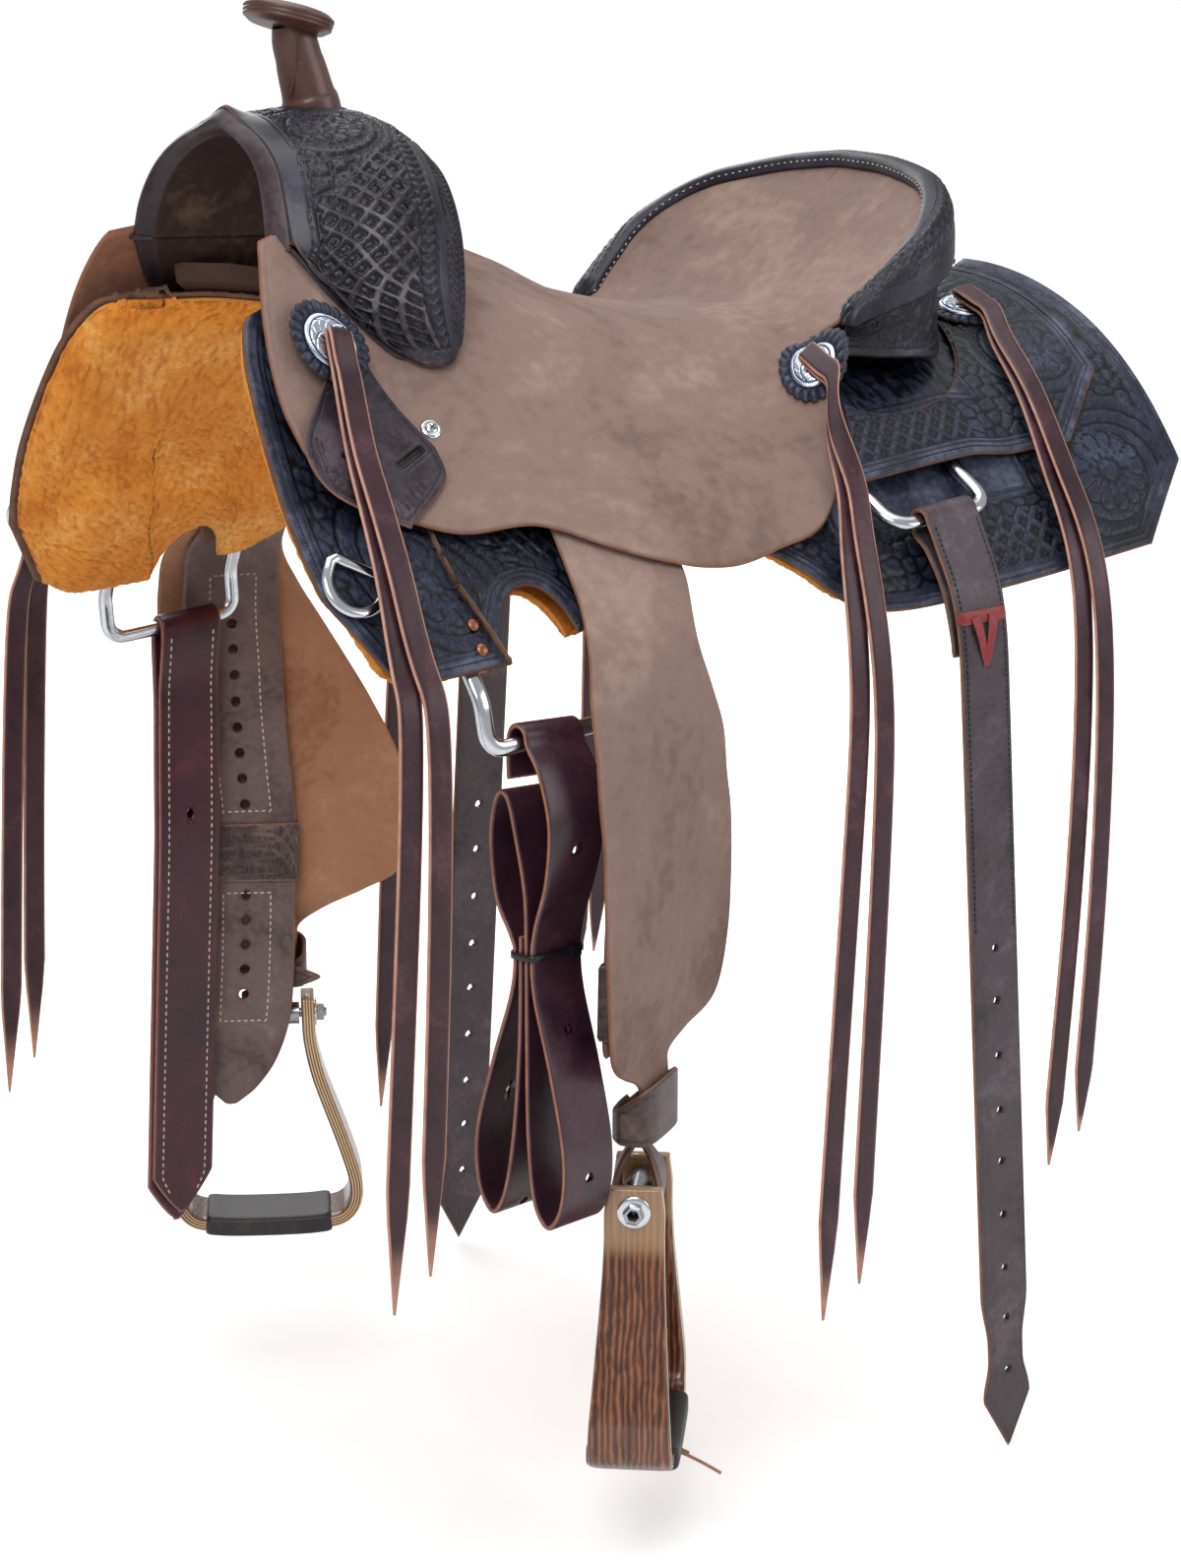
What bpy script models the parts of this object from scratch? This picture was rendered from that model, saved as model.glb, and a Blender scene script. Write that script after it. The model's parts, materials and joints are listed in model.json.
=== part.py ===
"""Cow horse saddle, built as separate pieces in metres.

X runs from the fork (-X) to the rear skirts (+X), +Z is up, the near (left) side is -Y
and the off (right) side is +Y. The origin is on the horse's spine line under the seat.
"""

import math

import bmesh
import bpy
import numpy as np
from mathutils import Matrix, Vector

# Clearances and leather weights
GAP = 0.0003
LAYER_GAP = 0.0010
LOFT_GAP = 0.0022
FORK_GAP = 0.0016
SKIRT_THICK = 0.0050
FLEECE_THICK = 0.0180
SEAT_THICK = 0.0045
JOCKEY_THICK = 0.0045
COVER_THICK = 0.0040
FENDER_THICK = 0.0040
LEATHER_THICK = 0.0045
LATIGO_THICK = 0.0038
STRING_THICK = 0.0030
KEEPER_THICK = 0.0035

# The horse's back: three sections across, at the withers, the waist and the loin
WAIST_X = 0.050
LOIN_X = 0.400
WITHERS_TOP, WITHERS_HALF, WITHERS_SLOPE, WITHERS_FLARE = 0.094, 0.095, 0.80, 0.53
WAIST_TOP, WAIST_BEND, WAIST_TURN = 0.042, 1.60, 9.5
LOIN_TOP, LOIN_BEND, LOIN_TURN = 0.088, 1.75, 7.0

# Tree
BAR_THICK = 0.0168
BAR_INNER_Y = 0.046
BAR_OUTER_Y = 0.114
BAR_FRONT_X = -0.240
BAR_REAR_X = 0.266
GROUND_THICK = 0.0032
CANTLE_THICK = 0.0100
FORK_LEG_Y = 0.100

# Seat leather: clearances over the back, measured square to it
SEAT_OVER_BARS = 0.0295
SEAT_OVER_SKIRT = 0.0100
SEAT_OVER_FENDER = 0.0180
SEAT_FALL_START_Y = 0.108
SEAT_FALL_END_Y = 0.165
FENDER_ZONE = (-0.215, -0.150, 0.015, 0.085)

# Horn
HORN_FOOT = (-0.181, 0.0, 0.2085)
HORN_HEIGHT = 0.0400
HORN_LEAN = math.radians(-16.0)
HORN_NECK_R = 0.0165
HORN_FLARE_R = 0.0235
HORN_CORE_R = 0.0090
CAP_R = 0.0305
CAP_THICK = 0.0150
CAP_TILT = math.radians(14.0)

# Hardware
DEE_WIRE = 0.0042
FRONT_DEE_HALF = 0.0540
FRONT_DEE_FLAT = 0.0420
FRONT_DEE_DROP = 0.0620
REAR_DEE_HALF = 0.0430
REAR_DEE_FLAT = 0.0260
REAR_DEE_DROP = 0.0520
BREAST_DEE_HALF = 0.0190
BREAST_DEE_WIRE = 0.0030
CONCHO_R = 0.0190
CONCHO_HEIGHT = 0.0045
ROSETTE_R = 0.0290
ROSETTE_THICK = 0.0030
ROSETTE_LIFT = 0.0016
CONCHO_ON_KEEPER = 0.0062

# Straps
STRING_WIDTH = 0.0170
LATIGO_WIDTH = 0.0450
BILLET_WIDTH = 0.0500
OFF_BILLET_WIDTH = 0.0500
LEATHER_WIDTH = 0.0760
SLEEVE_WALL = 0.0025
HOBBLE_WALL = 0.0035
HOBBLE_HALF = (0.0322, 0.0132)
HOLE_R = 0.0035
LEATHER_HOLE_R = 0.0040

# Stirrups
BOLT_R = 0.0045
BOLT_SLEEVE_R = 0.0095
STIRRUP_TOP_HALF = 0.0340
STIRRUP_THICK = 0.0105
STIRRUP_TREAD_WIDTH = 0.0560
TREAD_WRAP = 0.0026

NEAR, OFF = -1, 1
SIDE_NAME = {NEAR: "near", OFF: "off"}

for leftover in list(bpy.data.objects):
    bpy.data.objects.remove(leftover, do_unlink=True)

parts = bpy.data.collections.new("cow_horse_saddle")
cutters = bpy.data.collections.new("cutters")
bpy.context.scene.collection.children.link(parts)
bpy.context.scene.collection.children.link(cutters)


def material(name, colour, roughness, metallic=0.0):
    found = bpy.data.materials.get(name)
    if found:
        return found
    made = bpy.data.materials.new(name)
    made.use_nodes = True
    shader = made.node_tree.nodes["Principled BSDF"]
    shader.inputs["Base Color"].default_value = (*colour, 1.0)
    shader.inputs["Roughness"].default_value = roughness
    shader.inputs["Metallic"].default_value = metallic
    return made


ROUGHOUT = material("roughout_leather", (0.235, 0.155, 0.105), 0.85)
TOOLED = material("tooled_leather", (0.028, 0.024, 0.032), 0.45)
LATIGO = material("burgundy_latigo", (0.045, 0.014, 0.018), 0.40)
BROWN = material("brown_leather", (0.055, 0.033, 0.026), 0.50)
HORN_LEATHER = material("horn_leather", (0.090, 0.030, 0.018), 0.25)
FLESH_SIDE = material("flesh_side_leather", (0.330, 0.180, 0.090), 0.90)
SHEEPSKIN = material("sheepskin", (0.640, 0.300, 0.070), 0.95)
TREE = material("tree_rawhide", (0.520, 0.420, 0.280), 0.60)
STEEL = material("stainless_steel", (0.620, 0.620, 0.630), 0.18, 1.0)
SILVER = material("engraved_silver", (0.700, 0.700, 0.720), 0.25, 1.0)
WOOD = material("varnished_wood", (0.230, 0.095, 0.035), 0.22)
BLACK = material("black_plastic", (0.010, 0.010, 0.012), 0.40)


def section_withers(y):
    root = np.sqrt(np.maximum(WITHERS_SLOPE**2 - 4 * WITHERS_FLARE * (y - WITHERS_HALF), 0.0))
    return WITHERS_TOP - (WITHERS_SLOPE - root) / (2 * WITHERS_FLARE)


def back_height(x, y):
    """Height of the horse's back: a parabola along X through the three cross sections."""
    y = np.abs(y)
    t = (x - WAIST_X) / (LOIN_X - WAIST_X)
    waist = WAIST_TOP - WAIST_BEND * y**2 - WAIST_TURN * y**4
    loin = LOIN_TOP - LOIN_BEND * y**2 - LOIN_TURN * y**4
    return t * (t - 1) / 2 * section_withers(y) + (1 - t * t) * waist + t * (t + 1) / 2 * loin


def back_slopes(x, y):
    step = 0.0005
    along = (back_height(x + step, y) - back_height(x - step, y)) / (2 * step)
    across = (back_height(x, y + step) - back_height(x, y - step)) / (2 * step)
    return along, across


def steepness(x, y):
    along, across = back_slopes(x, np.abs(y))
    return np.sqrt(1 + along**2 + across**2)


def on_back(x, y, lift):
    """Points on the off half of the back (y > 0), moved out square to it by lift."""
    along, across = back_slopes(x, y)
    size = np.sqrt(1 + along**2 + across**2)
    return np.stack([x - lift * along / size, y - lift * across / size,
                     back_height(x, y) + lift / size], axis=-1)


def smoothstep(value, low, high):
    t = np.clip((value - low) / (high - low), 0.0, 1.0)
    return t * t * (3 - 2 * t)


# Cantle rim, half: x, half width, height of the rim and of the seat's middle there
RIM = np.array([
    (0.132, 0.142, 0.042, 0.053), (0.158, 0.153, 0.062, 0.059), (0.185, 0.162, 0.086, 0.073),
    (0.213, 0.165, 0.112, 0.095), (0.236, 0.152, 0.131, 0.117), (0.254, 0.128, 0.145, 0.136),
    (0.267, 0.095, 0.153, 0.148), (0.2765, 0.050, 0.160, 0.158), (0.281, 0.0, 0.163, 0.163),
])
SEAT_RIDGE = np.array([(-0.135, 0.136), (-0.100, 0.122), (-0.036, 0.100), (-0.002, 0.081),
                       (0.049, 0.059), (0.090, 0.052), (0.132, 0.053)])


def seat_side_lift(x):
    rise = smoothstep(x, FENDER_ZONE[0], FENDER_ZONE[1])
    fall = 1 - smoothstep(x, FENDER_ZONE[2], FENDER_ZONE[3])
    return SEAT_OVER_SKIRT + (SEAT_OVER_FENDER - SEAT_OVER_SKIRT) * np.minimum(rise, fall)


def seat_height(x, y):
    """Top of the seat leather: a ridge that follows SEAT_RIDGE in the middle, the bars' lift
    beside it, the jockeys' lift further down, and the cantle's bowl at the rear."""
    y = np.abs(y)
    ridge = np.interp(x, SEAT_RIDGE[:, 0], SEAT_RIDGE[:, 1]) - back_height(x, 0 * y)
    bars = SEAT_OVER_BARS * steepness(x, y)
    sides = seat_side_lift(x) * steepness(x, y)
    lift = ridge + (bars - ridge) * smoothstep(y, 0.0, 0.085)
    lift = lift + (sides - bars) * smoothstep(y, SEAT_FALL_START_Y, SEAT_FALL_END_Y)
    open_seat = back_height(x, y) + lift
    half, rim, middle = (np.interp(x, RIM[:, 0], RIM[:, k]) for k in (1, 2, 3))
    bowl = middle + (rim - middle) * (y / np.maximum(half, 0.02))**2
    bowl = np.minimum(bowl, np.maximum(rim, middle))
    mix = smoothstep(x, 0.085, 0.150)
    over_bars = (SEAT_OVER_BARS - 0.001) * (1 - smoothstep(y, 0.106, 0.140))
    return np.maximum(open_seat + (bowl - open_seat) * mix,
                      back_height(x, y) + over_bars * steepness(x, y))


def on_seat(x, y, lift):
    """Points over the seat leather's top face (y > 0), moved out square to it."""
    step = 0.001
    along = (seat_height(x + step, y) - seat_height(x - step, y)) / (2 * step)
    across = (seat_height(x, y + step) - seat_height(x, y - step)) / (2 * step)
    size = np.sqrt(1 + along**2 + across**2)
    return np.stack([x - lift * along / size, y - lift * across / size,
                     seat_height(x, y) + lift / size], axis=-1)


def smooth_run(points, per_span):
    """Catmull-Rom curve through the points."""
    p = np.asarray(points, float)
    ends = np.vstack([2 * p[0] - p[1], p, 2 * p[-1] - p[-2]])
    t = np.linspace(0, 1, per_span, endpoint=False)[:, None]
    pieces = []
    for a, b, c, d in zip(ends[:-3], ends[1:-2], ends[2:-1], ends[3:]):
        pieces.append(0.5 * (2 * b + (c - a) * t + (2 * a - 5 * b + 4 * c - d) * t**2
                             + (3 * b - a - 3 * c + d) * t**3))
    return np.vstack(pieces + [p[-1:]])


def edge_curve(runs, count):
    """A curve of smooth runs that meet in corners, cut into count points.

    The point nearest to each corner moves onto it, so that corners stay sharp.
    """
    fine = [smooth_run(run, 12) for run in runs]
    line = np.vstack([fine[0]] + [run[1:] for run in fine[1:]])
    along = np.concatenate([[0], np.cumsum(np.linalg.norm(np.diff(line, axis=0), axis=1))])
    stops = np.linspace(0, along[-1], count)
    corner = 0
    for run in fine[:-1]:
        corner += len(run) - 1
        stops[np.argmin(np.abs(stops - along[corner]))] = along[corner]
    return np.stack([np.interp(stops, along, line[:, k]) for k in range(line.shape[1])], axis=1)


def patch(top, bottom, front, rear):
    """Coons patch between four edge curves of the plan: rows go down, columns go back."""
    rows, columns = len(front), len(top)
    u = np.linspace(0, 1, columns)[None, :, None]
    v = np.linspace(0, 1, rows)[:, None, None]
    flat = ((1 - v) * top[None] + v * bottom[None] + (1 - u) * front[:, None] + u * rear[:, None]
            - (1 - u) * (1 - v) * top[0] - u * (1 - v) * top[-1]
            - (1 - u) * v * bottom[0] - u * v * bottom[-1])
    return flat[..., 0], flat[..., 1]


def ruled(inner, outer, columns):
    t = np.linspace(0, 1, columns)[:, None, None]
    flat = inner[None] + (outer - inner)[None] * t
    return flat[..., 0], flat[..., 1]


def place(points, side):
    """Turn points of the off half into points of the given side."""
    placed = np.array(points, float)
    placed[..., 1] *= side
    return placed


def new_object(name, mesh, look, collection=None):
    made = bpy.data.objects.new(name, mesh)
    (collection or parts).objects.link(made)
    if look:
        mesh.materials.append(look)
    return made


def grid_faces(rows, columns, start=0, flip=False, ring=False):
    faces = []
    last = columns if ring else columns - 1
    for i in range(rows - 1):
        for j in range(last):
            k = (j + 1) % columns
            a, b = start + i * columns + j, start + i * columns + k
            c, d = start + (i + 1) * columns + k, start + (i + 1) * columns + j
            faces.append((a, b, c, d) if flip else (a, d, c, b))
    return faces


def finish(made, smooth=True):
    if smooth:
        made.data.shade_smooth()
        made.data.set_sharp_from_angle(angle=math.radians(35))
    return made


def thicken(made, thickness, offset):
    wall = made.modifiers.new("wall", "SOLIDIFY")
    wall.thickness = thickness
    wall.offset = offset
    wall.use_even_offset = True
    wall.use_quality_normals = True
    return made


def faces_in(grid):
    """Whether a grid's faces look back at the horse instead of away from it."""
    corner, ahead, below = grid[:-1, :-1], grid[:-1, 1:], grid[1:, :-1]
    normals = np.cross(below - corner, ahead - corner)
    away = corner - np.array([grid[..., 0].mean(), 0.0, -0.3])
    return (normals * away).sum() < 0


def sheet(name, grid, thickness, look, offset=-1.0):
    """A grid of points as an open surface, given its wall by Solidify on its inner side."""
    rows, columns = grid.shape[:2]
    mesh = bpy.data.meshes.new(name)
    mesh.from_pydata(grid.reshape(-1, 3).tolist(), [],
                     grid_faces(rows, columns, flip=faces_in(grid)))
    mesh.update()
    made = new_object(name, mesh, look)
    return thicken(finish(made), thickness, offset)


def outward(mesh):
    """Turn the faces of a closed mesh outward."""
    worker = bmesh.new()
    worker.from_mesh(mesh)
    bmesh.ops.recalc_face_normals(worker, faces=worker.faces)
    worker.to_mesh(mesh)
    worker.free()


def block(name, outer, inner, look):
    """A closed loft between two grids of points of the same size."""
    rows, columns = outer.shape[:2]
    count = rows * columns
    faces = grid_faces(rows, columns) + grid_faces(rows, columns, count, True)
    rim = ([j for j in range(columns)] + [i * columns + columns - 1 for i in range(1, rows)]
           + [(rows - 1) * columns + j for j in range(columns - 2, -1, -1)]
           + [i * columns for i in range(rows - 2, 0, -1)])
    for a, b in zip(rim, rim[1:] + rim[:1]):
        faces.append((a, b, b + count, a + count))
    mesh = bpy.data.meshes.new(name)
    points = np.vstack([outer.reshape(-1, 3), inner.reshape(-1, 3)])
    mesh.from_pydata(points.tolist(), [], faces)
    outward(mesh)
    return finish(new_object(name, mesh, look))


def strap_grid(path, across, width, columns=2):
    """Points across a strap: the path's points spread along the across directions."""
    path = np.asarray(path, float)
    across = np.broadcast_to(np.asarray(across, float), path.shape)
    across = across / np.linalg.norm(across, axis=1, keepdims=True)
    width = np.broadcast_to(np.asarray(width, float), (len(path),))
    t = np.linspace(-0.5, 0.5, columns)
    return path[:, None] + across[:, None] * (width[:, None] * t[None])[..., None]


def strap(name, path, across, width, thickness, look, columns=2):
    return sheet(name, strap_grid(path, across, width, columns), thickness, look, offset=0.0)


def axis_matrix(place_at, axis, across=None):
    """Local Z along axis, local X near across."""
    z = Vector(axis).normalized()
    x = Vector(across) if across is not None else z.orthogonal()
    x = (x - z * x.dot(z)).normalized()
    y = z.cross(x)
    return Matrix.Translation(place_at) @ Matrix((x, y, z)).transposed().to_4x4()


def turned(name, profile, steps, matrix, look):
    """A turned solid: a profile of (radius, height) from its top, down its outer side."""
    mesh = bpy.data.meshes.new(name)
    points = [(r, 0.0, z) for r, z in profile]
    mesh.from_pydata(points, [(i, i + 1) for i in range(len(points) - 1)], [])
    made = new_object(name, mesh, look)
    spin = made.modifiers.new("spin", "SCREW")
    spin.steps = steps
    spin.render_steps = steps
    spin.use_merge_vertices = True
    spin.merge_threshold = 0.00001
    made.matrix_world = matrix
    return made


def settle(made):
    """Apply the modifiers and the placement, so that pieces can be joined or cut."""
    bpy.context.view_layer.update()
    graph = bpy.context.evaluated_depsgraph_get()
    mesh = bpy.data.meshes.new_from_object(made.evaluated_get(graph))
    mesh.transform(made.matrix_world)
    name = made.name
    old = made.data
    look = old.materials[0] if old.materials else None
    bpy.data.objects.remove(made, do_unlink=True)
    if look and not mesh.materials:
        mesh.materials.append(look)
    worker = bmesh.new()
    worker.from_mesh(mesh)
    bmesh.ops.remove_doubles(worker, verts=worker.verts, dist=0.00001)
    worker.to_mesh(mesh)
    worker.free()
    made = bpy.data.objects.new(name, mesh)
    mesh.name = name
    parts.objects.link(made)
    return made


def wire(name, points, radius, look, closed=False, resolution=1):
    curve = bpy.data.curves.new(name, "CURVE")
    curve.dimensions = "3D"
    curve.bevel_depth = radius
    curve.bevel_resolution = resolution
    curve.use_fill_caps = True
    spline = curve.splines.new("POLY")
    spline.points.add(len(points) - 1)
    for point, (x, y, z) in zip(spline.points, points):
        point.co = (x, y, z, 1.0)
    spline.use_cyclic_u = closed
    made = new_object(name, curve, None)
    curve.materials.append(look)
    return made


def punch(made, name, holes, radius, sides=8, reach=0.02):
    """Cut a row of round holes: each is a centre and the direction through the leather."""
    worker = bmesh.new()
    for centre, through in holes:
        matrix = axis_matrix(Vector(centre), Vector(through))
        bmesh.ops.create_cone(worker, cap_ends=True, segments=sides, radius1=radius,
                              radius2=radius, depth=2 * reach, matrix=matrix)
    mesh = bpy.data.meshes.new(name)
    worker.to_mesh(mesh)
    worker.free()
    tool = new_object(name, mesh, None, cutters)
    tool.hide_render = True
    tool.display_type = "WIRE"
    cut = made.modifiers.new("holes", "BOOLEAN")
    cut.operation = "DIFFERENCE"
    cut.solver = "EXACT"
    cut.object = tool
    return made


def hang(pieces, name, place_at):
    """Parent pieces to an empty that stands on their joint's axis."""
    bpy.context.view_layer.update()
    pivot = bpy.data.objects.new("pivot_" + name, None)
    parts.objects.link(pivot)
    pivot.location = place_at
    bpy.context.view_layer.update()
    for piece in pieces:
        piece.parent = pivot
        piece.matrix_parent_inverse = pivot.matrix_world.inverted()


def side_frame(x, y, lift, side, surface=on_back):
    """Point, outward normal and fore-and-aft direction at a place on one side."""
    base = surface(np.float64(x), np.float64(y), np.float64(lift))
    above = surface(np.float64(x), np.float64(y), np.float64(lift) + 0.001)
    ahead = surface(np.float64(x) + 0.001, np.float64(y), np.float64(lift))
    point = Vector(place(base, side))
    normal = (Vector(place(above, side)) - point).normalized()
    along = (Vector(place(ahead, side)) - point).normalized()
    return point, normal, along


# Tree: bars, fork, cantle board and ground seat

def bar_plan():
    t = np.linspace(0, 1, 15)
    x = BAR_FRONT_X + (BAR_REAR_X - BAR_FRONT_X) * t
    ends = 1 - np.sin(math.pi * t)**0.5
    inner = BAR_INNER_Y + 0.016 * (1 - smoothstep(x, BAR_FRONT_X, -0.05)) + 0.020 * ends
    outer = BAR_OUTER_Y - 0.030 * ends
    return x, inner, outer


def make_bar(side):
    x, inner, outer = bar_plan()
    t = np.linspace(0, 1, 4)[:, None]
    y = inner[None] + (outer - inner)[None] * t
    x = np.broadcast_to(x, y.shape)
    top = place(on_back(x, y, BAR_THICK + 0.0012), side)
    bottom = place(on_back(x, y, 0.0012), side)
    return block("tree_bar_" + SIDE_NAME[side], top, bottom, TREE)


# Swell stations, half: half width and height of the arch, front and rear edges, and how far
# the cover falls in at the front and at the rear
SWELL = np.array([
    (0.000, 0.2065, -0.246, -0.121, 0.0075, 0.026), (0.045, 0.2005, -0.250, -0.122, 0.0100, 0.024),
    (0.085, 0.1840, -0.254, -0.126, 0.0150, 0.022), (0.115, 0.1600, -0.258, -0.132, 0.0240, 0.020),
    (0.136, 0.1300, -0.259, -0.138, 0.0340, 0.018), (0.147, 0.1000, -0.257, -0.143, 0.0400, 0.017),
    (0.151, 0.0750, -0.242, -0.147, 0.0300, 0.015), (0.152, 0.0560, -0.220, -0.151, 0.0200, 0.013),
    (0.151, 0.0420, -0.197, -0.158, 0.0080, 0.008),
])
SWELL_CROWN_AT = 0.56


def swell_stations():
    fine = smooth_run(SWELL, 2)
    left = fine[:0:-1].copy()
    left[:, 0] *= -1
    return np.vstack([left, fine])


def swell_surface(inset, across):
    """Outer face of the swell cover, moved in by inset, at the given shares of its width."""
    rows = swell_stations()
    arch = rows[:, :2]
    tangent = np.gradient(arch, axis=0)
    tangent /= np.linalg.norm(tangent, axis=1, keepdims=True)
    outward = np.stack([-tangent[:, 1], tangent[:, 0]], axis=1)
    v = np.asarray(across)[None]
    front = np.clip(1 - v / SWELL_CROWN_AT, 0, 1)**1.7
    rear = np.clip((v - SWELL_CROWN_AT) / (1 - SWELL_CROWN_AT), 0, 1)**2.4
    drop = rows[:, 4:5] * front + rows[:, 5:6] * rear + inset
    x = rows[:, 2:3] + (rows[:, 3:4] - rows[:, 2:3]) * v
    y = arch[:, :1] - outward[:, :1] * drop
    z = arch[:, 1:] - outward[:, 1:] * drop
    return np.stack([x, y, z], axis=-1)


def make_swell_cover():
    grid = swell_surface(0.0, np.linspace(0, 1, 7))
    floor = seat_height(grid[..., 0], grid[..., 1])
    steep = steepness(grid[..., 0], grid[..., 1])
    grid[..., 2] = np.maximum(grid[..., 2], floor + (COVER_THICK + LAYER_GAP) * steep * 1.1)
    cover = sheet("swell_cover", grid, COVER_THICK, TOOLED)
    lean = Matrix.Rotation(HORN_LEAN, 4, "Y")
    start = Vector(HORN_FOOT) - lean.to_3x3() @ Vector((0, 0, 0.03))
    end = Vector(HORN_FOOT) + lean.to_3x3() @ Vector((0, 0, 0.03))
    return punch(cover, "horn_hole", [((start + end) / 2, end - start)], HORN_CORE_R + GAP, 16)


GULLET = np.array([(0.000, 0.1840), (0.040, 0.1770), (0.064, 0.1600), (0.076, 0.1340),
                   (0.081, 0.1080), (0.083, 0.0930), (0.104, 0.0820), (0.124, 0.0650),
                   (0.136, 0.0500)])


def fork_floor(x, y):
    """Lowest the fork may reach: the bars inside, the seat leather outside."""
    y = np.abs(y)
    on_bars = back_height(x, y) + (BAR_THICK + 0.0030) * steepness(x, y)
    on_leather = seat_height(x, y) + FORK_GAP * steepness(x, y)
    leg = np.where(x > -0.176, FORK_LEG_Y - 0.016, FORK_LEG_Y)
    return on_bars + (on_leather - on_bars) * smoothstep(y, leg - 0.010, leg - 0.002)


def make_fork():
    across = np.array([0.06, 0.30, 0.55, 0.76, 0.86])
    outer = swell_surface(COVER_THICK + 0.0068, across)
    fine = smooth_run(GULLET, 2)
    left = fine[:0:-1].copy()
    left[:, 0] *= -1
    arch = np.vstack([left, fine])
    inner = outer.copy()
    inner[..., 1] = arch[:, :1]
    inner[..., 2] = arch[:, 1:]
    for grid in (outer, inner):
        floor = fork_floor(grid[..., 0], grid[..., 1])
        grid[..., 2] = np.maximum(grid[..., 2], floor)
    outer[..., 2] = np.maximum(outer[..., 2], inner[..., 2] + 0.003)
    fork = block("fork", outer, inner, TREE)
    lean = Matrix.Rotation(HORN_LEAN, 4, "Y").to_3x3()
    centre = Vector(HORN_FOOT)
    centre -= lean @ Vector((0, 0, 0.006))
    return punch(fork, "horn_socket", [(centre, lean @ Vector((0, 0, 1)))], HORN_CORE_R + GAP, 16,
                 0.018)


def seat_stations():
    """Pairs of plan points: the seat leather's inner edge or middle, and its outer edge."""
    inner = [(-0.262, 0.094), (-0.255, 0.100), (-0.240, 0.105), (-0.222, 0.108), (-0.205, 0.110),
             (-0.185, 0.109), (-0.165, 0.105), (-0.148, 0.090), (-0.137, 0.060), (-0.129, 0.025),
             (-0.124, 0.0), (-0.080, 0.0), (-0.030, 0.0), (0.020, 0.0), (0.060, 0.0), (0.090, 0.0),
             (0.112, 0.0), (0.130, 0.0), (0.145, 0.0), (0.163, 0.0), (0.183, 0.0), (0.203, 0.0),
             (0.220, 0.0), (0.235, 0.0), (0.247, 0.0), (0.256, 0.0), (0.262, 0.0)]
    outer = [(-0.281, 0.1045), (-0.2965, 0.138), (-0.2970, 0.168), (-0.284, 0.192),
             (-0.252, 0.205), (-0.197, 0.2186), (-0.144, 0.2286), (-0.110, 0.2400),
             (-0.085, 0.2480), (-0.062, 0.2540), (-0.040, 0.2585), (-0.012, 0.2606),
             (0.026, 0.2570), (0.0575, 0.249), (0.084, 0.235), (0.102, 0.217), (0.117, 0.1945),
             (0.126, 0.168)] + [tuple(row[:2]) for row in RIM]
    return np.array(inner), np.array(outer)


def make_seat():
    inner, outer = seat_stations()
    x, y = ruled(inner, outer, 7)
    grid = np.stack([x, y, seat_height(x, y)], axis=-1)
    seat = sheet("seat_leather", grid, SEAT_THICK, ROUGHOUT)
    seat.modifiers.clear()
    both = seat.modifiers.new("both_halves", "MIRROR")
    both.use_axis = (False, True, False)
    both.use_clip = True
    both.merge_threshold = 0.0001
    return thicken(seat, SEAT_THICK, -1.0)


def under_seat(x, y, depth):
    """Points below the seat leather, square to its top face."""
    points = on_seat(x, np.abs(y), -depth)
    points[..., 1] *= np.where(y < 0, -1.0, 1.0)
    return points


def over_bars(points, clearance):
    """Keep points at least a clearance above the tree bars."""
    floor = back_height(points[..., 0], points[..., 1]) + (
        BAR_THICK + 0.0012 + clearance) * steepness(points[..., 0], points[..., 1])
    points[..., 2] = np.maximum(points[..., 2], floor)
    return points


def make_ground_seat():
    x = np.linspace(-0.114, 0.118, 12)
    y = np.linspace(-0.096, 0.096, 9)
    x, y = np.meshgrid(x, y, indexing="ij")
    top = under_seat(x, y, SEAT_THICK + LOFT_GAP)
    bottom = over_bars(under_seat(x, y, SEAT_THICK + LOFT_GAP + GROUND_THICK), 0.0010)
    top[..., 2] = np.maximum(top[..., 2], bottom[..., 2] + 0.0018)
    return block("ground_seat", top, bottom, TREE)


def rim_arc(count):
    """Cantle rim from the near end over the top to the off end: x, y, z."""
    fine = edge_curve([np.column_stack([RIM[:, 0], RIM[:, 1], RIM[:, 2]])], count)
    near = fine[:-1].copy()
    near[:, 1] *= -1
    return np.vstack([near, fine[::-1]])


def rim_outward(arc):
    tangent = np.gradient(arc[:, :2], axis=0)
    tangent /= np.linalg.norm(tangent, axis=1, keepdims=True)
    return np.column_stack([-tangent[:, 1], tangent[:, 0], np.zeros(len(arc))]) * -1


CANTLE_FOOT = [(0.118, 0.160), (0.150, 0.173), (0.190, 0.178), (0.228, 0.167), (0.262, 0.137),
               (0.286, 0.092), (0.297, 0.048), (0.301, 0.0)]


def make_cantle_board():
    arc = rim_arc(9)
    share = np.linspace(0.0, 1.0, 5)[None, :, None]
    centre = np.array([0.166, 0.0, 0.0])
    inner_ring = centre + (arc - centre) * np.array([0.12, 0.42, 0.0])
    plan = inner_ring[:, None] + (arc - inner_ring)[:, None] * share * 0.95
    x, y = plan[..., 0], plan[..., 1]
    top = under_seat(x, y, SEAT_THICK + LOFT_GAP)
    bottom = over_bars(under_seat(x, y, SEAT_THICK + LOFT_GAP + CANTLE_THICK), 0.0015)
    bottom[..., 2] = np.minimum(bottom[..., 2], top[..., 2] - 0.002)
    return block("cantle_board", top, bottom, TREE)


# Binding section: share of the way out, and height over the rim
BINDING_SECTION = np.array([(-0.0045, 0.0012), (0.003, 0.0046), (0.011, 0.0030), (0.0165, -0.006),
                            (0.0185, -0.020), (0.0190, -0.038)])


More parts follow.
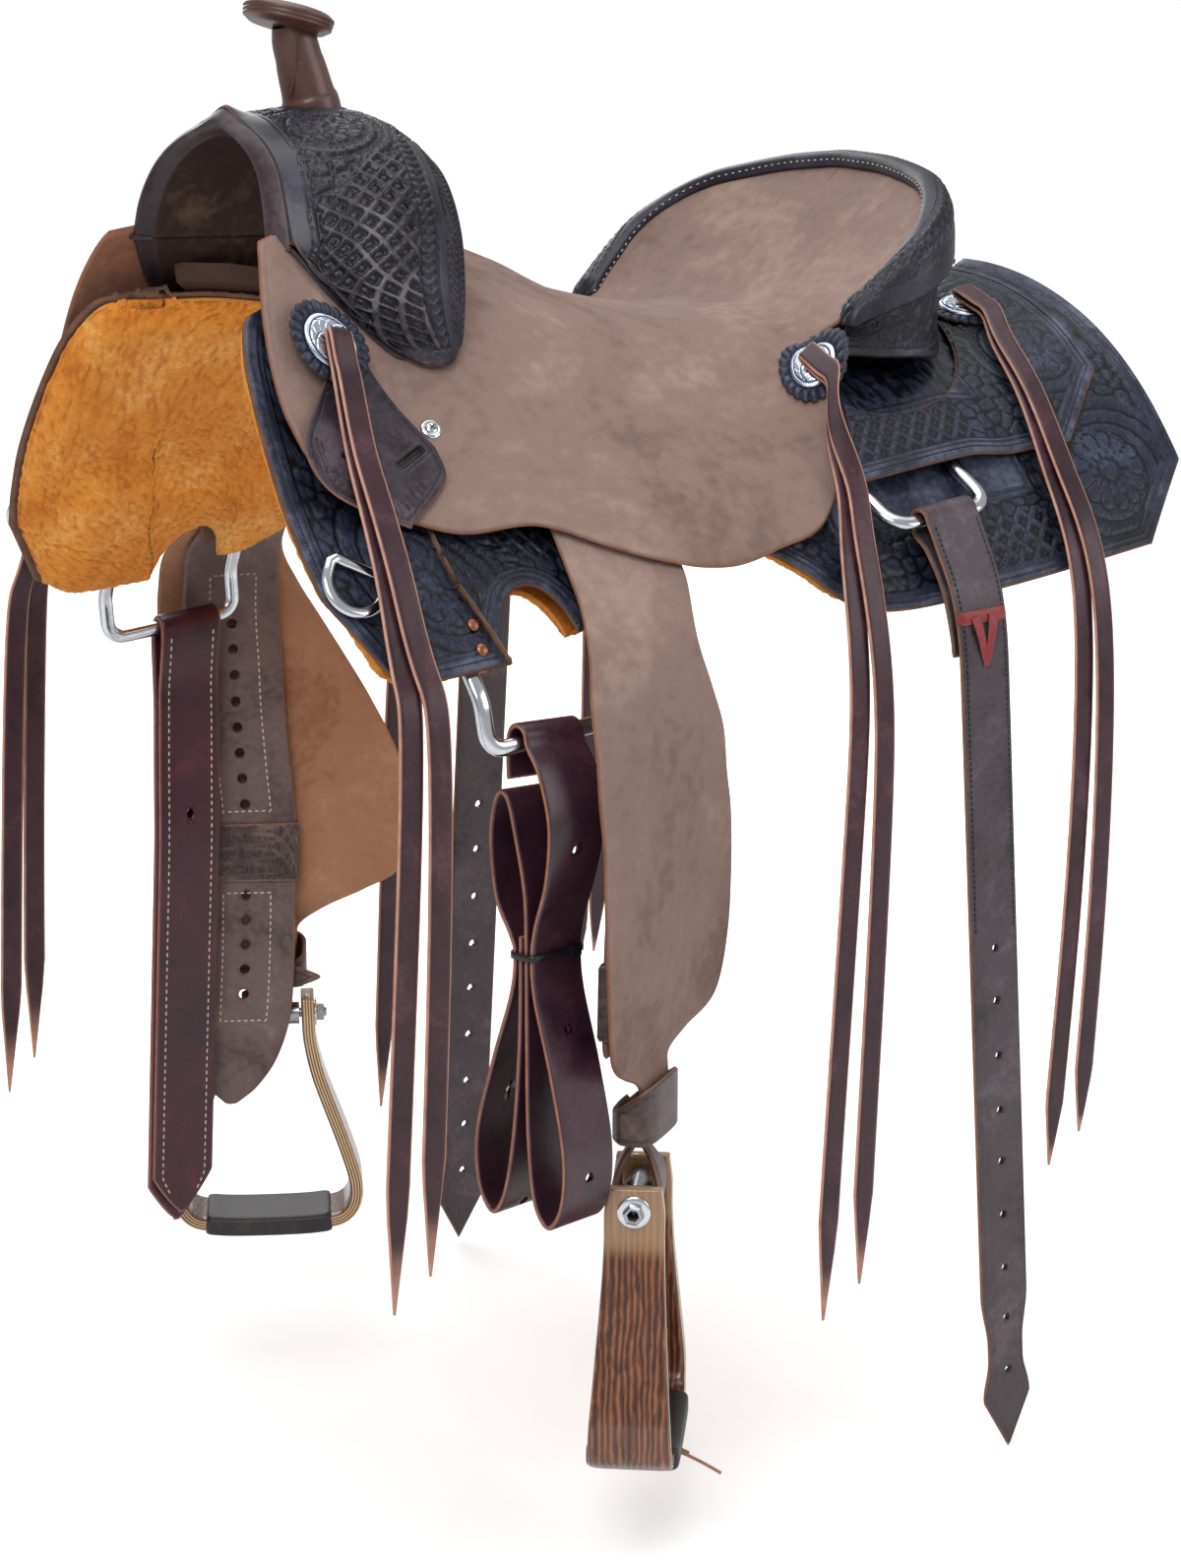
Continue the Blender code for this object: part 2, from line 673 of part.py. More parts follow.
def make_binding():
    arc = rim_arc(13)[1:-1]
    arc[0] = arc[0] * 0.6 + arc[1] * 0.4
    arc[-1] = arc[-1] * 0.6 + arc[-2] * 0.4
    out = rim_outward(arc)
    count = len(arc)
    share = np.abs(np.linspace(-1, 1, count))
    shrink = 1 - 0.42 * smoothstep(share, 0.72, 1.0)
    grid = np.zeros((count, len(BINDING_SECTION), 3))
    for j, (away, up) in enumerate(BINDING_SECTION):
        grid[:, j] = arc + out * away
        grid[:, j, 2] += up * np.where(up < 0, shrink, 1.0) + 0.0050
    return sheet("cantle_binding", grid, 0.0032, TOOLED)


def make_cantle_back():
    arc = rim_arc(10)[1:-1]
    out = rim_outward(arc)
    count = len(arc)
    foot_half = edge_curve([CANTLE_FOOT], 10)[1:]
    foot = np.vstack([foot_half[:-1] * (1, -1), foot_half[::-1]])
    lift = JOCKEY_THICK + rear_jockey_lift(foot[:, 0]) + 2 * LAYER_GAP
    base = np.column_stack([foot, back_height(foot[:, 0], foot[:, 1])
                            + (lift + 0.003) * steepness(foot[:, 0], foot[:, 1])])
    share = np.abs(np.linspace(-1, 1, count))
    shrink = (1 - 0.5 * smoothstep(share, 0.72, 1.0))[:, None]
    top = arc + out * 0.0135 + np.array([0, 0, -1.0]) * (0.010 * shrink)
    grid = np.zeros((count, 5, 3))
    for j, t in enumerate(np.linspace(0, 1, 5)):
        bow = -0.004 * math.sin(math.pi * t)
        grid[:, j] = top + (base - top) * t + out * bow
    return sheet("cantle_back", grid, 0.0035, TOOLED)


# Skirts, fleece and jockeys, in plan: x and half width

SKIRT_TOP = [(-0.262, 0.097), (-0.200, 0.076), (-0.100, 0.056), (0.050, 0.044), (0.200, 0.030),
             (0.330, 0.014), (0.403, 0.006)]
SKIRT_BOTTOM = [(-0.277, 0.252), (-0.258, 0.2555), (-0.198, 0.2560), (-0.150, 0.2545),
                (-0.115, 0.249), (-0.070, 0.236), (-0.020, 0.231), (0.020, 0.238),
                (0.046, 0.251), (0.072, 0.267), (0.114, 0.2757), (0.219, 0.2786),
                (0.3435, 0.2788)]
SKIRT_FRONT = [(-0.262, 0.097), (-0.290, 0.106), (-0.305, 0.127), (-0.312, 0.153),
               (-0.3155, 0.184), (-0.3130, 0.207), (-0.3085, 0.223)]
SKIRT_FRONT_CUT = [(-0.3085, 0.223), (-0.277, 0.252)]
SKIRT_REAR = [(0.403, 0.006), (0.404, 0.100), (0.405, 0.152), (0.4035, 0.202), (0.400, 0.247)]
SKIRT_REAR_CUT = [(0.400, 0.247), (0.3435, 0.2788)]
NOTCH_X, NOTCH_Y, NOTCH_R = -0.167, 0.2600, 0.0300


def skirt_plan(columns, rows, inset=0.0):
    top = edge_curve([SKIRT_TOP], columns)
    bottom = edge_curve([SKIRT_BOTTOM], columns)
    front = edge_curve([SKIRT_FRONT, SKIRT_FRONT_CUT], rows)
    rear = edge_curve([SKIRT_REAR, SKIRT_REAR_CUT], rows)
    x, y = patch(top, bottom, front, rear)
    if inset:
        middle_x = (SKIRT_REAR[0][0] + SKIRT_TOP[0][0]) / 2
        half_length = (SKIRT_REAR[0][0] - SKIRT_TOP[0][0]) / 2
        x = middle_x + (x - middle_x) * (1 - inset / half_length)
        y = np.where(y > 0.1, y - inset * (y - 0.1) / 0.17, y)
    return x, y


def cut_notch(made, side):
    """The half-round notch in the skirt's lower edge, over the rigging dee."""
    centre, normal, _ = side_frame(NOTCH_X, NOTCH_Y, 0.0, side)
    name = "notch_" + made.name
    return punch(made, name, [(centre, normal)], NOTCH_R, 16, 0.06)


def make_skirt(side):
    x, y = skirt_plan(22, 10)
    grid = place(on_back(x, y, 0.0), side)
    skirt = sheet("skirt_" + SIDE_NAME[side], grid, SKIRT_THICK, TOOLED)
    return cut_notch(skirt, side)


def fleece_lift(x, y):
    """Below the skirt, and further below it where the rigging dee is held between them."""
    hollow = (smoothstep(x, -0.290, -0.250) * (1 - smoothstep(x, -0.095, -0.060))
              * smoothstep(y, 0.180, 0.210))
    return -(SKIRT_THICK + LAYER_GAP) - (2 * DEE_WIRE + 0.0052) * hollow


def make_fleece(side):
    x, y = skirt_plan(22, 10, inset=0.004)
    grid = place(on_back(x, y, fleece_lift(x, y)), side)
    fleece = sheet("fleece_" + SIDE_NAME[side], grid, FLEECE_THICK, SHEEPSKIN)
    return cut_notch(fleece, side)


REAR_JOCKEY_OUTER = [[(0.107, 0.2225), (0.196, 0.2215), (0.309, 0.2240)],
                     [(0.309, 0.2240), (0.368, 0.1860)],
                     [(0.368, 0.1860), (0.3745, 0.143), (0.3775, 0.090), (0.3785, 0.003)]]
REAR_JOCKEY_INNER = [[(0.134, 0.174), (0.155, 0.186), (0.192, 0.189), (0.234, 0.177),
                      (0.270, 0.145), (0.295, 0.097), (0.306, 0.050), (0.310, 0.003)]]


def rear_jockey_lift(x):
    """Held off the skirt over the flank dee, and lying on it behind."""
    held = smoothstep(x, 0.050, 0.080) * (1 - smoothstep(x, 0.205, 0.260))
    return 0.0012 + (2 * DEE_WIRE + 0.0026) * held


def make_rear_jockey(side):
    inner = edge_curve(REAR_JOCKEY_INNER, 15)
    outer = edge_curve(REAR_JOCKEY_OUTER, 15)
    x, y = ruled(inner, outer, 5)
    grid = place(on_back(x, y, rear_jockey_lift(x) + JOCKEY_THICK), side)
    return sheet("rear_jockey_" + SIDE_NAME[side], grid, JOCKEY_THICK, TOOLED)


# Horn

def make_horn():
    lean = Matrix.Translation(HORN_FOOT) @ Matrix.Rotation(HORN_LEAN, 4, "Y")
    core = [(0.0, HORN_HEIGHT - GAP), (HORN_CORE_R, HORN_HEIGHT - GAP), (HORN_CORE_R, -0.016),
            (0.0, -0.016)]
    turned("horn_core", core, 16, lean, STEEL)
    bore = HORN_CORE_R + GAP
    top = HORN_HEIGHT
    neck = [(bore, top), (0.0125, top), (0.0150, top - 0.010), (HORN_NECK_R, 0.022),
            (HORN_NECK_R + 0.001, 0.014), (HORN_NECK_R + 0.004, 0.008),
            (HORN_FLARE_R, 0.0068), (HORN_FLARE_R, 0.0045), (bore, 0.0045), (bore, top)]
    turned("horn_neck", neck, 20, lean, HORN_LEATHER)
    top_point = lean @ Vector((0, 0, HORN_HEIGHT + 0.0166))
    tilt = Matrix.Translation(top_point) @ Matrix.Rotation(CAP_TILT, 4, "Y")
    half = CAP_THICK / 2
    cap = [(0.0, half), (CAP_R * 0.62, half), (CAP_R * 0.86, half * 0.80), (CAP_R, half * 0.25),
           (CAP_R, -half * 0.30), (CAP_R * 0.84, -half * 0.85), (CAP_R * 0.66, -half), (0.0, -half)]
    turned("horn_cap", cap, 24, tilt, HORN_LEATHER)


# Conchos and rosettes: plan place, and the face they sit on

CONCHOS = {"front": (-0.2575, 0.1400, on_seat, 0.0), "seat": (0.1230, 0.1640, on_seat, 0.0),
           "rear": (0.3230, 0.0950, on_back, 0.0)}


def concho_point(key, side, lift, u=0.0, v=0.0):
    """A place over a concho's leather: u to the rear and v downward, along the leather."""
    x, y, surface, extra = CONCHOS[key]
    if surface is on_back:
        extra = rear_jockey_lift(x) + JOCKEY_THICK - 0.0006
    if key == "front" and side == NEAR:
        extra = CONCHO_ON_KEEPER
    step = 0.001
    height = seat_height if surface is on_seat else back_height
    slope_x = (height(x + step, y) - height(x - step, y)) / (2 * step)
    slope_y = (height(x, y + step) - height(x, y - step)) / (2 * step)
    x = x + u / math.sqrt(1 + slope_x**2)
    y = y + v / math.sqrt(1 + slope_y**2)
    return place(surface(np.float64(x), np.float64(y), lift + extra), side)


def make_concho(key, side):
    """A silver dome over a scalloped leather rosette, bent to the leather, as one solid."""
    petals = 11
    angles = np.arange(2 * petals) * math.pi / petals
    scallop = np.where(np.arange(2 * petals) % 2 == 0, 1.0, 0.92)
    top = ROSETTE_THICK + CONCHO_HEIGHT
    rows = [(CONCHO_R * 0.25, top, 0), (CONCHO_R * 0.60, top - CONCHO_HEIGHT * 0.16, 0),
            (CONCHO_R * 0.90, ROSETTE_THICK + CONCHO_HEIGHT * 0.40, 0),
            (CONCHO_R, ROSETTE_THICK, 0), (ROSETTE_R, ROSETTE_THICK, 1), (ROSETTE_R, 0.0, 1),
            (ROSETTE_R * 0.5, 0.0, 0)]
    points = []
    for radius, height, scalloped in rows:
        reach = radius * scallop if scalloped else np.full(2 * petals, radius)
        points += [concho_point(key, side, ROSETTE_LIFT + height, r * math.cos(t), r * math.sin(t))
                   for r, t in zip(reach, angles)]
    count = 2 * petals
    faces = grid_faces(len(rows), count, ring=True)
    faces.append(tuple(range(count)))
    faces.append(tuple(range(len(points) - count, len(points)))[::-1])
    mesh = bpy.data.meshes.new("concho")
    mesh.from_pydata([tuple(p) for p in points], [], faces)
    outward(mesh)
    return finish(new_object("concho_" + key + "_" + SIDE_NAME[side], mesh, SILVER))


KEEPER_OUTER = [(-0.2720, 0.1560), (-0.2960, 0.1780), (-0.2880, 0.1970), (-0.2460, 0.2120),
                (-0.2370, 0.2110), (-0.2050, 0.1960), (-0.2010, 0.1880)]
KEEPER_INNER = [(-0.2600, 0.1480), (-0.2480, 0.1440), (-0.2400, 0.1430), (-0.2320, 0.1440),
                (-0.2260, 0.1500), (-0.2140, 0.1640), (-0.2020, 0.1800)]


def make_latigo_keeper():
    inner = edge_curve([KEEPER_INNER], 9)
    outer = edge_curve([KEEPER_OUTER], 9)
    x, y = ruled(inner, outer, 5)
    grid = place(on_seat(x, y, KEEPER_THICK + LOFT_GAP), NEAR)
    return sheet("latigo_keeper", grid, KEEPER_THICK, TOOLED)


# Rigging dees

FRONT_DEE_AT = (-0.1660, 0.2500)
REAR_DEE_AT = (0.1560, 0.2150)
FRONT_DEE_CRANK = math.radians(-28.0)
REAR_DEE_CRANK = math.radians(12.0)
FRONT_DEE_BEND, REAR_DEE_BEND = 0.030, 0.014
FRONT_DEE_TOP, REAR_DEE_TOP = -0.028, -0.018


def dee_outline(half, flat, top, bottom, steps=5):
    """A dee in its own plane: straight legs, round corners and a straight bar below."""
    corner = half - flat
    points = [(half, top), (half, bottom - corner)]
    for angle in np.linspace(0, math.pi / 2, steps + 1)[1:]:
        points.append((flat + corner * math.cos(angle), bottom - corner + corner * math.sin(angle)))
    return points + [(-a, b) for a, b in points[::-1]]


def dee_frame(at, lift, side):
    """Centre, down, outward and fore-and-aft directions of a dee that lies on the leather."""
    point, normal, along = side_frame(*at, lift, side)
    down = normal.cross(along).normalized()
    if down.z > 0:
        down = -down
    return point, down, normal, along


def cranked(frame, a, b, bend_at, crank):
    point, down, out, along = frame
    beyond = max(b - bend_at, 0.0)
    lower = down * math.cos(crank) + out * math.sin(crank)
    return point + along * a + down * min(b, bend_at) + lower * beyond


def front_dee_frame(side):
    return dee_frame(FRONT_DEE_AT, -(SKIRT_THICK + 0.0014 + DEE_WIRE), side)


def rear_dee_frame(side):
    return dee_frame(REAR_DEE_AT, DEE_WIRE + GAP + 0.0004, side)


def front_bar(side):
    """Middle of the front dee's lower bar."""
    return cranked(front_dee_frame(side), 0.0, FRONT_DEE_DROP, FRONT_DEE_BEND, FRONT_DEE_CRANK)


def rear_bar(side):
    return cranked(rear_dee_frame(side), 0.0, REAR_DEE_DROP, REAR_DEE_BEND, REAR_DEE_CRANK)


def make_front_dee(side):
    frame = front_dee_frame(side)
    points = [cranked(frame, a, b, FRONT_DEE_BEND, FRONT_DEE_CRANK) for a, b in
              dee_outline(FRONT_DEE_HALF, FRONT_DEE_FLAT, FRONT_DEE_TOP, FRONT_DEE_DROP)]
    return settle(wire("front_dee_" + SIDE_NAME[side], points, DEE_WIRE, STEEL, resolution=2))


def make_rear_dee(side):
    frame = rear_dee_frame(side)
    points = [cranked(frame, a, b, REAR_DEE_BEND, REAR_DEE_CRANK) for a, b in
              dee_outline(REAR_DEE_HALF, REAR_DEE_FLAT, REAR_DEE_TOP, REAR_DEE_DROP)]
    return settle(wire("rear_dee_" + SIDE_NAME[side], points, DEE_WIRE, STEEL, resolution=2))


BREAST_DEE_AT = (-0.2860, 0.2200)
BREAST_DEE_LEAN = math.radians(32.0)


def make_breast_dee(side):
    """A small closed dee whose bar lies up and back, and whose bow lies down and forward."""
    point, normal, along = side_frame(*BREAST_DEE_AT, BREAST_DEE_WIRE + 0.0009, side)
    up = normal.cross(along).normalized()
    if up.z < 0:
        up = -up
    bar = (along * math.cos(BREAST_DEE_LEAN) - up * math.sin(BREAST_DEE_LEAN)).normalized()
    out = (along * math.sin(BREAST_DEE_LEAN) + up * math.cos(BREAST_DEE_LEAN)).normalized()
    half = BREAST_DEE_HALF
    outline = [(half - 0.003, 0.012), (half, 0.008)]
    outline += [(half * math.cos(t), -half * 1.05 * math.sin(t)) for t in
                np.linspace(0.0, math.pi, 11)]
    outline += [(-half, 0.008), (-half + 0.003, 0.012)]
    points = [point + bar * a + out * b for a, b in outline]
    dee = settle(wire("breast_dee_" + SIDE_NAME[side], points, BREAST_DEE_WIRE, STEEL, True, 2))
    hang([dee], dee.name, point + out * 0.012)


# Hanging leathers: frames that turn as they go down

def turn_frame(turn, side):
    """Rearward direction across a hanging leather, and its outward direction."""
    turn = math.radians(turn)
    return (np.array([math.cos(turn), -side * math.sin(turn), 0.0]),
            np.array([math.sin(turn), side * math.cos(turn), 0.0]))


# Fender stations below the skirt's edge: z, x, distance from the middle, turn, width
FENDER = {
    NEAR: [(-0.130, -0.106, 0.2768, 8, 0.095), (-0.160, -0.104, 0.2830, 11, 0.112),
           (-0.190, -0.098, 0.2850, 15, 0.129), (-0.222, -0.092, 0.2810, 19, 0.143),
           (-0.255, -0.083, 0.2740, 22, 0.156), (-0.300, -0.078, 0.2690, 26, 0.175),
           (-0.345, -0.077, 0.2670, 28, 0.179), (-0.385, -0.081, 0.2670, 30, 0.169),
           (-0.400, -0.0920, 0.2680, 32, 0.125), (-0.409, -0.0970, 0.2695, 33, 0.082),
           (-0.418, -0.0935, 0.2712, 34, 0.053), (-0.436, -0.0909, 0.2717, 34, 0.050),
           (-0.456, -0.0909, 0.2717, 34, 0.049)],
    OFF: [(-0.130, -0.103, 0.2766, 8, 0.095), (-0.160, -0.095, 0.2860, 11, 0.112),
          (-0.190, -0.085, 0.2870, 15, 0.129), (-0.222, -0.076, 0.2790, 19, 0.143),
          (-0.255, -0.068, 0.2680, 22, 0.156), (-0.300, -0.0620, 0.2550, 26, 0.175),
          (-0.345, -0.0610, 0.2450, 28, 0.179), (-0.385, -0.0660, 0.2440, 30, 0.169),
          (-0.402, -0.0740, 0.2480, 32, 0.128), (-0.416, -0.0785, 0.2570, 34, 0.086),
          (-0.432, -0.0785, 0.2690, 36, 0.056), (-0.445, -0.0781, 0.2714, 36, 0.051),
          (-0.476, -0.0781, 0.2714, 36, 0.049)],
}
# Stirrup leather stations, in the same order
LEATHER = {
    NEAR: [(-0.130, -0.099, 0.2683, 8, 0.076), (-0.160, -0.098, 0.2760, 11, 0.076),
           (-0.190, -0.098, 0.2775, 15, 0.076), (-0.222, -0.099, 0.2740, 19, 0.076),
           (-0.255, -0.100, 0.2680, 22, 0.076), (-0.300, -0.102, 0.2630, 26, 0.076),
           (-0.335, -0.1025, 0.2595, 28, 0.076), (-0.385, -0.104, 0.2580, 30, 0.076),
           (-0.397, -0.104, 0.2580, 31, 0.074)],
    OFF: [(-0.130, -0.099, 0.2683, 8, 0.076), (-0.160, -0.098, 0.2760, 11, 0.076),
          (-0.190, -0.098, 0.2775, 15, 0.076), (-0.222, -0.099, 0.2730, 19, 0.076),
          (-0.255, -0.102, 0.2660, 22, 0.076), (-0.300, -0.102, 0.2600, 26, 0.076),
          (-0.345, -0.1022, 0.2528, 28, 0.076), (-0.390, -0.1045, 0.2512, 32, 0.076),
          (-0.450, -0.1065, 0.2519, 34, 0.076), (-0.500, -0.1123, 0.2487, 30, 0.074),
          (-0.535, -0.1165, 0.2505, 30, 0.060), (-0.558, -0.1200, 0.2525, 30, 0.036),
          (-0.571, -0.1216, 0.2535, 30, 0.008)],
}
HOBBLE_TURN = {NEAR: 34, OFF: 36}
HOBBLE_AT = {NEAR: (-0.0950, 0.2665), OFF: (-0.0819, 0.2661)}
HOBBLE_Z = {NEAR: (-0.4180, -0.4575), OFF: (-0.4400, -0.481)}
STIRRUP_TURN = {NEAR: 49, OFF: 30}
STIRRUP_AT = {NEAR: (-0.0985, 0.2633, -0.500), OFF: (-0.0845, 0.2622, -0.505)}
FENDER_TOP_Y = (0.205, 0.220, 0.233, 0.245)
LEATHER_TOP_Y = (0.128, 0.150, 0.172, 0.194, 0.213, 0.230, 0.245)
FENDER_TOP_X = -0.0960
FENDER_LIFT = 0.0094
LEATHER_LIFT = 0.0041


def leather_grid(top_y, lift, top_width, stations, columns, side, first_lift=None):
    """A leather that lies over the skirt and then hangs clear of it."""
    lifts = [lift if first_lift is None else first_lift] + [lift] * (len(top_y) - 1)
    share = np.linspace(-0.5, 0.5, columns)
    x = FENDER_TOP_X + top_width * share
    rows = [place(on_back(x, np.full(columns, y), high), side) for y, high in zip(top_y, lifts)]
    for z, at_x, at_y, turn, width in stations:
        rear, _ = turn_frame(turn, side)
        centre = np.array([at_x, at_y * side, z])
        rows.append(centre + rear * (width * share)[:, None])
    rows = np.array(rows)
    return rows


def make_fender(side):
    grid = leather_grid(FENDER_TOP_Y, FENDER_LIFT, 0.084, FENDER[side], 7, side)
    return sheet("fender_" + SIDE_NAME[side], grid, FENDER_THICK, ROUGHOUT, offset=0.0)


def leather_station(side, z):
    rows = np.array(LEATHER[side])[::-1]
    x, y, turn = (np.interp(z, rows[:, 0], rows[:, k]) for k in (1, 2, 3))
    return np.array([x, y * side, z]), turn


def make_stirrup_leather(side):
    grid = leather_grid(LEATHER_TOP_Y, LEATHER_LIFT, LEATHER_WIDTH, LEATHER[side], 4, side,
                        LEATHER_THICK / 2 + 0.0009)
    name = "stirrup_leather_" + SIDE_NAME[side]
    leather = sheet(name, grid, LEATHER_THICK, BROWN, offset=0.0)
    if side == NEAR:
        return leather
    holes = []
    for z in [-0.170 - 0.020 * k for k in range(9)] + [-0.402 - 0.020 * k for k in range(5)]:
        centre, turn = leather_station(side, z)
        holes.append((centre, turn_frame(turn, side)[1]))
    return punch(leather, "holes_" + name, holes, LEATHER_HOLE_R)


def rounded(half_a, half_b, corner, steps=2):
    """Points round a rectangle with round corners."""
    points = []
    for k in range(4):
        sign_a = 1 if k in (0, 3) else -1
        sign_b = 1 if k in (0, 1) else -1
        for t in np.linspace(0, math.pi / 2, steps + 1):
            angle = t + k * math.pi / 2
            points.append((sign_a * (half_a - corner) + corner * math.cos(angle),
                           sign_b * (half_b - corner) + corner * math.sin(angle)))
    return points


def ring_loft(name, outer, inner, look):
    """A band round a strap: outer and inner rings of points, lofted from row to row."""
    rows, count = outer.shape[:2]
    faces = grid_faces(rows, count, ring=True) + grid_faces(rows, count, rows * count, True, True)
    for row in (0, rows - 1):
        for j in range(count):
            k = (j + 1) % count
            a, b = row * count + j, row * count + k
            ends = (a, b, b + rows * count, a + rows * count)
            faces.append(ends[::-1] if row else ends)
    mesh = bpy.data.meshes.new(name)
    points = np.vstack([outer.reshape(-1, 3), inner.reshape(-1, 3)])
    mesh.from_pydata(points.tolist(), [], faces)
    outward(mesh)
    return finish(new_object(name, mesh, look))


SLEEVE_Z = {NEAR: (-0.335, -0.385), OFF: (-0.345, -0.390)}


def make_sleeve(side):
    half_a = LEATHER_WIDTH / 2 + 0.0006
    half_b = LEATHER_THICK / 2 + 0.0006
    outer, inner = [], []
    for z in np.linspace(*SLEEVE_Z[side], 5):
        centre, turn = leather_station(side, z)
        rear, out = turn_frame(turn, side)
        for rings, grow in ((outer, SLEEVE_WALL), (inner, 0.0)):
            corner = 0.0012 + grow
            ring = [centre + rear * a + out * b for a, b in
                    rounded(half_a + grow, half_b + grow, corner)]
            rings.append(ring)
    return ring_loft("leather_sleeve_" + SIDE_NAME[side], np.array(outer), np.array(inner), BROWN)


def hobble_path(side):
    """Once round the neck from the inner side, then on over itself to the strap's point."""
    half_a, half_b = HOBBLE_HALF
    points = []
    for t in np.linspace(0.0, 2 * math.pi, 29):
        angle = t - math.pi / 2
        c, s = math.cos(angle), math.sin(angle)
        points.append([half_a * math.copysign(abs(c)**0.55, c) + 0.0,
                       half_b * math.copysign(abs(s)**0.55, s)])
    start = len(points)
    step = HOBBLE_WALL + 0.0009
    for k in range(start - 4, start):
        points[k][1] -= step * (k - start + 5) / 4
    reach = 0.046 if side == OFF else 0.020
    for a in np.linspace(0.008, reach, 6):
        points.append([a, -half_b - step])
    return np.array(points)


def make_hobble(side):
    rear, out = turn_frame(HOBBLE_TURN[side], side)
    path = hobble_path(side)
    x, y = HOBBLE_AT[side]
    high, low = HOBBLE_Z[side]
    centre = np.array([x, y * side, 0.0])
    count = len(path)
    share = (path[:, 1] / HOBBLE_HALF[1] + 1) / 2
    share = np.clip(share, 0, 1)
    top = low + 0.020 + (high - low - 0.020) * share
    bottom = np.full(count, low)
    tip = np.zeros(count)
    tip[-4:] = (0.15, 0.35, 0.65, 1.0)
    middle = (top + bottom) / 2
    top = top + (middle + 0.001 - top) * tip
    bottom = bottom + (middle - 0.001 - bottom) * tip
    flat = centre + path[:, :1] * rear + path[:, 1:] * out
    grid = np.zeros((count, 2, 3))
    for j, t in enumerate((0.0, 1.0)):
        grid[:, j] = flat
        grid[:, j, 2] = bottom + (top - bottom) * t
    return sheet("hobble_strap_" + SIDE_NAME[side], grid, HOBBLE_WALL, BROWN, offset=0.0)


# Stirrup profile, half: distance along the bolt and height from it
STIRRUP_PROFILE = [(0.0340, 0.0150), (0.0345, -0.0020), (0.0355, -0.0200), (0.0420, -0.0500),
                   (0.0560, -0.0900), (0.0660, -0.1200), (0.0705, -0.1400), (0.0680, -0.1560),
                   (0.0560, -0.1665), (0.0300, -0.1695), (0.0, -0.1700)]
STIRRUP_WIDTHS = [0.036, 0.040, 0.040, 0.042, 0.047, 0.051, 0.054, 0.055, 0.056, 0.056, 0.056]
LOOP_HALF = {NEAR: 0.0170, OFF: 0.0130}
LOOP_WIDTH = {NEAR: 0.0400, OFF: 0.0340}
LOOP_TOP = {NEAR: -0.4400, OFF: -0.4620}


def stirrup_frame(side):
    x, y, z = STIRRUP_AT[side]
    along, out = turn_frame(STIRRUP_TURN[side], side)
    return np.array([x, y * side, z]), along, out


def make_stirrup(side):
    centre, along, out = stirrup_frame(side)
    half = np.array([(s, z, w) for (s, z), w in zip(STIRRUP_PROFILE, STIRRUP_WIDTHS)])
    rows = np.vstack([half[:-1], half[::-1] * (-1, 1, 1)])
    rows = smooth_run(rows, 2)
    path = centre + rows[:, :1] * along + rows[:, 1:2] * np.array([0, 0, 1.0])
    grid = strap_grid(path, out, rows[:, 2], 3)
    name = "stirrup_" + SIDE_NAME[side]
    wood = sheet(name, grid, STIRRUP_THICK, WOOD, offset=0.0)
    bolt_holes = [(centre + along * STIRRUP_TOP_HALF * way, along) for way in (-1, 1)]
    punch(wood, "bolt_holes_" + name, bolt_holes, BOLT_R + GAP, 12, 0.012)
    return wood


def make_bolt(side):
    centre, along, _ = stirrup_frame(side)
    face = STIRRUP_TOP_HALF + 0.0006 + STIRRUP_THICK / 2 + GAP
    inside = STIRRUP_TOP_HALF - STIRRUP_THICK / 2 - 0.0012
    half = [(0.0, face + 0.0085), (0.0070, face + 0.0085), (0.0070, face + 0.0018),
            (0.0112, face + 0.0018), (0.0112, face), (BOLT_R, face), (BOLT_R, inside),
            (BOLT_SLEEVE_R, inside)]
    profile = half + [(r, -z) for r, z in half[::-1]]
    return turned("stirrup_bolt_" + SIDE_NAME[side], profile, 12, axis_matrix(centre, along), STEEL)


def make_loop(side):
    """The loop that hangs from inside the hobble strap and carries the bolt."""
    centre, along, out = stirrup_frame(side)
    wide, top = LOOP_HALF[side], LOOP_TOP[side] - centre[2]
    radius = BOLT_SLEEVE_R + 0.0005 + LEATHER_THICK / 2
    leg = [(0.0027, top, 0.008), (0.0029, top - 0.019, 0.008),
           (wide * 0.60, 0.5 * (top - 0.003), 0.020), (wide * 0.92, 0.016, LOOP_WIDTH[side]),
           (wide, 0.004, LOOP_WIDTH[side])]
    bottom = [(wide * math.cos(t), -radius * math.sin(t) - 0.0, LOOP_WIDTH[side])
              for t in np.linspace(0.35, math.pi - 0.35, 7)]
    rows = np.array(leg + bottom + [(-a, z, w) for a, z, w in leg[::-1]])
    rows = smooth_run(rows, 2)
    path = centre + rows[:, :1] * out + rows[:, 1:2] * np.array([0, 0, 1.0])
    return strap("stirrup_loop_" + SIDE_NAME[side], path, along, rows[:, 2], LEATHER_THICK,
                 FLESH_SIDE)


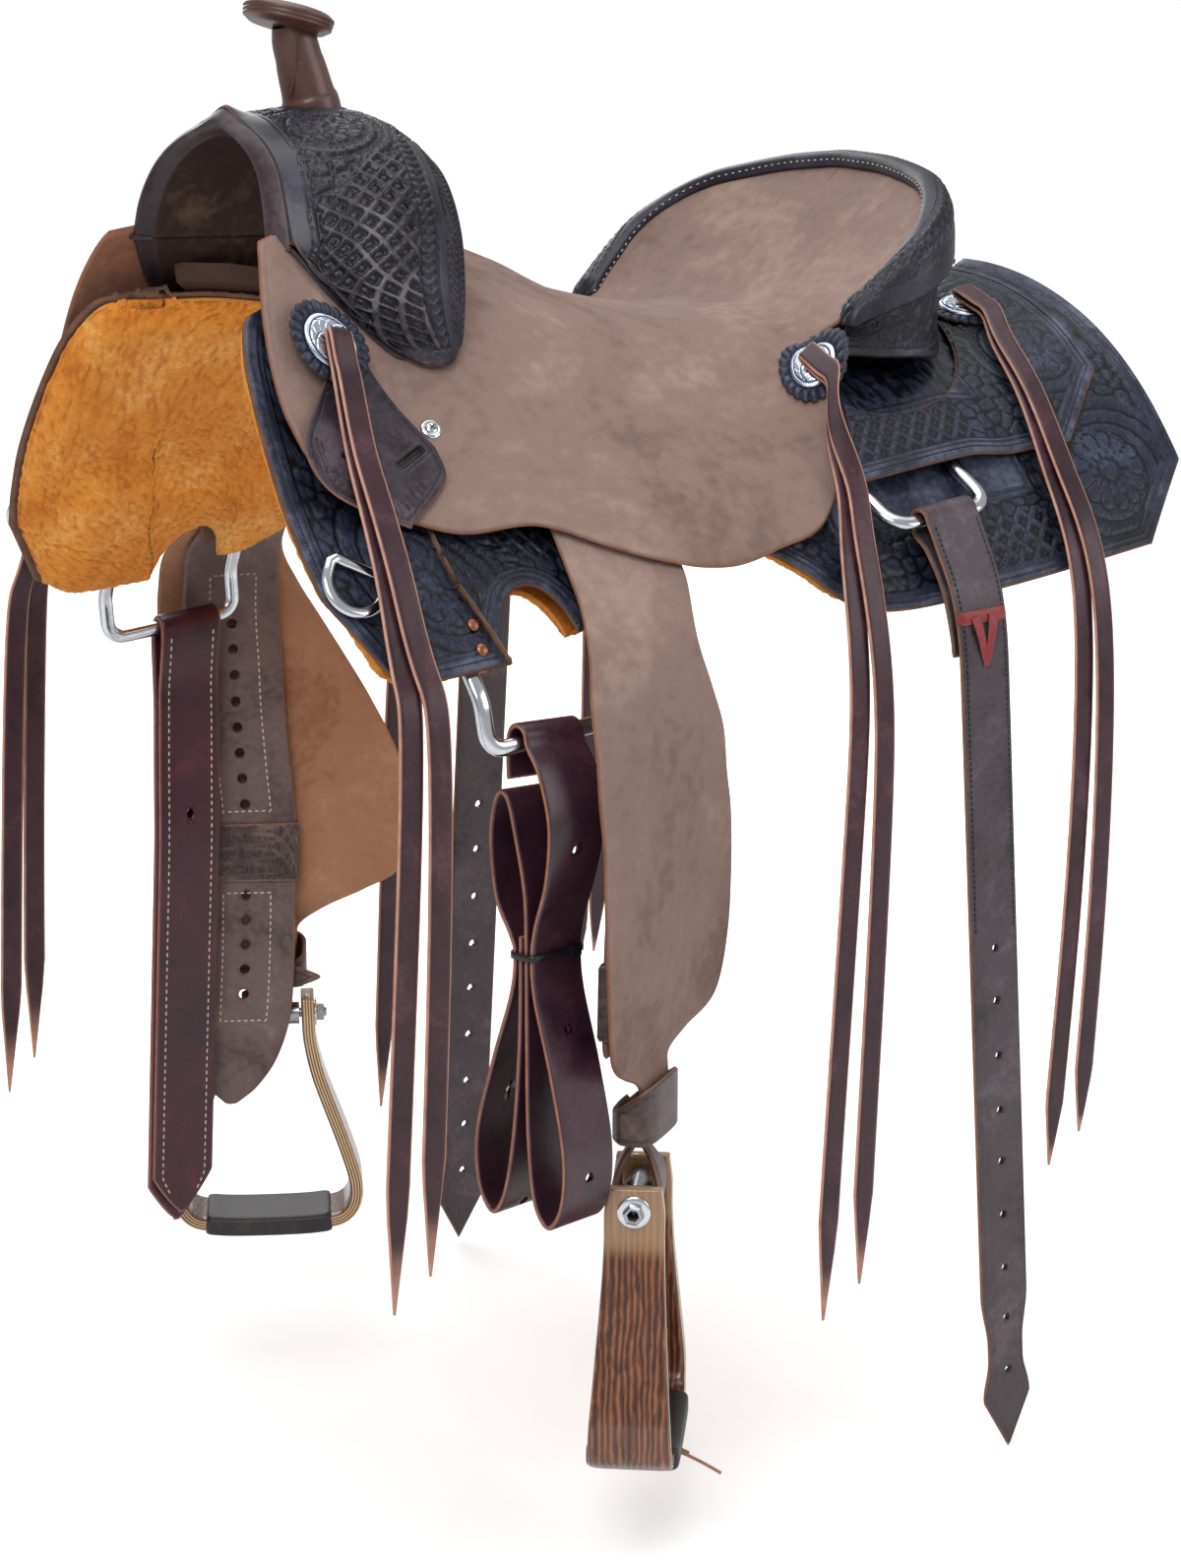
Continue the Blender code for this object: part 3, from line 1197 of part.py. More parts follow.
def make_tread_cover(side):
    """Leather wrapped round the stirrup's tread."""
    centre, along, out = stirrup_frame(side)
    rows = np.array([(s, z) for s, z in STIRRUP_PROFILE[-3:]])
    rows = np.vstack([rows[:-1], rows[::-1] * (-1, 1)])
    rows[0], rows[-1] = (0.0500, -0.1677), (-0.0500, -0.1677)
    outer, inner = [], []
    half_a = STIRRUP_TREAD_WIDTH / 2 + 0.0008
    half_b = STIRRUP_THICK / 2 + 0.0008
    slope = (0.10, 0.03, 0.0, -0.03, -0.10)
    for (s, z), lean in zip(rows, slope):
        up = np.array([0, 0, 1.0]) - along * lean
        up = up / np.linalg.norm(up)
        middle = centre + along * s + np.array([0, 0, z])
        for rings, grow in ((outer, TREAD_WRAP), (inner, 0.0)):
            ring = [middle + out * a + up * b for a, b in
                    rounded(half_a + grow, half_b + grow, 0.0012 + grow)]
            rings.append(ring)
    return ring_loft("tread_cover_" + SIDE_NAME[side], np.array(outer), np.array(inner), BROWN)


FENDER_HINGE = (-0.0950, 0.1240)


def make_leg(side):
    """Fender, stirrup leather, sleeve and hobble strap; the loop; the stirrup on its bolt."""
    name = SIDE_NAME[side]
    hanging = [make_fender(side), make_stirrup_leather(side), make_sleeve(side),
               make_hobble(side)]
    point, _, _ = side_frame(*FENDER_HINGE, LEATHER_LIFT, side)
    hang(hanging, "fender_" + name, point)
    x, y, z = STIRRUP_AT[side]
    hang([make_loop(side)], "loop_" + name, (x, y * side, LOOP_TOP[side]))
    hang([make_stirrup(side), make_bolt(side), make_tread_cover(side)], "stirrup_" + name,
         (x, y * side, z))


# Latigo, billets and strings

LATIGO_TURN = 11.0
LATIGO_X = -0.1700
LATIGO_PATH = [(-0.0078, -0.026), (-0.0080, -0.008), (-0.0064, 0.0048), (0.0, 0.0086),
               (0.0064, 0.0048), (0.0092, -0.004), (0.0200, -0.022), (0.0270, -0.052),
               (0.0220, -0.088), (0.0120, -0.118), (0.0085, -0.140), (0.0110, -0.167),
               (0.0250, -0.215), (0.0360, -0.265), (0.0340, -0.300), (0.0220, -0.317),
               (0.0100, -0.302), (0.0047, -0.260), (0.0037, -0.200), (0.0035, -0.140),
               (0.0025, -0.100), (-0.0030, -0.065), (-0.0080, -0.043), (-0.0145, -0.036),
               (-0.0210, -0.044), (-0.0260, -0.070), (-0.0230, -0.105), (-0.0105, -0.128),
               (-0.0065, -0.140), (-0.0100, -0.167), (-0.0270, -0.215), (-0.0420, -0.265),
               (-0.0410, -0.300), (-0.0290, -0.318), (-0.0170, -0.302), (-0.0085, -0.260),
               (-0.0030, -0.200), (-0.0015, -0.140), (-0.0015, -0.128)]
LATIGO_TIE_Z = -0.1400


def make_latigo():
    """The long strap folded twice on itself below the dee and tied in the middle."""
    bar = front_bar(NEAR)
    origin = np.array([LATIGO_X, bar.y, bar.z])
    path = smooth_run(LATIGO_PATH, 2)
    depth = smoothstep(-path[:, 1], 0.02, 0.11)
    rears, outs = [], []
    for share in depth:
        rear, out = turn_frame(LATIGO_TURN * share, NEAR)
        rears.append(rear)
        outs.append(out)
    _, out = turn_frame(LATIGO_TURN, NEAR)
    line = origin + path[:, :1] * out + path[:, 1:] * np.array([0, 0, 1.0])
    grid = strap_grid(line, np.array(rears), LATIGO_WIDTH)
    latigo = sheet("latigo", grid, LATIGO_THICK, LATIGO, offset=0.0)
    holes = []
    for k in (15, 23, 27, 38, 61, 67):
        across = Vector(line[k + 1] - line[k - 1]).cross(Vector(rears[k]))
        holes.append((line[k], across.normalized()))
    punch(latigo, "holes_latigo", holes, HOLE_R, 8, 0.0032)
    rear, out = turn_frame(LATIGO_TURN, NEAR)
    outer, inner = [], []
    for z in (LATIGO_TIE_Z + 0.0022, LATIGO_TIE_Z - 0.0022):
        middle = origin + out * 0.001 + np.array([0, 0, z])
        for rings, grow in ((outer, 0.0016), (inner, 0.0)):
            ring = [middle + rear * a + out * b for a, b in
                    rounded(LATIGO_WIDTH / 2 + 0.0008 + grow, 0.0110 + grow, 0.002 + grow)]
            rings.append(ring)
    tie = ring_loft("latigo_tie", np.array(outer), np.array(inner), BLACK)
    hang([latigo, tie], "latigo", bar)


OFF_BILLET_X = -0.1470


def hung_strap(name, origin, path, slant, turn, widths, thickness, side, holes, inner_ply,
               bar_along):
    """A strap over a dee's bar: path of (outward, height), slant of x per metre down."""
    rear, out = turn_frame(turn, side)
    free = smoothstep(-path[:, 1], 0.015, 0.10)[:, None]
    rears = np.array(bar_along) * (1 - free) + rear * free
    line = origin + path[:, :1] * out + path[:, 1:] * np.array([0, 0, 1.0])
    line[:, 0] += slant * np.minimum(path[:, 1], 0.0) * -1
    made = sheet(name, strap_grid(line, rears, widths), thickness, LATIGO, offset=0.0)
    ply = line[:np.argmax(path[:, 1])] if inner_ply else line[np.argmax(path[:, 1]):]
    ply = ply[np.argsort(ply[:, 2])]
    places = []
    for z in holes:
        at = [np.interp(origin[2] + z, ply[:, 2], ply[:, k]) for k in range(3)]
        places.append((at, out))
    return punch(made, "holes_" + name, places, HOLE_R, 8, 0.0032)


def make_off_billet():
    """Two plies over the bar that hang down together, the inner one a little shorter."""
    bar = front_bar(OFF)
    origin = np.array([OFF_BILLET_X, bar.y, bar.z])
    runs = {}
    for ply, way, length in (("inner", -1, 0.465), ("outer", 1, 0.474)):
        runs[ply] = [(way * 0.0042 - 0.0085 * min(z / 0.17, 1.0) - 0.004 * z, -z) for z in
                     (0.075, 0.120, 0.170, 0.260, 0.360, length - 0.040, length - 0.016, length)]
    fold = [(-0.0065, -0.045), (-0.0084, -0.016), (-0.0084, -0.003), (-0.0060, 0.0056),
            (0.0, 0.0086), (0.0060, 0.0056), (0.0084, -0.003), (0.0080, -0.016),
            (0.0035, -0.045)]
    path = smooth_run(runs["inner"][::-1] + fold + runs["outer"], 2)
    widths = np.full(len(path), OFF_BILLET_WIDTH)
    widths[:4] = (0.006, 0.018, 0.032, 0.044)
    widths[-4:] = (0.044, 0.032, 0.018, 0.006)
    billet = hung_strap("off_billet", origin, path, -0.055, 2.0, widths, 0.0048, OFF,
                        [-0.148, -0.222, -0.299, -0.377], True, front_dee_frame(OFF)[3])
    hang([billet], "off_billet", bar)


REAR_BILLET_SLANT = {NEAR: 0.0750, OFF: -0.0600}


def make_rear_billet(side):
    """Folded over the flank dee, out over the skirt's edge, and then straight down."""
    bar = rear_bar(side)
    origin = np.array([bar.x, bar.y, bar.z])
    back = [(0.0285, -0.092), (0.0275, -0.078), (0.0205, -0.045), (0.0070, -0.020),
            (-0.0030, -0.011), (-0.0076, -0.002), (-0.0052, 0.0058)]
    front = [(0.0, 0.0078), (0.0056, 0.0058), (0.0095, -0.001), (0.0175, -0.018),
             (0.0290, -0.045), (0.0350, -0.080), (0.0360, -0.130), (0.0360, -0.200)]
    front += [(0.0360, -0.340), (0.0360, -0.500), (0.0360, -0.628), (0.0360, -0.656),
              (0.0360, -0.680)]
    path = smooth_run(back + front, 2)
    widths = np.full(len(path), BILLET_WIDTH * 0.9)
    widths[-4:] = (0.043, 0.032, 0.018, 0.006)
    slant = REAR_BILLET_SLANT[side]
    holes = [-0.300 - 0.040 * k for k in range(9)]
    name = "rear_billet_" + SIDE_NAME[side]
    billet = hung_strap(name, origin, path, slant, 3.0, widths, LEATHER_THICK, side, holes, False,
                        rear_dee_frame(side)[3])
    hang([billet], name, bar)


# Saddle strings: places on the leather (x, half width, surface, height over it), then the hang
STRINGS = {
    "front": ([(-0.2620, 0.182, on_seat, 0.0085),
               (-0.2650, 0.203, on_seat, 0.0086), (-0.2670, 0.222, on_back, 0.0160),
               (-0.2690, 0.243, on_back, 0.0105), (-0.2700, 0.258, on_back, 0.0085)],
              [(-0.2720, 0.2780, -0.190), (-0.2880, 0.2790, -0.535)]),
    "seat": ([(0.1080, 0.206, on_seat, 0.0080),
              (0.0960, 0.224, on_back, 0.0200), (0.0860, 0.244, on_back, 0.0140),
              (0.0790, 0.262, on_back, 0.0090)],
             [(0.0740, 0.2880, -0.180), (0.0680, 0.2900, -0.310), (0.0540, 0.2900, -0.614)]),
    "rear": ([(0.3060, 0.150, on_back, 0.0125),
              (0.2950, 0.185, on_back, 0.0125), (0.2840, 0.215, on_back, 0.0125),
              (0.2770, 0.243, on_back, 0.0095), (0.2730, 0.270, on_back, 0.0085)],
             [(0.2700, 0.2960, -0.160), (0.2690, 0.2970, -0.340), (0.2550, 0.2970, -0.540)]),
}
STRING_SPREAD = {"front": 0.0120, "seat": 0.0140, "rear": 0.0120}


def make_strings(key, side):
    """A thong folded at the concho: one end lies on the leather, the other lies on it."""
    lying, hung = STRINGS[key]
    low, high = [], []
    top = 0.0024
    over = ROSETTE_LIFT + ROSETTE_THICK + CONCHO_HEIGHT + STRING_THICK / 2 + 0.0010
    start = concho_point(key, side, over)
    normal = concho_point(key, side, over + 0.001) - start
    normals, across = [], []
    for v, lower in ((0.0, 0.0), (CONCHO_R, 0.0022), (ROSETTE_R + 0.001, 0.0030)):
        low.append(concho_point(key, side, over - lower, 0.0, v))
        normals.append(normal / np.linalg.norm(normal))
        across.append((concho_point(key, side, over, 0.001, v)
                       - concho_point(key, side, over, 0.0, v)) * 1000)
    for x, y, surface, lift in lying:
        spot, up, ahead = side_frame(x, y, lift, side, surface)
        low.append(np.array(spot))
        normals.append(np.array(up))
        across.append(np.array(ahead))
    for x, y, z in hung:
        low.append(np.array([x, y * side, z]))
        normals.append(np.array([0.0, side, 0.0]))
        across.append(np.array([1.0, 0.0, 0.0]))
    low, normals = np.array(low), np.array(normals)
    count = len(low)
    spread = np.linspace(0, 1, count)**2 * STRING_SPREAD[key]
    high = low + normals * 2 * top
    high[:, 0] += spread
    low[:, 0] -= spread
    high[-1, 2] += 0.022
    first = low[1] - low[0]
    fold = low[0] - first / np.linalg.norm(first) * top * 1.3 + normals[0] * top
    path = smooth_run(np.vstack([low[::-1], fold[None], high]), 2)
    across = smooth_run(np.vstack([across[::-1], across[:1], across]), 2)
    widths = np.full(len(path), STRING_WIDTH)
    widths[:3] = (0.003, 0.009, 0.015)
    widths[-3:] = (0.015, 0.009, 0.003)
    name = "strings_" + key + "_" + SIDE_NAME[side]
    strings = strap(name, path, across, widths, STRING_THICK, LATIGO)
    hang([strings], name, start)


for this_side in (NEAR, OFF):
    make_bar(this_side)
    make_skirt(this_side)
    make_fleece(this_side)
    make_rear_jockey(this_side)
    make_front_dee(this_side)
    make_rear_dee(this_side)
    make_breast_dee(this_side)
    for place_key in CONCHOS:
        make_concho(place_key, this_side)
        make_strings(place_key, this_side)
    make_leg(this_side)
    make_rear_billet(this_side)
make_fork()
make_swell_cover()
make_seat()
make_ground_seat()
make_cantle_board()
make_binding()
make_cantle_back()
make_horn()
make_latigo_keeper()
make_latigo()
make_off_billet()
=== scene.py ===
"""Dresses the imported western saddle: leathers, fleece, silver, steel and wood in one frame."""
import math

import bpy
import numpy as np
from mathutils import Matrix, Vector
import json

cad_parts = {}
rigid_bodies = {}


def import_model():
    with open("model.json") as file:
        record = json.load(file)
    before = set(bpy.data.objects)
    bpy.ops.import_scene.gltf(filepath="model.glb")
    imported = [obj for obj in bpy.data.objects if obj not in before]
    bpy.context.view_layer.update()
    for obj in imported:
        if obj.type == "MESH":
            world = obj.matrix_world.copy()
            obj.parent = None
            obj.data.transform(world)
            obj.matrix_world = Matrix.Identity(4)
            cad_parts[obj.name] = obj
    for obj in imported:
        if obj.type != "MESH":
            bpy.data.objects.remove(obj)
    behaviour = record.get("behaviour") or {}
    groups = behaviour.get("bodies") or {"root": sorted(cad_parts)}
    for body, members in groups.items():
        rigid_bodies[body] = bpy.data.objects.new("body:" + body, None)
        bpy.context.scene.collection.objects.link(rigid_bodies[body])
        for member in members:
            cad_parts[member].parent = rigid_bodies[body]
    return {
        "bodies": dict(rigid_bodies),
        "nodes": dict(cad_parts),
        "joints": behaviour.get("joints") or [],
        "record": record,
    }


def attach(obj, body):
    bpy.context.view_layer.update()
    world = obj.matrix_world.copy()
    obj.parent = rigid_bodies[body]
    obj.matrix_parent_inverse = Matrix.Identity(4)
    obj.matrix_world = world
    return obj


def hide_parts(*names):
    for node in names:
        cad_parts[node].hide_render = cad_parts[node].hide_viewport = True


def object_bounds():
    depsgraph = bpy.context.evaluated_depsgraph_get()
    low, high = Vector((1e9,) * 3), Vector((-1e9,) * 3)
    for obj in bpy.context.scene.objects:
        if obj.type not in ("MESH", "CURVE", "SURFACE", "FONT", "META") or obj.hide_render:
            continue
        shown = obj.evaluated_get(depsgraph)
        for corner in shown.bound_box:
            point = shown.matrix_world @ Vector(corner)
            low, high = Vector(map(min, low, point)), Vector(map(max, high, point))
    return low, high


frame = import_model()
cad_low, cad_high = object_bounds()

# Sizes and places of the built part, in metres: the dressing follows its shapes.
NEAR, OFF = -1, 1
GAP = 0.0003
LAYER_GAP = 0.0010
LOFT_GAP = 0.0022
SKIRT_THICK = 0.0050
FLEECE_THICK = 0.0180
SEAT_THICK = 0.0045
JOCKEY_THICK = 0.0045
COVER_THICK = 0.0040
FENDER_THICK = 0.0040
LEATHER_THICK = 0.0045
LATIGO_THICK = 0.0038
STRING_THICK = 0.0030
KEEPER_THICK = 0.0035
WAIST_X = 0.050
LOIN_X = 0.400
WITHERS_TOP, WITHERS_HALF, WITHERS_SLOPE, WITHERS_FLARE = 0.094, 0.095, 0.80, 0.53
WAIST_TOP, WAIST_BEND, WAIST_TURN = 0.042, 1.60, 9.5
LOIN_TOP, LOIN_BEND, LOIN_TURN = 0.088, 1.75, 7.0
SEAT_OVER_BARS = 0.0295
SEAT_OVER_SKIRT = 0.0100
SEAT_OVER_FENDER = 0.0180
SEAT_FALL_START_Y = 0.108
SEAT_FALL_END_Y = 0.165
FENDER_ZONE = (-0.215, -0.150, 0.015, 0.085)
HORN_FOOT = (-0.181, 0.0, 0.2085)
HORN_HEIGHT = 0.0400
HORN_LEAN = math.radians(-16.0)
HORN_NECK_R = 0.0165
CAP_R = 0.0305
CAP_THICK = 0.0150
CAP_TILT = math.radians(14.0)
DEE_WIRE = 0.0042
FRONT_DEE_HALF = 0.0540
FRONT_DEE_FLAT = 0.0420
FRONT_DEE_DROP = 0.0620
REAR_DEE_HALF = 0.0430
REAR_DEE_FLAT = 0.0260
REAR_DEE_DROP = 0.0520
BREAST_DEE_HALF = 0.0190
BREAST_DEE_WIRE = 0.0030
CONCHO_R = 0.0190
CONCHO_HEIGHT = 0.0045
ROSETTE_R = 0.0290
ROSETTE_THICK = 0.0030
ROSETTE_LIFT = 0.0016
CONCHO_ON_KEEPER = 0.0062
STRING_WIDTH = 0.0170
LATIGO_WIDTH = 0.0450
BILLET_WIDTH = 0.0500
OFF_BILLET_WIDTH = 0.0500
LEATHER_WIDTH = 0.0760
SLEEVE_WALL = 0.0025
HOBBLE_WALL = 0.0035
HOBBLE_HALF = (0.0322, 0.0132)
HOLE_R = 0.0035
LEATHER_HOLE_R = 0.0040
BOLT_R = 0.0045
BOLT_SLEEVE_R = 0.0095
STIRRUP_TOP_HALF = 0.0340
STIRRUP_THICK = 0.0105
STIRRUP_TREAD_WIDTH = 0.0560
TREAD_WRAP = 0.0026
SIDE_NAME = {NEAR: "near", OFF: "off"}


def section_withers(y):
    """Height of the back at y over the withers: a straight slope that flares."""
    root = np.sqrt(np.maximum(WITHERS_SLOPE**2 - 4 * WITHERS_FLARE * (y - WITHERS_HALF), 0.0))
    return WITHERS_TOP - (WITHERS_SLOPE - root) / (2 * WITHERS_FLARE)


def back_height(x, y):
    """Height of the horse's back: a parabola along X through the three cross sections."""
    y = np.abs(y)
    t = (x - WAIST_X) / (LOIN_X - WAIST_X)
    waist = WAIST_TOP - WAIST_BEND * y**2 - WAIST_TURN * y**4
    loin = LOIN_TOP - LOIN_BEND * y**2 - LOIN_TURN * y**4
    return t * (t - 1) / 2 * section_withers(y) + (1 - t * t) * waist + t * (t + 1) / 2 * loin


def back_slopes(x, y):
    """The back's slopes along x and across y, by central differences."""
    step = 0.0005
    along = (back_height(x + step, y) - back_height(x - step, y)) / (2 * step)
    across = (back_height(x, y + step) - back_height(x, y - step)) / (2 * step)
    return along, across


def steepness(x, y):
    """What a height over the back is multiplied by to lie that far off it: sqrt(1 + both
    slopes squared)."""
    along, across = back_slopes(x, np.abs(y))
    return np.sqrt(1 + along**2 + across**2)


def on_back(x, y, lift):
    """Points on the off half of the back (y > 0), moved out square to it by lift."""
    along, across = back_slopes(x, y)
    size = np.sqrt(1 + along**2 + across**2)
    return np.stack([x - lift * along / size, y - lift * across / size,
                     back_height(x, y) + lift / size], axis=-1)


def smoothstep(value, low, high):
    """0 below low, 1 above high, and t t (3 - 2 t) between."""
    t = np.clip((value - low) / (high - low), 0.0, 1.0)
    return t * t * (3 - 2 * t)


RIM = np.array([
    (0.132, 0.142, 0.042, 0.053), (0.158, 0.153, 0.062, 0.059), (0.185, 0.162, 0.086, 0.073),
    (0.213, 0.165, 0.112, 0.095), (0.236, 0.152, 0.131, 0.117), (0.254, 0.128, 0.145, 0.136),
    (0.267, 0.095, 0.153, 0.148), (0.2765, 0.050, 0.160, 0.158), (0.281, 0.0, 0.163, 0.163),
])
SEAT_RIDGE = np.array([(-0.135, 0.136), (-0.100, 0.122), (-0.036, 0.100), (-0.002, 0.081),
                       (0.049, 0.059), (0.090, 0.052), (0.132, 0.053)])


def seat_side_lift(x):
    """How far the seat's side stands over the skirt: more over the fender."""
    rise = smoothstep(x, FENDER_ZONE[0], FENDER_ZONE[1])
    fall = 1 - smoothstep(x, FENDER_ZONE[2], FENDER_ZONE[3])
    return SEAT_OVER_SKIRT + (SEAT_OVER_FENDER - SEAT_OVER_SKIRT) * np.minimum(rise, fall)


def seat_height(x, y):
    """Top of the seat leather: a ridge that follows SEAT_RIDGE in the middle, the bars' lift
    beside it, the jockeys' lift further down, and the cantle's bowl at the rear."""
    y = np.abs(y)
    ridge = np.interp(x, SEAT_RIDGE[:, 0], SEAT_RIDGE[:, 1]) - back_height(x, 0 * y)
    bars = SEAT_OVER_BARS * steepness(x, y)
    sides = seat_side_lift(x) * steepness(x, y)
    lift = ridge + (bars - ridge) * smoothstep(y, 0.0, 0.085)
    lift = lift + (sides - bars) * smoothstep(y, SEAT_FALL_START_Y, SEAT_FALL_END_Y)
    open_seat = back_height(x, y) + lift
    half, rim, middle = (np.interp(x, RIM[:, 0], RIM[:, k]) for k in (1, 2, 3))
    bowl = middle + (rim - middle) * (y / np.maximum(half, 0.02))**2
    bowl = np.minimum(bowl, np.maximum(rim, middle))
    mix = smoothstep(x, 0.085, 0.150)
    over_bars = (SEAT_OVER_BARS - 0.001) * (1 - smoothstep(y, 0.106, 0.140))
    return np.maximum(open_seat + (bowl - open_seat) * mix,
                      back_height(x, y) + over_bars * steepness(x, y))


def on_seat(x, y, lift):
    """Points over the seat leather's top face (y > 0), moved out square to it."""
    step = 0.001
    along = (seat_height(x + step, y) - seat_height(x - step, y)) / (2 * step)
    across = (seat_height(x, y + step) - seat_height(x, y - step)) / (2 * step)
    size = np.sqrt(1 + along**2 + across**2)
    return np.stack([x - lift * along / size, y - lift * across / size,
                     seat_height(x, y) + lift / size], axis=-1)


def smooth_run(points, per_span):
    """Catmull-Rom curve through the points."""
    p = np.asarray(points, float)
    ends = np.vstack([2 * p[0] - p[1], p, 2 * p[-1] - p[-2]])
    t = np.linspace(0, 1, per_span, endpoint=False)[:, None]
    pieces = []
    for a, b, c, d in zip(ends[:-3], ends[1:-2], ends[2:-1], ends[3:]):
        pieces.append(0.5 * (2 * b + (c - a) * t + (2 * a - 5 * b + 4 * c - d) * t**2
                             + (3 * b - a - 3 * c + d) * t**3))
    return np.vstack(pieces + [p[-1:]])


def edge_curve(runs, count):
    """A curve of smooth runs that meet in corners, cut into count points.

    The point nearest to each corner moves onto it, so that corners stay sharp.
    """
    fine = [smooth_run(run, 12) for run in runs]
    line = np.vstack([fine[0]] + [run[1:] for run in fine[1:]])
    along = lengths(line)
    stops = np.linspace(0, along[-1], count)
    corner = 0
    for run in fine[:-1]:
        corner += len(run) - 1
        stops[np.argmin(np.abs(stops - along[corner]))] = along[corner]
    return np.stack([np.interp(stops, along, line[:, k]) for k in range(line.shape[1])], axis=1)


def place(points, side):
    """Turn points of the off half into points of the given side."""
    placed = np.array(points, float)
    placed[..., 1] *= side
    return placed


def strap_grid(path, across, width, columns=2):
    """Points across a strap: the path's points spread along the across directions."""
    path = np.asarray(path, float)
    across = np.broadcast_to(np.asarray(across, float), path.shape)
    across = across / np.linalg.norm(across, axis=1, keepdims=True)
    width = np.broadcast_to(np.asarray(width, float), (len(path),))
    t = np.linspace(-0.5, 0.5, columns)
    return path[:, None] + across[:, None] * (width[:, None] * t[None])[..., None]


def axis_matrix(place_at, axis, across=None):
    """Local Z along axis, local X near across."""
    z = Vector(axis).normalized()
    x = Vector(across) if across is not None else z.orthogonal()
    x = (x - z * x.dot(z)).normalized()
    y = z.cross(x)
    return Matrix.Translation(place_at) @ Matrix((x, y, z)).transposed().to_4x4()


def side_frame(x, y, lift, side, surface=on_back):
    """Point, outward normal and fore-and-aft direction at a place on one side."""
    base = surface(np.float64(x), np.float64(y), np.float64(lift))
    above = surface(np.float64(x), np.float64(y), np.float64(lift) + 0.001)
    ahead = surface(np.float64(x) + 0.001, np.float64(y), np.float64(lift))
    point = Vector(place(base, side))
    normal = (Vector(place(above, side)) - point).normalized()
    along = (Vector(place(ahead, side)) - point).normalized()
    return point, normal, along


SWELL = np.array([
    (0.000, 0.2065, -0.246, -0.121, 0.0075, 0.026), (0.045, 0.2005, -0.250, -0.122, 0.0100, 0.024),
    (0.085, 0.1840, -0.254, -0.126, 0.0150, 0.022), (0.115, 0.1600, -0.258, -0.132, 0.0240, 0.020),
    (0.136, 0.1300, -0.259, -0.138, 0.0340, 0.018), (0.147, 0.1000, -0.257, -0.143, 0.0400, 0.017),
    (0.151, 0.0750, -0.242, -0.147, 0.0300, 0.015), (0.152, 0.0560, -0.220, -0.151, 0.0200, 0.013),
    (0.151, 0.0420, -0.197, -0.158, 0.0080, 0.008),
])
SWELL_CROWN_AT = 0.56


def swell_stations():
    """The swell's stations from one foot over the crown to the other."""
    fine = smooth_run(SWELL, 2)
    left = fine[:0:-1].copy()
    left[:, 0] *= -1
    return np.vstack([left, fine])


def swell_surface(inset, across):
    """Outer face of the swell cover, moved in by inset, at the given shares of its width."""
    rows = swell_stations()
    arch = rows[:, :2]
    tangent = np.gradient(arch, axis=0)
    tangent /= np.linalg.norm(tangent, axis=1, keepdims=True)
    outward = np.stack([-tangent[:, 1], tangent[:, 0]], axis=1)
    v = np.asarray(across)[None]
    front = np.clip(1 - v / SWELL_CROWN_AT, 0, 1)**1.7
    rear = np.clip((v - SWELL_CROWN_AT) / (1 - SWELL_CROWN_AT), 0, 1)**2.4
    drop = rows[:, 4:5] * front + rows[:, 5:6] * rear + inset
    x = rows[:, 2:3] + (rows[:, 3:4] - rows[:, 2:3]) * v
    y = arch[:, :1] - outward[:, :1] * drop
    z = arch[:, 1:] - outward[:, 1:] * drop
    return np.stack([x, y, z], axis=-1)


GULLET = np.array([(0.000, 0.1840), (0.040, 0.1770), (0.064, 0.1600), (0.076, 0.1340),
                   (0.081, 0.1080), (0.083, 0.0930), (0.104, 0.0820), (0.124, 0.0650),
                   (0.136, 0.0500)])


def seat_stations():
    """Pairs of plan points: the seat leather's inner edge or middle, and its outer edge."""
    inner = [(-0.262, 0.094), (-0.255, 0.100), (-0.240, 0.105), (-0.222, 0.108), (-0.205, 0.110),
             (-0.185, 0.109), (-0.165, 0.105), (-0.148, 0.090), (-0.137, 0.060), (-0.129, 0.025),
             (-0.124, 0.0), (-0.080, 0.0), (-0.030, 0.0), (0.020, 0.0), (0.060, 0.0), (0.090, 0.0),
             (0.112, 0.0), (0.130, 0.0), (0.145, 0.0), (0.163, 0.0), (0.183, 0.0), (0.203, 0.0),
             (0.220, 0.0), (0.235, 0.0), (0.247, 0.0), (0.256, 0.0), (0.262, 0.0)]
    outer = [(-0.281, 0.1045), (-0.2965, 0.138), (-0.2970, 0.168), (-0.284, 0.192),
             (-0.252, 0.205), (-0.197, 0.2186), (-0.144, 0.2286), (-0.110, 0.2400),
             (-0.085, 0.2480), (-0.062, 0.2540), (-0.040, 0.2585), (-0.012, 0.2606),
             (0.026, 0.2570), (0.0575, 0.249), (0.084, 0.235), (0.102, 0.217), (0.117, 0.1945),
             (0.126, 0.168)] + [tuple(row[:2]) for row in RIM]
    return np.array(inner), np.array(outer)


def rim_arc(count):
    """Cantle rim from the near end over the top to the off end: x, y, z."""
    fine = edge_curve([np.column_stack([RIM[:, 0], RIM[:, 1], RIM[:, 2]])], count)
    near = fine[:-1].copy()
    near[:, 1] *= -1
    return np.vstack([near, fine[::-1]])


def rim_outward(arc):
    """Level directions square to the cantle's rim, away from the seat."""
    tangent = np.gradient(arc[:, :2], axis=0)
    tangent /= np.linalg.norm(tangent, axis=1, keepdims=True)
    return np.column_stack([-tangent[:, 1], tangent[:, 0], np.zeros(len(arc))]) * -1


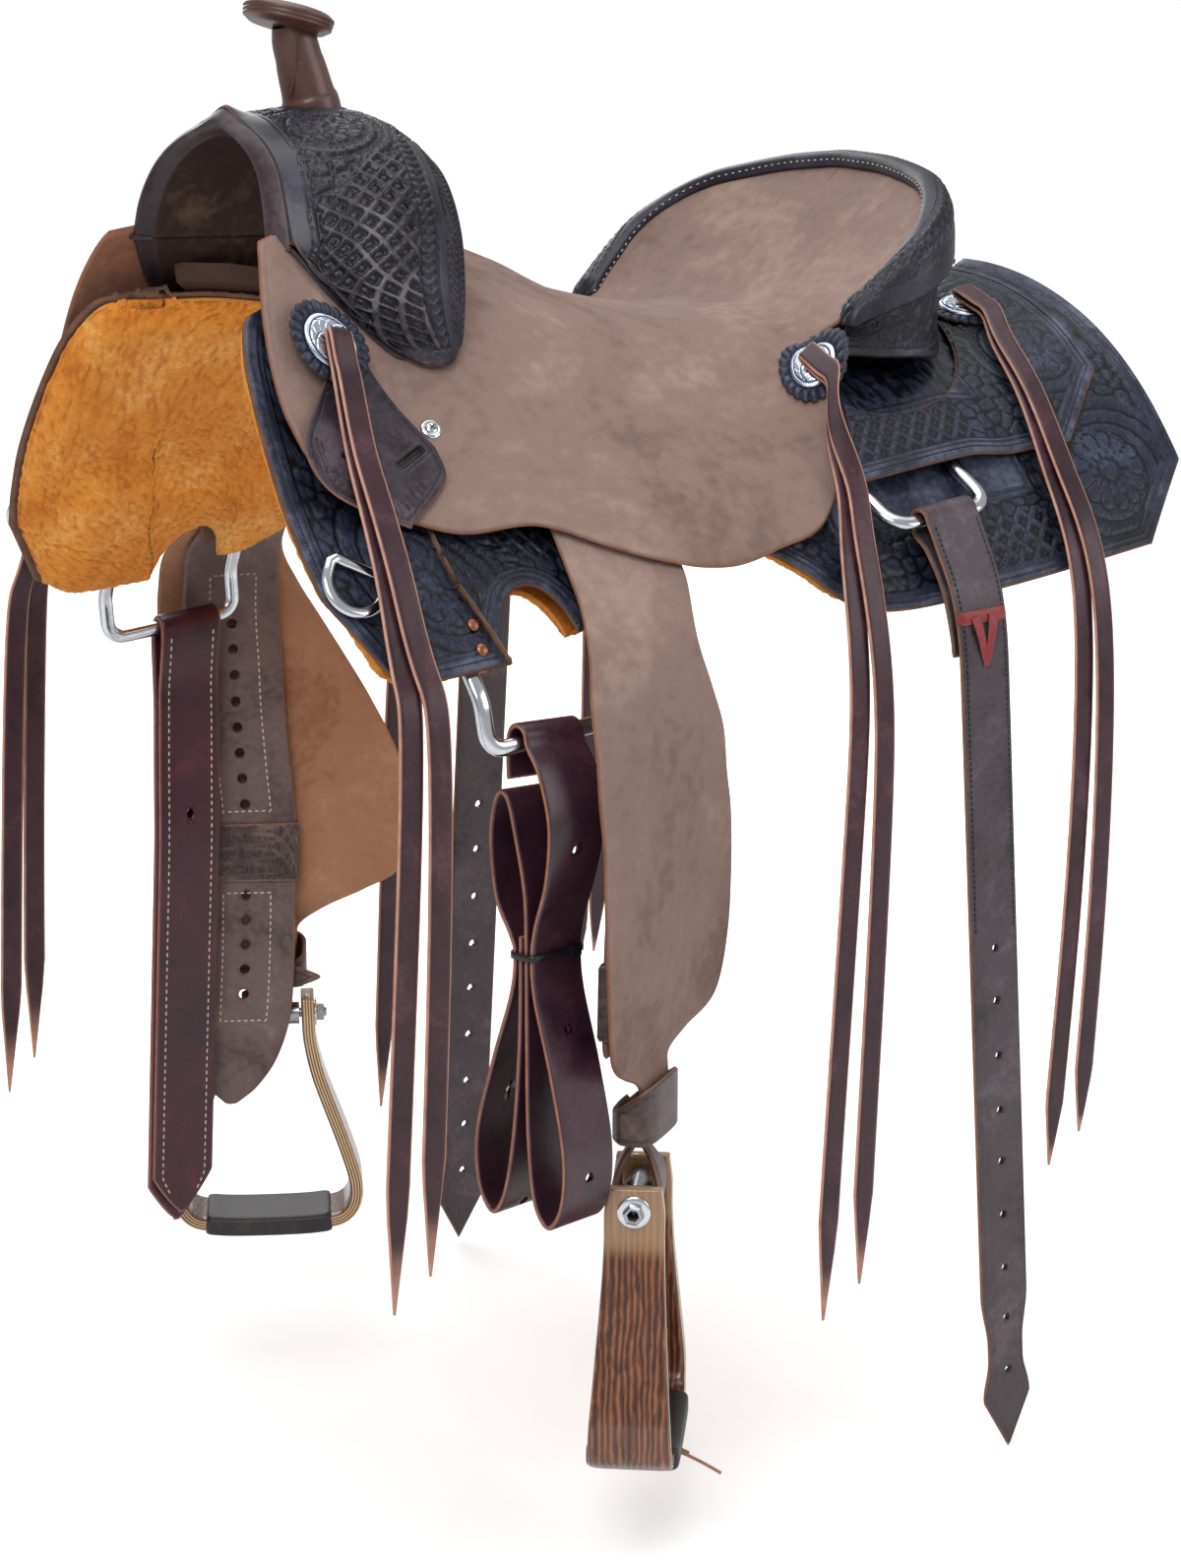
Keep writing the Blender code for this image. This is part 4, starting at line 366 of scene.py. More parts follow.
CANTLE_FOOT = [(0.118, 0.160), (0.150, 0.173), (0.190, 0.178), (0.228, 0.167), (0.262, 0.137),
               (0.286, 0.092), (0.297, 0.048), (0.301, 0.0)]
BINDING_SECTION = np.array([(-0.0045, 0.0012), (0.003, 0.0046), (0.011, 0.0030), (0.0165, -0.006),
                            (0.0185, -0.020), (0.0190, -0.038)])
SKIRT_TOP = [(-0.262, 0.097), (-0.200, 0.076), (-0.100, 0.056), (0.050, 0.044), (0.200, 0.030),
             (0.330, 0.014), (0.403, 0.006)]
SKIRT_BOTTOM = [(-0.277, 0.252), (-0.258, 0.2555), (-0.198, 0.2560), (-0.150, 0.2545),
                (-0.115, 0.249), (-0.070, 0.236), (-0.020, 0.231), (0.020, 0.238),
                (0.046, 0.251), (0.072, 0.267), (0.114, 0.2757), (0.219, 0.2786),
                (0.3435, 0.2788)]
SKIRT_FRONT = [(-0.262, 0.097), (-0.290, 0.106), (-0.305, 0.127), (-0.312, 0.153),
               (-0.3155, 0.184), (-0.3130, 0.207), (-0.3085, 0.223)]
SKIRT_FRONT_CUT = [(-0.3085, 0.223), (-0.277, 0.252)]
SKIRT_REAR = [(0.403, 0.006), (0.404, 0.100), (0.405, 0.152), (0.4035, 0.202), (0.400, 0.247)]
SKIRT_REAR_CUT = [(0.400, 0.247), (0.3435, 0.2788)]


def fleece_lift(x, y):
    """Below the skirt, and further below it where the rigging dee is held between them."""
    hollow = (smoothstep(x, -0.290, -0.250) * (1 - smoothstep(x, -0.095, -0.060))
              * smoothstep(y, 0.180, 0.210))
    return -(SKIRT_THICK + LAYER_GAP) - (2 * DEE_WIRE + 0.0052) * hollow


REAR_JOCKEY_OUTER = [[(0.107, 0.2225), (0.196, 0.2215), (0.309, 0.2240)],
                     [(0.309, 0.2240), (0.368, 0.1860)],
                     [(0.368, 0.1860), (0.3745, 0.143), (0.3775, 0.090), (0.3785, 0.003)]]
REAR_JOCKEY_INNER = [[(0.134, 0.174), (0.155, 0.186), (0.192, 0.189), (0.234, 0.177),
                      (0.270, 0.145), (0.295, 0.097), (0.306, 0.050), (0.310, 0.003)]]


def rear_jockey_lift(x):
    """Held off the skirt over the flank dee, and lying on it behind."""
    held = smoothstep(x, 0.050, 0.080) * (1 - smoothstep(x, 0.205, 0.260))
    return 0.0012 + (2 * DEE_WIRE + 0.0026) * held


CONCHOS = {"front": (-0.2575, 0.1400, on_seat, 0.0), "seat": (0.1230, 0.1640, on_seat, 0.0),
           "rear": (0.3230, 0.0950, on_back, 0.0)}
SCREW_AT = (-0.1965, 0.1700)
RIVETS_AT = [(-0.2116, 0.2410), (-0.2110, 0.2500)]


def concho_point(key, side, lift, u=0.0, v=0.0):
    """A place over a concho's leather: u to the rear and v downward, along the leather."""
    x, y, surface, extra = CONCHOS[key]
    if surface is on_back:
        extra = rear_jockey_lift(x) + JOCKEY_THICK - 0.0006
    if key == "front" and side == NEAR:
        extra = CONCHO_ON_KEEPER
    step = 0.001
    height = seat_height if surface is on_seat else back_height
    slope_x = (height(x + step, y) - height(x - step, y)) / (2 * step)
    slope_y = (height(x, y + step) - height(x, y - step)) / (2 * step)
    x = x + u / math.sqrt(1 + slope_x**2)
    y = y + v / math.sqrt(1 + slope_y**2)
    return place(surface(np.float64(x), np.float64(y), lift + extra), side)


KEEPER_OUTER = [(-0.2720, 0.1560), (-0.2960, 0.1780), (-0.2880, 0.1970), (-0.2460, 0.2120),
                (-0.2370, 0.2110), (-0.2050, 0.1960), (-0.2010, 0.1880)]
KEEPER_INNER = [(-0.2600, 0.1480), (-0.2480, 0.1440), (-0.2400, 0.1430), (-0.2320, 0.1440),
                (-0.2260, 0.1500), (-0.2140, 0.1640), (-0.2020, 0.1800)]
FRONT_DEE_AT = (-0.1660, 0.2500)
REAR_DEE_AT = (0.1560, 0.2150)
FRONT_DEE_CRANK = math.radians(-28.0)
REAR_DEE_CRANK = math.radians(12.0)
FRONT_DEE_BEND, REAR_DEE_BEND = 0.030, 0.014
FRONT_DEE_TOP, REAR_DEE_TOP = -0.028, -0.018


def dee_outline(half, flat, top, bottom, steps=5):
    """A dee in its own plane: straight legs, round corners and a straight bar below."""
    corner = half - flat
    points = [(half, top), (half, bottom - corner)]
    for angle in np.linspace(0, math.pi / 2, steps + 1)[1:]:
        points.append((flat + corner * math.cos(angle),
                       bottom - corner + corner * math.sin(angle)))
    return points + [(-a, b) for a, b in points[::-1]]


def dee_frame(at, lift, side):
    """Centre, down, outward and fore-and-aft directions of a dee that lies on the leather."""
    point, normal, along = side_frame(*at, lift, side)
    down = normal.cross(along).normalized()
    if down.z > 0:
        down = -down
    return point, down, normal, along


def cranked(frame, a, b, bend_at, crank):
    """A point (a, b) of a dee whose part beyond bend_at turns by the crank's angle."""
    point, down, out, along = frame
    beyond = max(b - bend_at, 0.0)
    lower = down * math.cos(crank) + out * math.sin(crank)
    return point + along * a + down * min(b, bend_at) + lower * beyond


def front_dee_frame(side):
    """Frame of the front rigging dee, which lies behind the skirt."""
    return dee_frame(FRONT_DEE_AT, -(SKIRT_THICK + 0.0014 + DEE_WIRE), side)


def rear_dee_frame(side):
    """Frame of the rear rigging dee, which lies on the skirt."""
    return dee_frame(REAR_DEE_AT, DEE_WIRE + GAP + 0.0004, side)


def front_bar(side):
    """Middle of the front dee's lower bar."""
    return cranked(front_dee_frame(side), 0.0, FRONT_DEE_DROP, FRONT_DEE_BEND, FRONT_DEE_CRANK)


def rear_bar(side):
    """Middle of the rear dee's lower bar."""
    return cranked(rear_dee_frame(side), 0.0, REAR_DEE_DROP, REAR_DEE_BEND, REAR_DEE_CRANK)


BREAST_DEE_AT = (-0.2860, 0.2200)
BREAST_DEE_LEAN = math.radians(32.0)


def turn_frame(turn, side):
    """Rearward direction across a hanging leather, and its outward direction."""
    turn = math.radians(turn)
    return (np.array([math.cos(turn), -side * math.sin(turn), 0.0]),
            np.array([math.sin(turn), side * math.cos(turn), 0.0]))


FENDER = {
    NEAR: [(-0.130, -0.106, 0.2768, 8, 0.095), (-0.160, -0.104, 0.2830, 11, 0.112),
           (-0.190, -0.098, 0.2850, 15, 0.129), (-0.222, -0.092, 0.2810, 19, 0.143),
           (-0.255, -0.083, 0.2740, 22, 0.156), (-0.300, -0.078, 0.2690, 26, 0.175),
           (-0.345, -0.077, 0.2670, 28, 0.179), (-0.385, -0.081, 0.2670, 30, 0.169),
           (-0.400, -0.0920, 0.2680, 32, 0.125), (-0.409, -0.0970, 0.2695, 33, 0.082),
           (-0.418, -0.0935, 0.2712, 34, 0.053), (-0.436, -0.0909, 0.2717, 34, 0.050),
           (-0.456, -0.0909, 0.2717, 34, 0.049)],
    OFF: [(-0.130, -0.103, 0.2766, 8, 0.095), (-0.160, -0.095, 0.2860, 11, 0.112),
          (-0.190, -0.085, 0.2870, 15, 0.129), (-0.222, -0.076, 0.2790, 19, 0.143),
          (-0.255, -0.068, 0.2680, 22, 0.156), (-0.300, -0.0620, 0.2550, 26, 0.175),
          (-0.345, -0.0610, 0.2450, 28, 0.179), (-0.385, -0.0660, 0.2440, 30, 0.169),
          (-0.402, -0.0740, 0.2480, 32, 0.128), (-0.416, -0.0785, 0.2570, 34, 0.086),
          (-0.432, -0.0785, 0.2690, 36, 0.056), (-0.445, -0.0781, 0.2714, 36, 0.051),
          (-0.476, -0.0781, 0.2714, 36, 0.049)],
}
LEATHER = {
    NEAR: [(-0.130, -0.099, 0.2683, 8, 0.076), (-0.160, -0.098, 0.2760, 11, 0.076),
           (-0.190, -0.098, 0.2775, 15, 0.076), (-0.222, -0.099, 0.2740, 19, 0.076),
           (-0.255, -0.100, 0.2680, 22, 0.076), (-0.300, -0.102, 0.2630, 26, 0.076),
           (-0.335, -0.1025, 0.2595, 28, 0.076), (-0.385, -0.104, 0.2580, 30, 0.076),
           (-0.397, -0.104, 0.2580, 31, 0.074)],
    OFF: [(-0.130, -0.099, 0.2683, 8, 0.076), (-0.160, -0.098, 0.2760, 11, 0.076),
          (-0.190, -0.098, 0.2775, 15, 0.076), (-0.222, -0.099, 0.2730, 19, 0.076),
          (-0.255, -0.102, 0.2660, 22, 0.076), (-0.300, -0.102, 0.2600, 26, 0.076),
          (-0.345, -0.1022, 0.2528, 28, 0.076), (-0.390, -0.1045, 0.2512, 32, 0.076),
          (-0.450, -0.1065, 0.2519, 34, 0.076), (-0.500, -0.1123, 0.2487, 30, 0.074),
          (-0.535, -0.1165, 0.2505, 30, 0.060), (-0.558, -0.1200, 0.2525, 30, 0.036),
          (-0.571, -0.1216, 0.2535, 30, 0.008)],
}
HOBBLE_TURN = {NEAR: 34, OFF: 36}
HOBBLE_AT = {NEAR: (-0.0950, 0.2665), OFF: (-0.0819, 0.2661)}
HOBBLE_Z = {NEAR: (-0.4180, -0.4575), OFF: (-0.4400, -0.481)}
STIRRUP_TURN = {NEAR: 49, OFF: 30}
STIRRUP_AT = {NEAR: (-0.0985, 0.2633, -0.500), OFF: (-0.0845, 0.2622, -0.505)}
FENDER_TOP_Y = (0.205, 0.220, 0.233, 0.245)
LEATHER_TOP_Y = (0.128, 0.150, 0.172, 0.194, 0.213, 0.230, 0.245)
FENDER_TOP_X = -0.0960
FENDER_LIFT = 0.0094
LEATHER_LIFT = 0.0041


def leather_grid(top_y, lift, top_width, stations, columns, side, first_lift=None):
    """A leather that lies over the skirt and then hangs clear of it."""
    lifts = [lift if first_lift is None else first_lift] + [lift] * (len(top_y) - 1)
    share = np.linspace(-0.5, 0.5, columns)
    x = FENDER_TOP_X + top_width * share
    rows = [place(on_back(x, np.full(columns, y), high), side) for y, high in zip(top_y, lifts)]
    for z, at_x, at_y, turn, width in stations:
        rear, _ = turn_frame(turn, side)
        centre = np.array([at_x, at_y * side, z])
        rows.append(centre + rear * (width * share)[:, None])
    return np.array(rows)


def leather_station(side, z):
    """Middle and turn of the stirrup leather at a height."""
    rows = np.array(LEATHER[side])[::-1]
    x, y, turn = (np.interp(z, rows[:, 0], rows[:, k]) for k in (1, 2, 3))
    return np.array([x, y * side, z]), turn


SLEEVE_Z = {NEAR: (-0.335, -0.385), OFF: (-0.345, -0.390)}


def hobble_path(side):
    """Once round the neck from the inner side, then on over itself to the strap's point."""
    half_a, half_b = HOBBLE_HALF
    points = []
    for t in np.linspace(0.0, 2 * math.pi, 29):
        angle = t - math.pi / 2
        c, s = math.cos(angle), math.sin(angle)
        points.append([half_a * math.copysign(abs(c)**0.55, c),
                       half_b * math.copysign(abs(s)**0.55, s)])
    start = len(points)
    step = HOBBLE_WALL + 0.0009
    for k in range(start - 4, start):
        points[k][1] -= step * (k - start + 5) / 4
    reach = 0.046 if side == OFF else 0.020
    for a in np.linspace(0.008, reach, 6):
        points.append([a, -half_b - step])
    return np.array(points)


STIRRUP_PROFILE = [(0.0340, 0.0150), (0.0345, -0.0020), (0.0355, -0.0200), (0.0420, -0.0500),
                   (0.0560, -0.0900), (0.0660, -0.1200), (0.0705, -0.1400), (0.0680, -0.1560),
                   (0.0560, -0.1665), (0.0300, -0.1695), (0.0, -0.1700)]
STIRRUP_WIDTHS = [0.036, 0.040, 0.040, 0.042, 0.047, 0.051, 0.054, 0.055, 0.056, 0.056, 0.056]
LOOP_HALF = {NEAR: 0.0170, OFF: 0.0130}
LOOP_WIDTH = {NEAR: 0.0400, OFF: 0.0340}
LOOP_TOP = {NEAR: -0.4400, OFF: -0.4620}


def stirrup_frame(side):
    """The stirrup bolt's middle, and the directions along the bolt and out."""
    x, y, z = STIRRUP_AT[side]
    along, out = turn_frame(STIRRUP_TURN[side], side)
    return np.array([x, y * side, z]), along, out


LATIGO_TURN = 11.0
LATIGO_X = -0.1700
LATIGO_PATH = [(-0.0078, -0.026), (-0.0080, -0.008), (-0.0064, 0.0048), (0.0, 0.0086),
               (0.0064, 0.0048), (0.0092, -0.004), (0.0200, -0.022), (0.0270, -0.052),
               (0.0220, -0.088), (0.0120, -0.118), (0.0085, -0.140), (0.0110, -0.167),
               (0.0250, -0.215), (0.0360, -0.265), (0.0340, -0.300), (0.0220, -0.317),
               (0.0100, -0.302), (0.0047, -0.260), (0.0037, -0.200), (0.0035, -0.140),
               (0.0025, -0.100), (-0.0030, -0.065), (-0.0080, -0.043), (-0.0145, -0.036),
               (-0.0210, -0.044), (-0.0260, -0.070), (-0.0230, -0.105), (-0.0105, -0.128),
               (-0.0065, -0.140), (-0.0100, -0.167), (-0.0270, -0.215), (-0.0420, -0.265),
               (-0.0410, -0.300), (-0.0290, -0.318), (-0.0170, -0.302), (-0.0085, -0.260),
               (-0.0030, -0.200), (-0.0015, -0.140), (-0.0015, -0.128)]
LATIGO_TIE_Z = -0.1400
OFF_BILLET_X = -0.1470
REAR_BILLET = {NEAR: (0.0750, -0.0740), OFF: (-0.0600, -0.0740)}
STRINGS = {
    "front": ([(-0.2620, 0.182, on_seat, 0.0085),
               (-0.2650, 0.203, on_seat, 0.0086), (-0.2670, 0.222, on_back, 0.0160),
               (-0.2690, 0.243, on_back, 0.0105), (-0.2700, 0.258, on_back, 0.0085)],
              [(-0.2720, 0.2780, -0.190), (-0.2880, 0.2790, -0.535)]),
    "seat": ([(0.1080, 0.206, on_seat, 0.0080),
              (0.0960, 0.224, on_back, 0.0200), (0.0860, 0.244, on_back, 0.0140),
              (0.0790, 0.262, on_back, 0.0090)],
             [(0.0740, 0.2880, -0.180), (0.0680, 0.2900, -0.310), (0.0540, 0.2900, -0.614)]),
    "rear": ([(0.3060, 0.150, on_back, 0.0125),
              (0.2950, 0.185, on_back, 0.0125), (0.2840, 0.215, on_back, 0.0125),
              (0.2770, 0.243, on_back, 0.0095), (0.2730, 0.270, on_back, 0.0085)],
             [(0.2700, 0.2960, -0.160), (0.2690, 0.2970, -0.340), (0.2550, 0.2970, -0.540)]),
}
STRING_SPREAD = {"front": 0.0120, "seat": 0.0140, "rear": 0.0120}
SKIRT_NOTCH = (-0.167, 0.2600, 0.0300)


# Grids: points at shares of a curve, finer steps next to an edge, and smooth in-between rows

def lengths(points):
    """Length along a line of points, from 0 at its first."""
    return np.concatenate([[0], np.cumsum(np.linalg.norm(np.diff(points, axis=0), axis=1))])


def cross_lengths(grid):
    """Length along each row of a grid, from 0 at its first column."""
    steps = np.linalg.norm(np.diff(grid, axis=1), axis=2)
    return np.concatenate([np.zeros((len(grid), 1)), np.cumsum(steps, axis=1)], 1)


def curve_at(runs, shares):
    """Points at shares of the length of a curve made of smooth runs."""
    fine = [smooth_run(run, 24) for run in runs]
    line = np.vstack([fine[0]] + [run[1:] for run in fine[1:]])
    along = lengths(line)
    at = np.asarray(shares) * along[-1]
    return np.stack([np.interp(at, along, line[:, k]) for k in range(line.shape[1])], axis=1)


def shares_with_edges(count, length, near=True, far=True, steps=(0.0004, 0.0010, 0.0019, 0.0032)):
    """Even shares of a length, with finer steps at its ends."""
    even = np.linspace(0, 1, count)
    fine = np.array(steps) / length
    keep = even[(even > fine[-1] * 1.3) | (not near)]
    keep = keep[(keep < 1 - fine[-1] * 1.3) | (not far)]
    parts = [[0.0], fine if near else [], keep, 1 - fine[::-1] if far else [], [1.0]]
    return np.unique(np.concatenate(parts))


def spline_rows(grid, shares):
    """Catmull-Rom through the rows of a grid, at the given shares of its row count."""
    g = np.asarray(grid, float)
    g = np.concatenate([2 * g[:1] - g[1:2], g, 2 * g[-1:] - g[-2:-1]])
    at = np.asarray(shares) * (len(g) - 3)
    i = np.minimum(at.astype(int), len(g) - 4)
    t = (at - i).reshape((-1,) + (1,) * (g.ndim - 1))
    a, b, c, d = g[i], g[i + 1], g[i + 2], g[i + 3]
    return 0.5 * (2 * b + (c - a) * t + (2 * a - 5 * b + 4 * c - d) * t**2
                  + (3 * b - a - 3 * c + d) * t**3)


def refine(grid, row_shares, column_shares):
    """A grid at shares of its rows and columns, by splines both ways."""
    down = spline_rows(grid, row_shares)
    return spline_rows(down.swapaxes(0, 1), column_shares).swapaxes(0, 1)


def even_rows(grid, row_shares):
    """Rows of a grid at even steps of length along its middle column."""
    middle = grid[:, grid.shape[1] // 2]
    along = lengths(middle)
    at = np.interp(np.asarray(row_shares) * along[-1], along, np.linspace(0, 1, len(grid)))
    return spline_rows(grid, at), along[-1]


def unit(vectors):
    """Vectors brought to length 1."""
    return vectors / np.maximum(np.linalg.norm(vectors, axis=-1, keepdims=True), 1e-12)


def grid_normals(grid, toward):
    """Unit normals of a grid, turned to the side that the reference direction points to."""
    n = np.cross(np.gradient(grid, axis=0), np.gradient(grid, axis=1))
    n = unit(n)
    for r in (0, -1):
        dead = np.linalg.norm(n[r], axis=-1) < 0.5
        n[r][dead] = n[1 if r == 0 else -2][dead]
    sign = np.sign(np.sum(n * toward, axis=-1).mean())
    return n * sign, sign


def girth(x, y, height=back_height):
    """Length along a surface from the middle of the saddle out to y, for stamping."""
    steps = np.linspace(0, 1, 25)
    total = 0
    for a, b in zip(steps[:-1], steps[1:]):
        rise = height(x, y * b) - height(x, y * a)
        total = total + np.sqrt((y * (b - a))**2 + rise**2)
    return total


def edge_field(grid, sides="tblr", left_rows=None):
    """Distance to the nearest open side of a grid: its top, bottom, left or right.

    Length along the grid's own lines far from a side; near it, the distance to the nearest
    of the side's segments within a window of 14 columns either way.
    """
    best = np.full(grid.shape[:2], 1.0)
    for letter in sides:
        g = grid if letter in "tb" else grid.swapaxes(0, 1)
        g = g[::-1] if letter in "br" else g
        along = np.cumsum(np.linalg.norm(np.diff(g, axis=0, prepend=g[:1]), axis=2), axis=0)
        near = int(np.searchsorted(along.min(axis=1), 0.028)) + 1
        part = g[:near]
        line = g[0]
        count = len(line)
        close = along.copy()
        exact = np.full(part.shape[:2], 1.0)
        for k in range(-14, 14):
            a = np.clip(np.arange(count) + k, 0, count - 2)
            seg = line[a + 1] - line[a]
            t = np.clip(((part - line[a]) * seg).sum(-1)
                        / np.maximum((seg**2).sum(-1), 1e-14), 0, 1)
            exact = np.minimum(exact, np.linalg.norm(part - line[a] - seg * t[..., None], axis=-1))
        close[:near] = exact
        if letter == "l" and left_rows is not None:
            close[:, left_rows:] = 1.0
        close = close[::-1] if letter in "br" else close
        best = np.minimum(best, close if letter in "tb" else close.T)
    return best


def mesh_object(name, points, faces, look, values=None, uv=None, smooth=True):
    """A mesh with its point attributes, its uv, and its look."""
    mesh = bpy.data.meshes.new(name)
    mesh.from_pydata(np.asarray(points, float).reshape(-1, 3), [], faces)
    if smooth:
        mesh.polygons.foreach_set("use_smooth", np.ones(len(mesh.polygons), bool))
    for key, value in (values or {}).items():
        layer = mesh.attributes.new(key, "FLOAT", "POINT")
        layer.data.foreach_set("value", np.asarray(value, np.float32).ravel())
    if uv is not None:
        layer = mesh.uv_layers.new(name="run")
        corner = np.empty(len(mesh.loops), np.int32)
        mesh.loops.foreach_get("vertex_index", corner)
        layer.data.foreach_set("uv", np.asarray(uv, np.float32).reshape(-1, 2)[corner].ravel())
    mesh.validate()
    mesh.update()
    made = bpy.data.objects.new(name, mesh)
    bpy.context.scene.collection.objects.link(made)
    if look is not None:
        mesh.materials.append(look)
    return made


def quads(index, flip):
    """Faces of a grid of vertex numbers."""
    f = np.stack([index[:-1, :-1], index[1:, :-1], index[1:, 1:], index[:-1, 1:]], -1)
    f = f.reshape(-1, 4)
    return f[:, ::-1] if flip else f


def closed_grid(rows, count):
    """Vertex numbers of a grid whose last column joins its first."""
    index = np.arange(rows * count).reshape(rows, count)
    return np.concatenate([index, index[:, :1]], 1)


def border_ring(rows, columns):
    """Vertex numbers once round a grid's border."""
    return np.concatenate([np.arange(columns), columns * np.arange(1, rows) + columns - 1,
                           columns * (rows - 1) + np.arange(columns - 2, -1, -1),
                           columns * np.arange(rows - 2, 0, -1)])


def inside_ring(ring, rows, columns, depth):
    """For each vertex of the border ring, the vertex that lies depth steps further in."""
    return (np.clip(ring // columns, depth, rows - 1 - depth) * columns
            + np.clip(ring % columns, depth, columns - 1 - depth))


def squarish(count, power_a, power_b):
    """Points round a rounded square of half width 1: cosine and sine, each to a power."""
    t = np.linspace(0, 2 * math.pi, count, endpoint=False)
    c, s = np.cos(t), np.sin(t)
    return np.sign(c) * np.abs(c)**power_a, np.sign(s) * np.abs(s)**power_b


def turn_outward(made, centre, step):
    """Flip a closed mesh's normals if they point inwards, judged by every step-th face."""
    mesh = made.data
    if sum(p.area * p.normal.dot(p.center - centre) for p in list(mesh.polygons)[::step]) < 0:
        mesh.flip_normals()
    return made


def fit_holes(grid, uv, holes):
    """Move the points near each circle (u, v, radius) onto it, in the grid and in uv, and
    return which faces stay: those with a corner outside every circle."""
    stay = np.ones((grid.shape[0] - 1, grid.shape[1] - 1), bool)
    for hu, hv, radius in holes:
        d = np.hypot(uv[..., 0] - hu, uv[..., 1] - hv)
        reach = radius * 0.45 + 0.0006
        rows, columns = np.nonzero(np.abs(d - radius) < reach)
        inner = ((rows > 0) & (rows < len(grid) - 1)
                 & (columns > 0) & (columns < grid.shape[1] - 1))
        rows, columns = rows[inner], columns[inner]
        to = (radius / np.maximum(d[rows, columns], 1e-6) - 1)[:, None]
        change = np.stack([uv[rows, columns, 0] - hu, uv[rows, columns, 1] - hv], -1) * to
        du = (grid[rows, columns + 1] - grid[rows, columns - 1]) / np.maximum(
            (uv[rows, columns + 1, 0] - uv[rows, columns - 1, 0])[:, None], 1e-6)
        dv = (grid[rows + 1, columns] - grid[rows - 1, columns]) / np.maximum(
            (uv[rows + 1, columns, 1] - uv[rows - 1, columns, 1])[:, None], 1e-6)
        grid[rows, columns] += du * change[:, :1] + dv * change[:, 1:]
        uv[rows, columns] += change
        inside = np.hypot(uv[..., 0] - hu, uv[..., 1] - hv) < radius * 1.04
        stay &= ~(inside[:-1, :-1] & inside[1:, :-1] & inside[1:, 1:] & inside[:-1, 1:])
    return stay


def leather(name, grid, thick, look, toward, offset=-1.0, relief=0.0, sides="tblr", uv=None,
            values=None, left_rows=None, back=1.0, holes=(), round_share=0.42):
    """A leather of even thickness with rounded edges.

    top = grid + n (thick (1 + offset) / 2 - sink + relief), bottom = top - n thick (n the unit
    normal), sink = r (1 - sqrt(1 - (1 - min(e / r, 1))^2)) with e the distance to the edge and
    r a share of the thickness; a middle ring runs round the raw edge. Holes are circles of
    (u, v, radius): the grid's points near a circle move onto it, and the faces inside go.
    """
    grid = np.asarray(grid, float).copy()
    if uv is None:
        across = cross_lengths(grid)
        across -= across.mean(axis=1, keepdims=True)
        down = lengths(grid[:, grid.shape[1] // 2])
        uv = np.stack([across, np.broadcast_to(down[:, None], across.shape)], -1)
    uv = np.array(uv, float)
    stay = fit_holes(grid, uv, holes)
    n, sign = grid_normals(grid, toward)
    edge = edge_field(grid, sides, left_rows)
    r = thick * round_share
    sink = r * (1 - np.sqrt(np.maximum(1 - (1 - np.clip(edge / r, 0, 1))**2, 0)))
    lift = thick * (1 + offset) / 2
    top = grid + n * (lift - sink + relief)[..., None]
    bottom = grid + n * (lift - thick + sink)[..., None]
    rows, columns = edge.shape
    ring = border_ring(rows, columns)
    flat = grid.reshape(-1, 3)
    away = unit(flat[ring] - flat[inside_ring(ring, rows, columns, 1)])
    open_edge = (edge.ravel()[ring] < 1e-5)[:, None]
    middle = (grid + n * (lift - thick / 2)).reshape(-1, 3)[ring] + away * open_edge * r * 0.5
    count = rows * columns
    index = np.arange(count).reshape(rows, columns)
    # with rows down and columns across, the cross product points to one side: flip to match
    flip = sign < 0
    mask = stay.ravel()
    faces = [quads(index, flip)[mask], quads(index + count, not flip)[mask]]
    start = 2 * count
    k = np.arange(len(ring))
    l = (k + 1) % len(ring)
    upper = np.stack([ring[k], ring[l], start + l, start + k], -1)
    lower = np.stack([start + k, start + l, count + ring[l], count + ring[k]], -1)
    faces += [upper[:, ::-1] if flip else upper, lower[:, ::-1] if flip else lower]
    if len(holes):
        for axis in (0, 1):
            i, j = np.nonzero(np.diff(stay.astype(int), axis=axis))
            a = index[i + 1, j] if axis == 0 else index[i, j + 1]
            b = index[i + 1, j + 1]
            faces.append(np.stack([a, b, b + count, a + count], -1))
    points = np.vstack([top.reshape(-1, 3), bottom.reshape(-1, 3), middle])
    full = {}
    for key, value in (values or {}).items():
        value = np.broadcast_to(value, edge.shape).ravel()
        full[key] = np.concatenate([value, value, value[ring]])
    rounded_off = 0.8 * sink.ravel() / r
    full["face"] = np.concatenate([1 - rounded_off, back * (1 - rounded_off),
                                   np.full(len(ring), 0.1)])
    flat_uv = uv.reshape(-1, 2)
    all_uv = np.vstack([flat_uv, flat_uv, flat_uv[ring]])
    return mesh_object(name, points, np.vstack(faces).tolist(), look, full, all_uv)


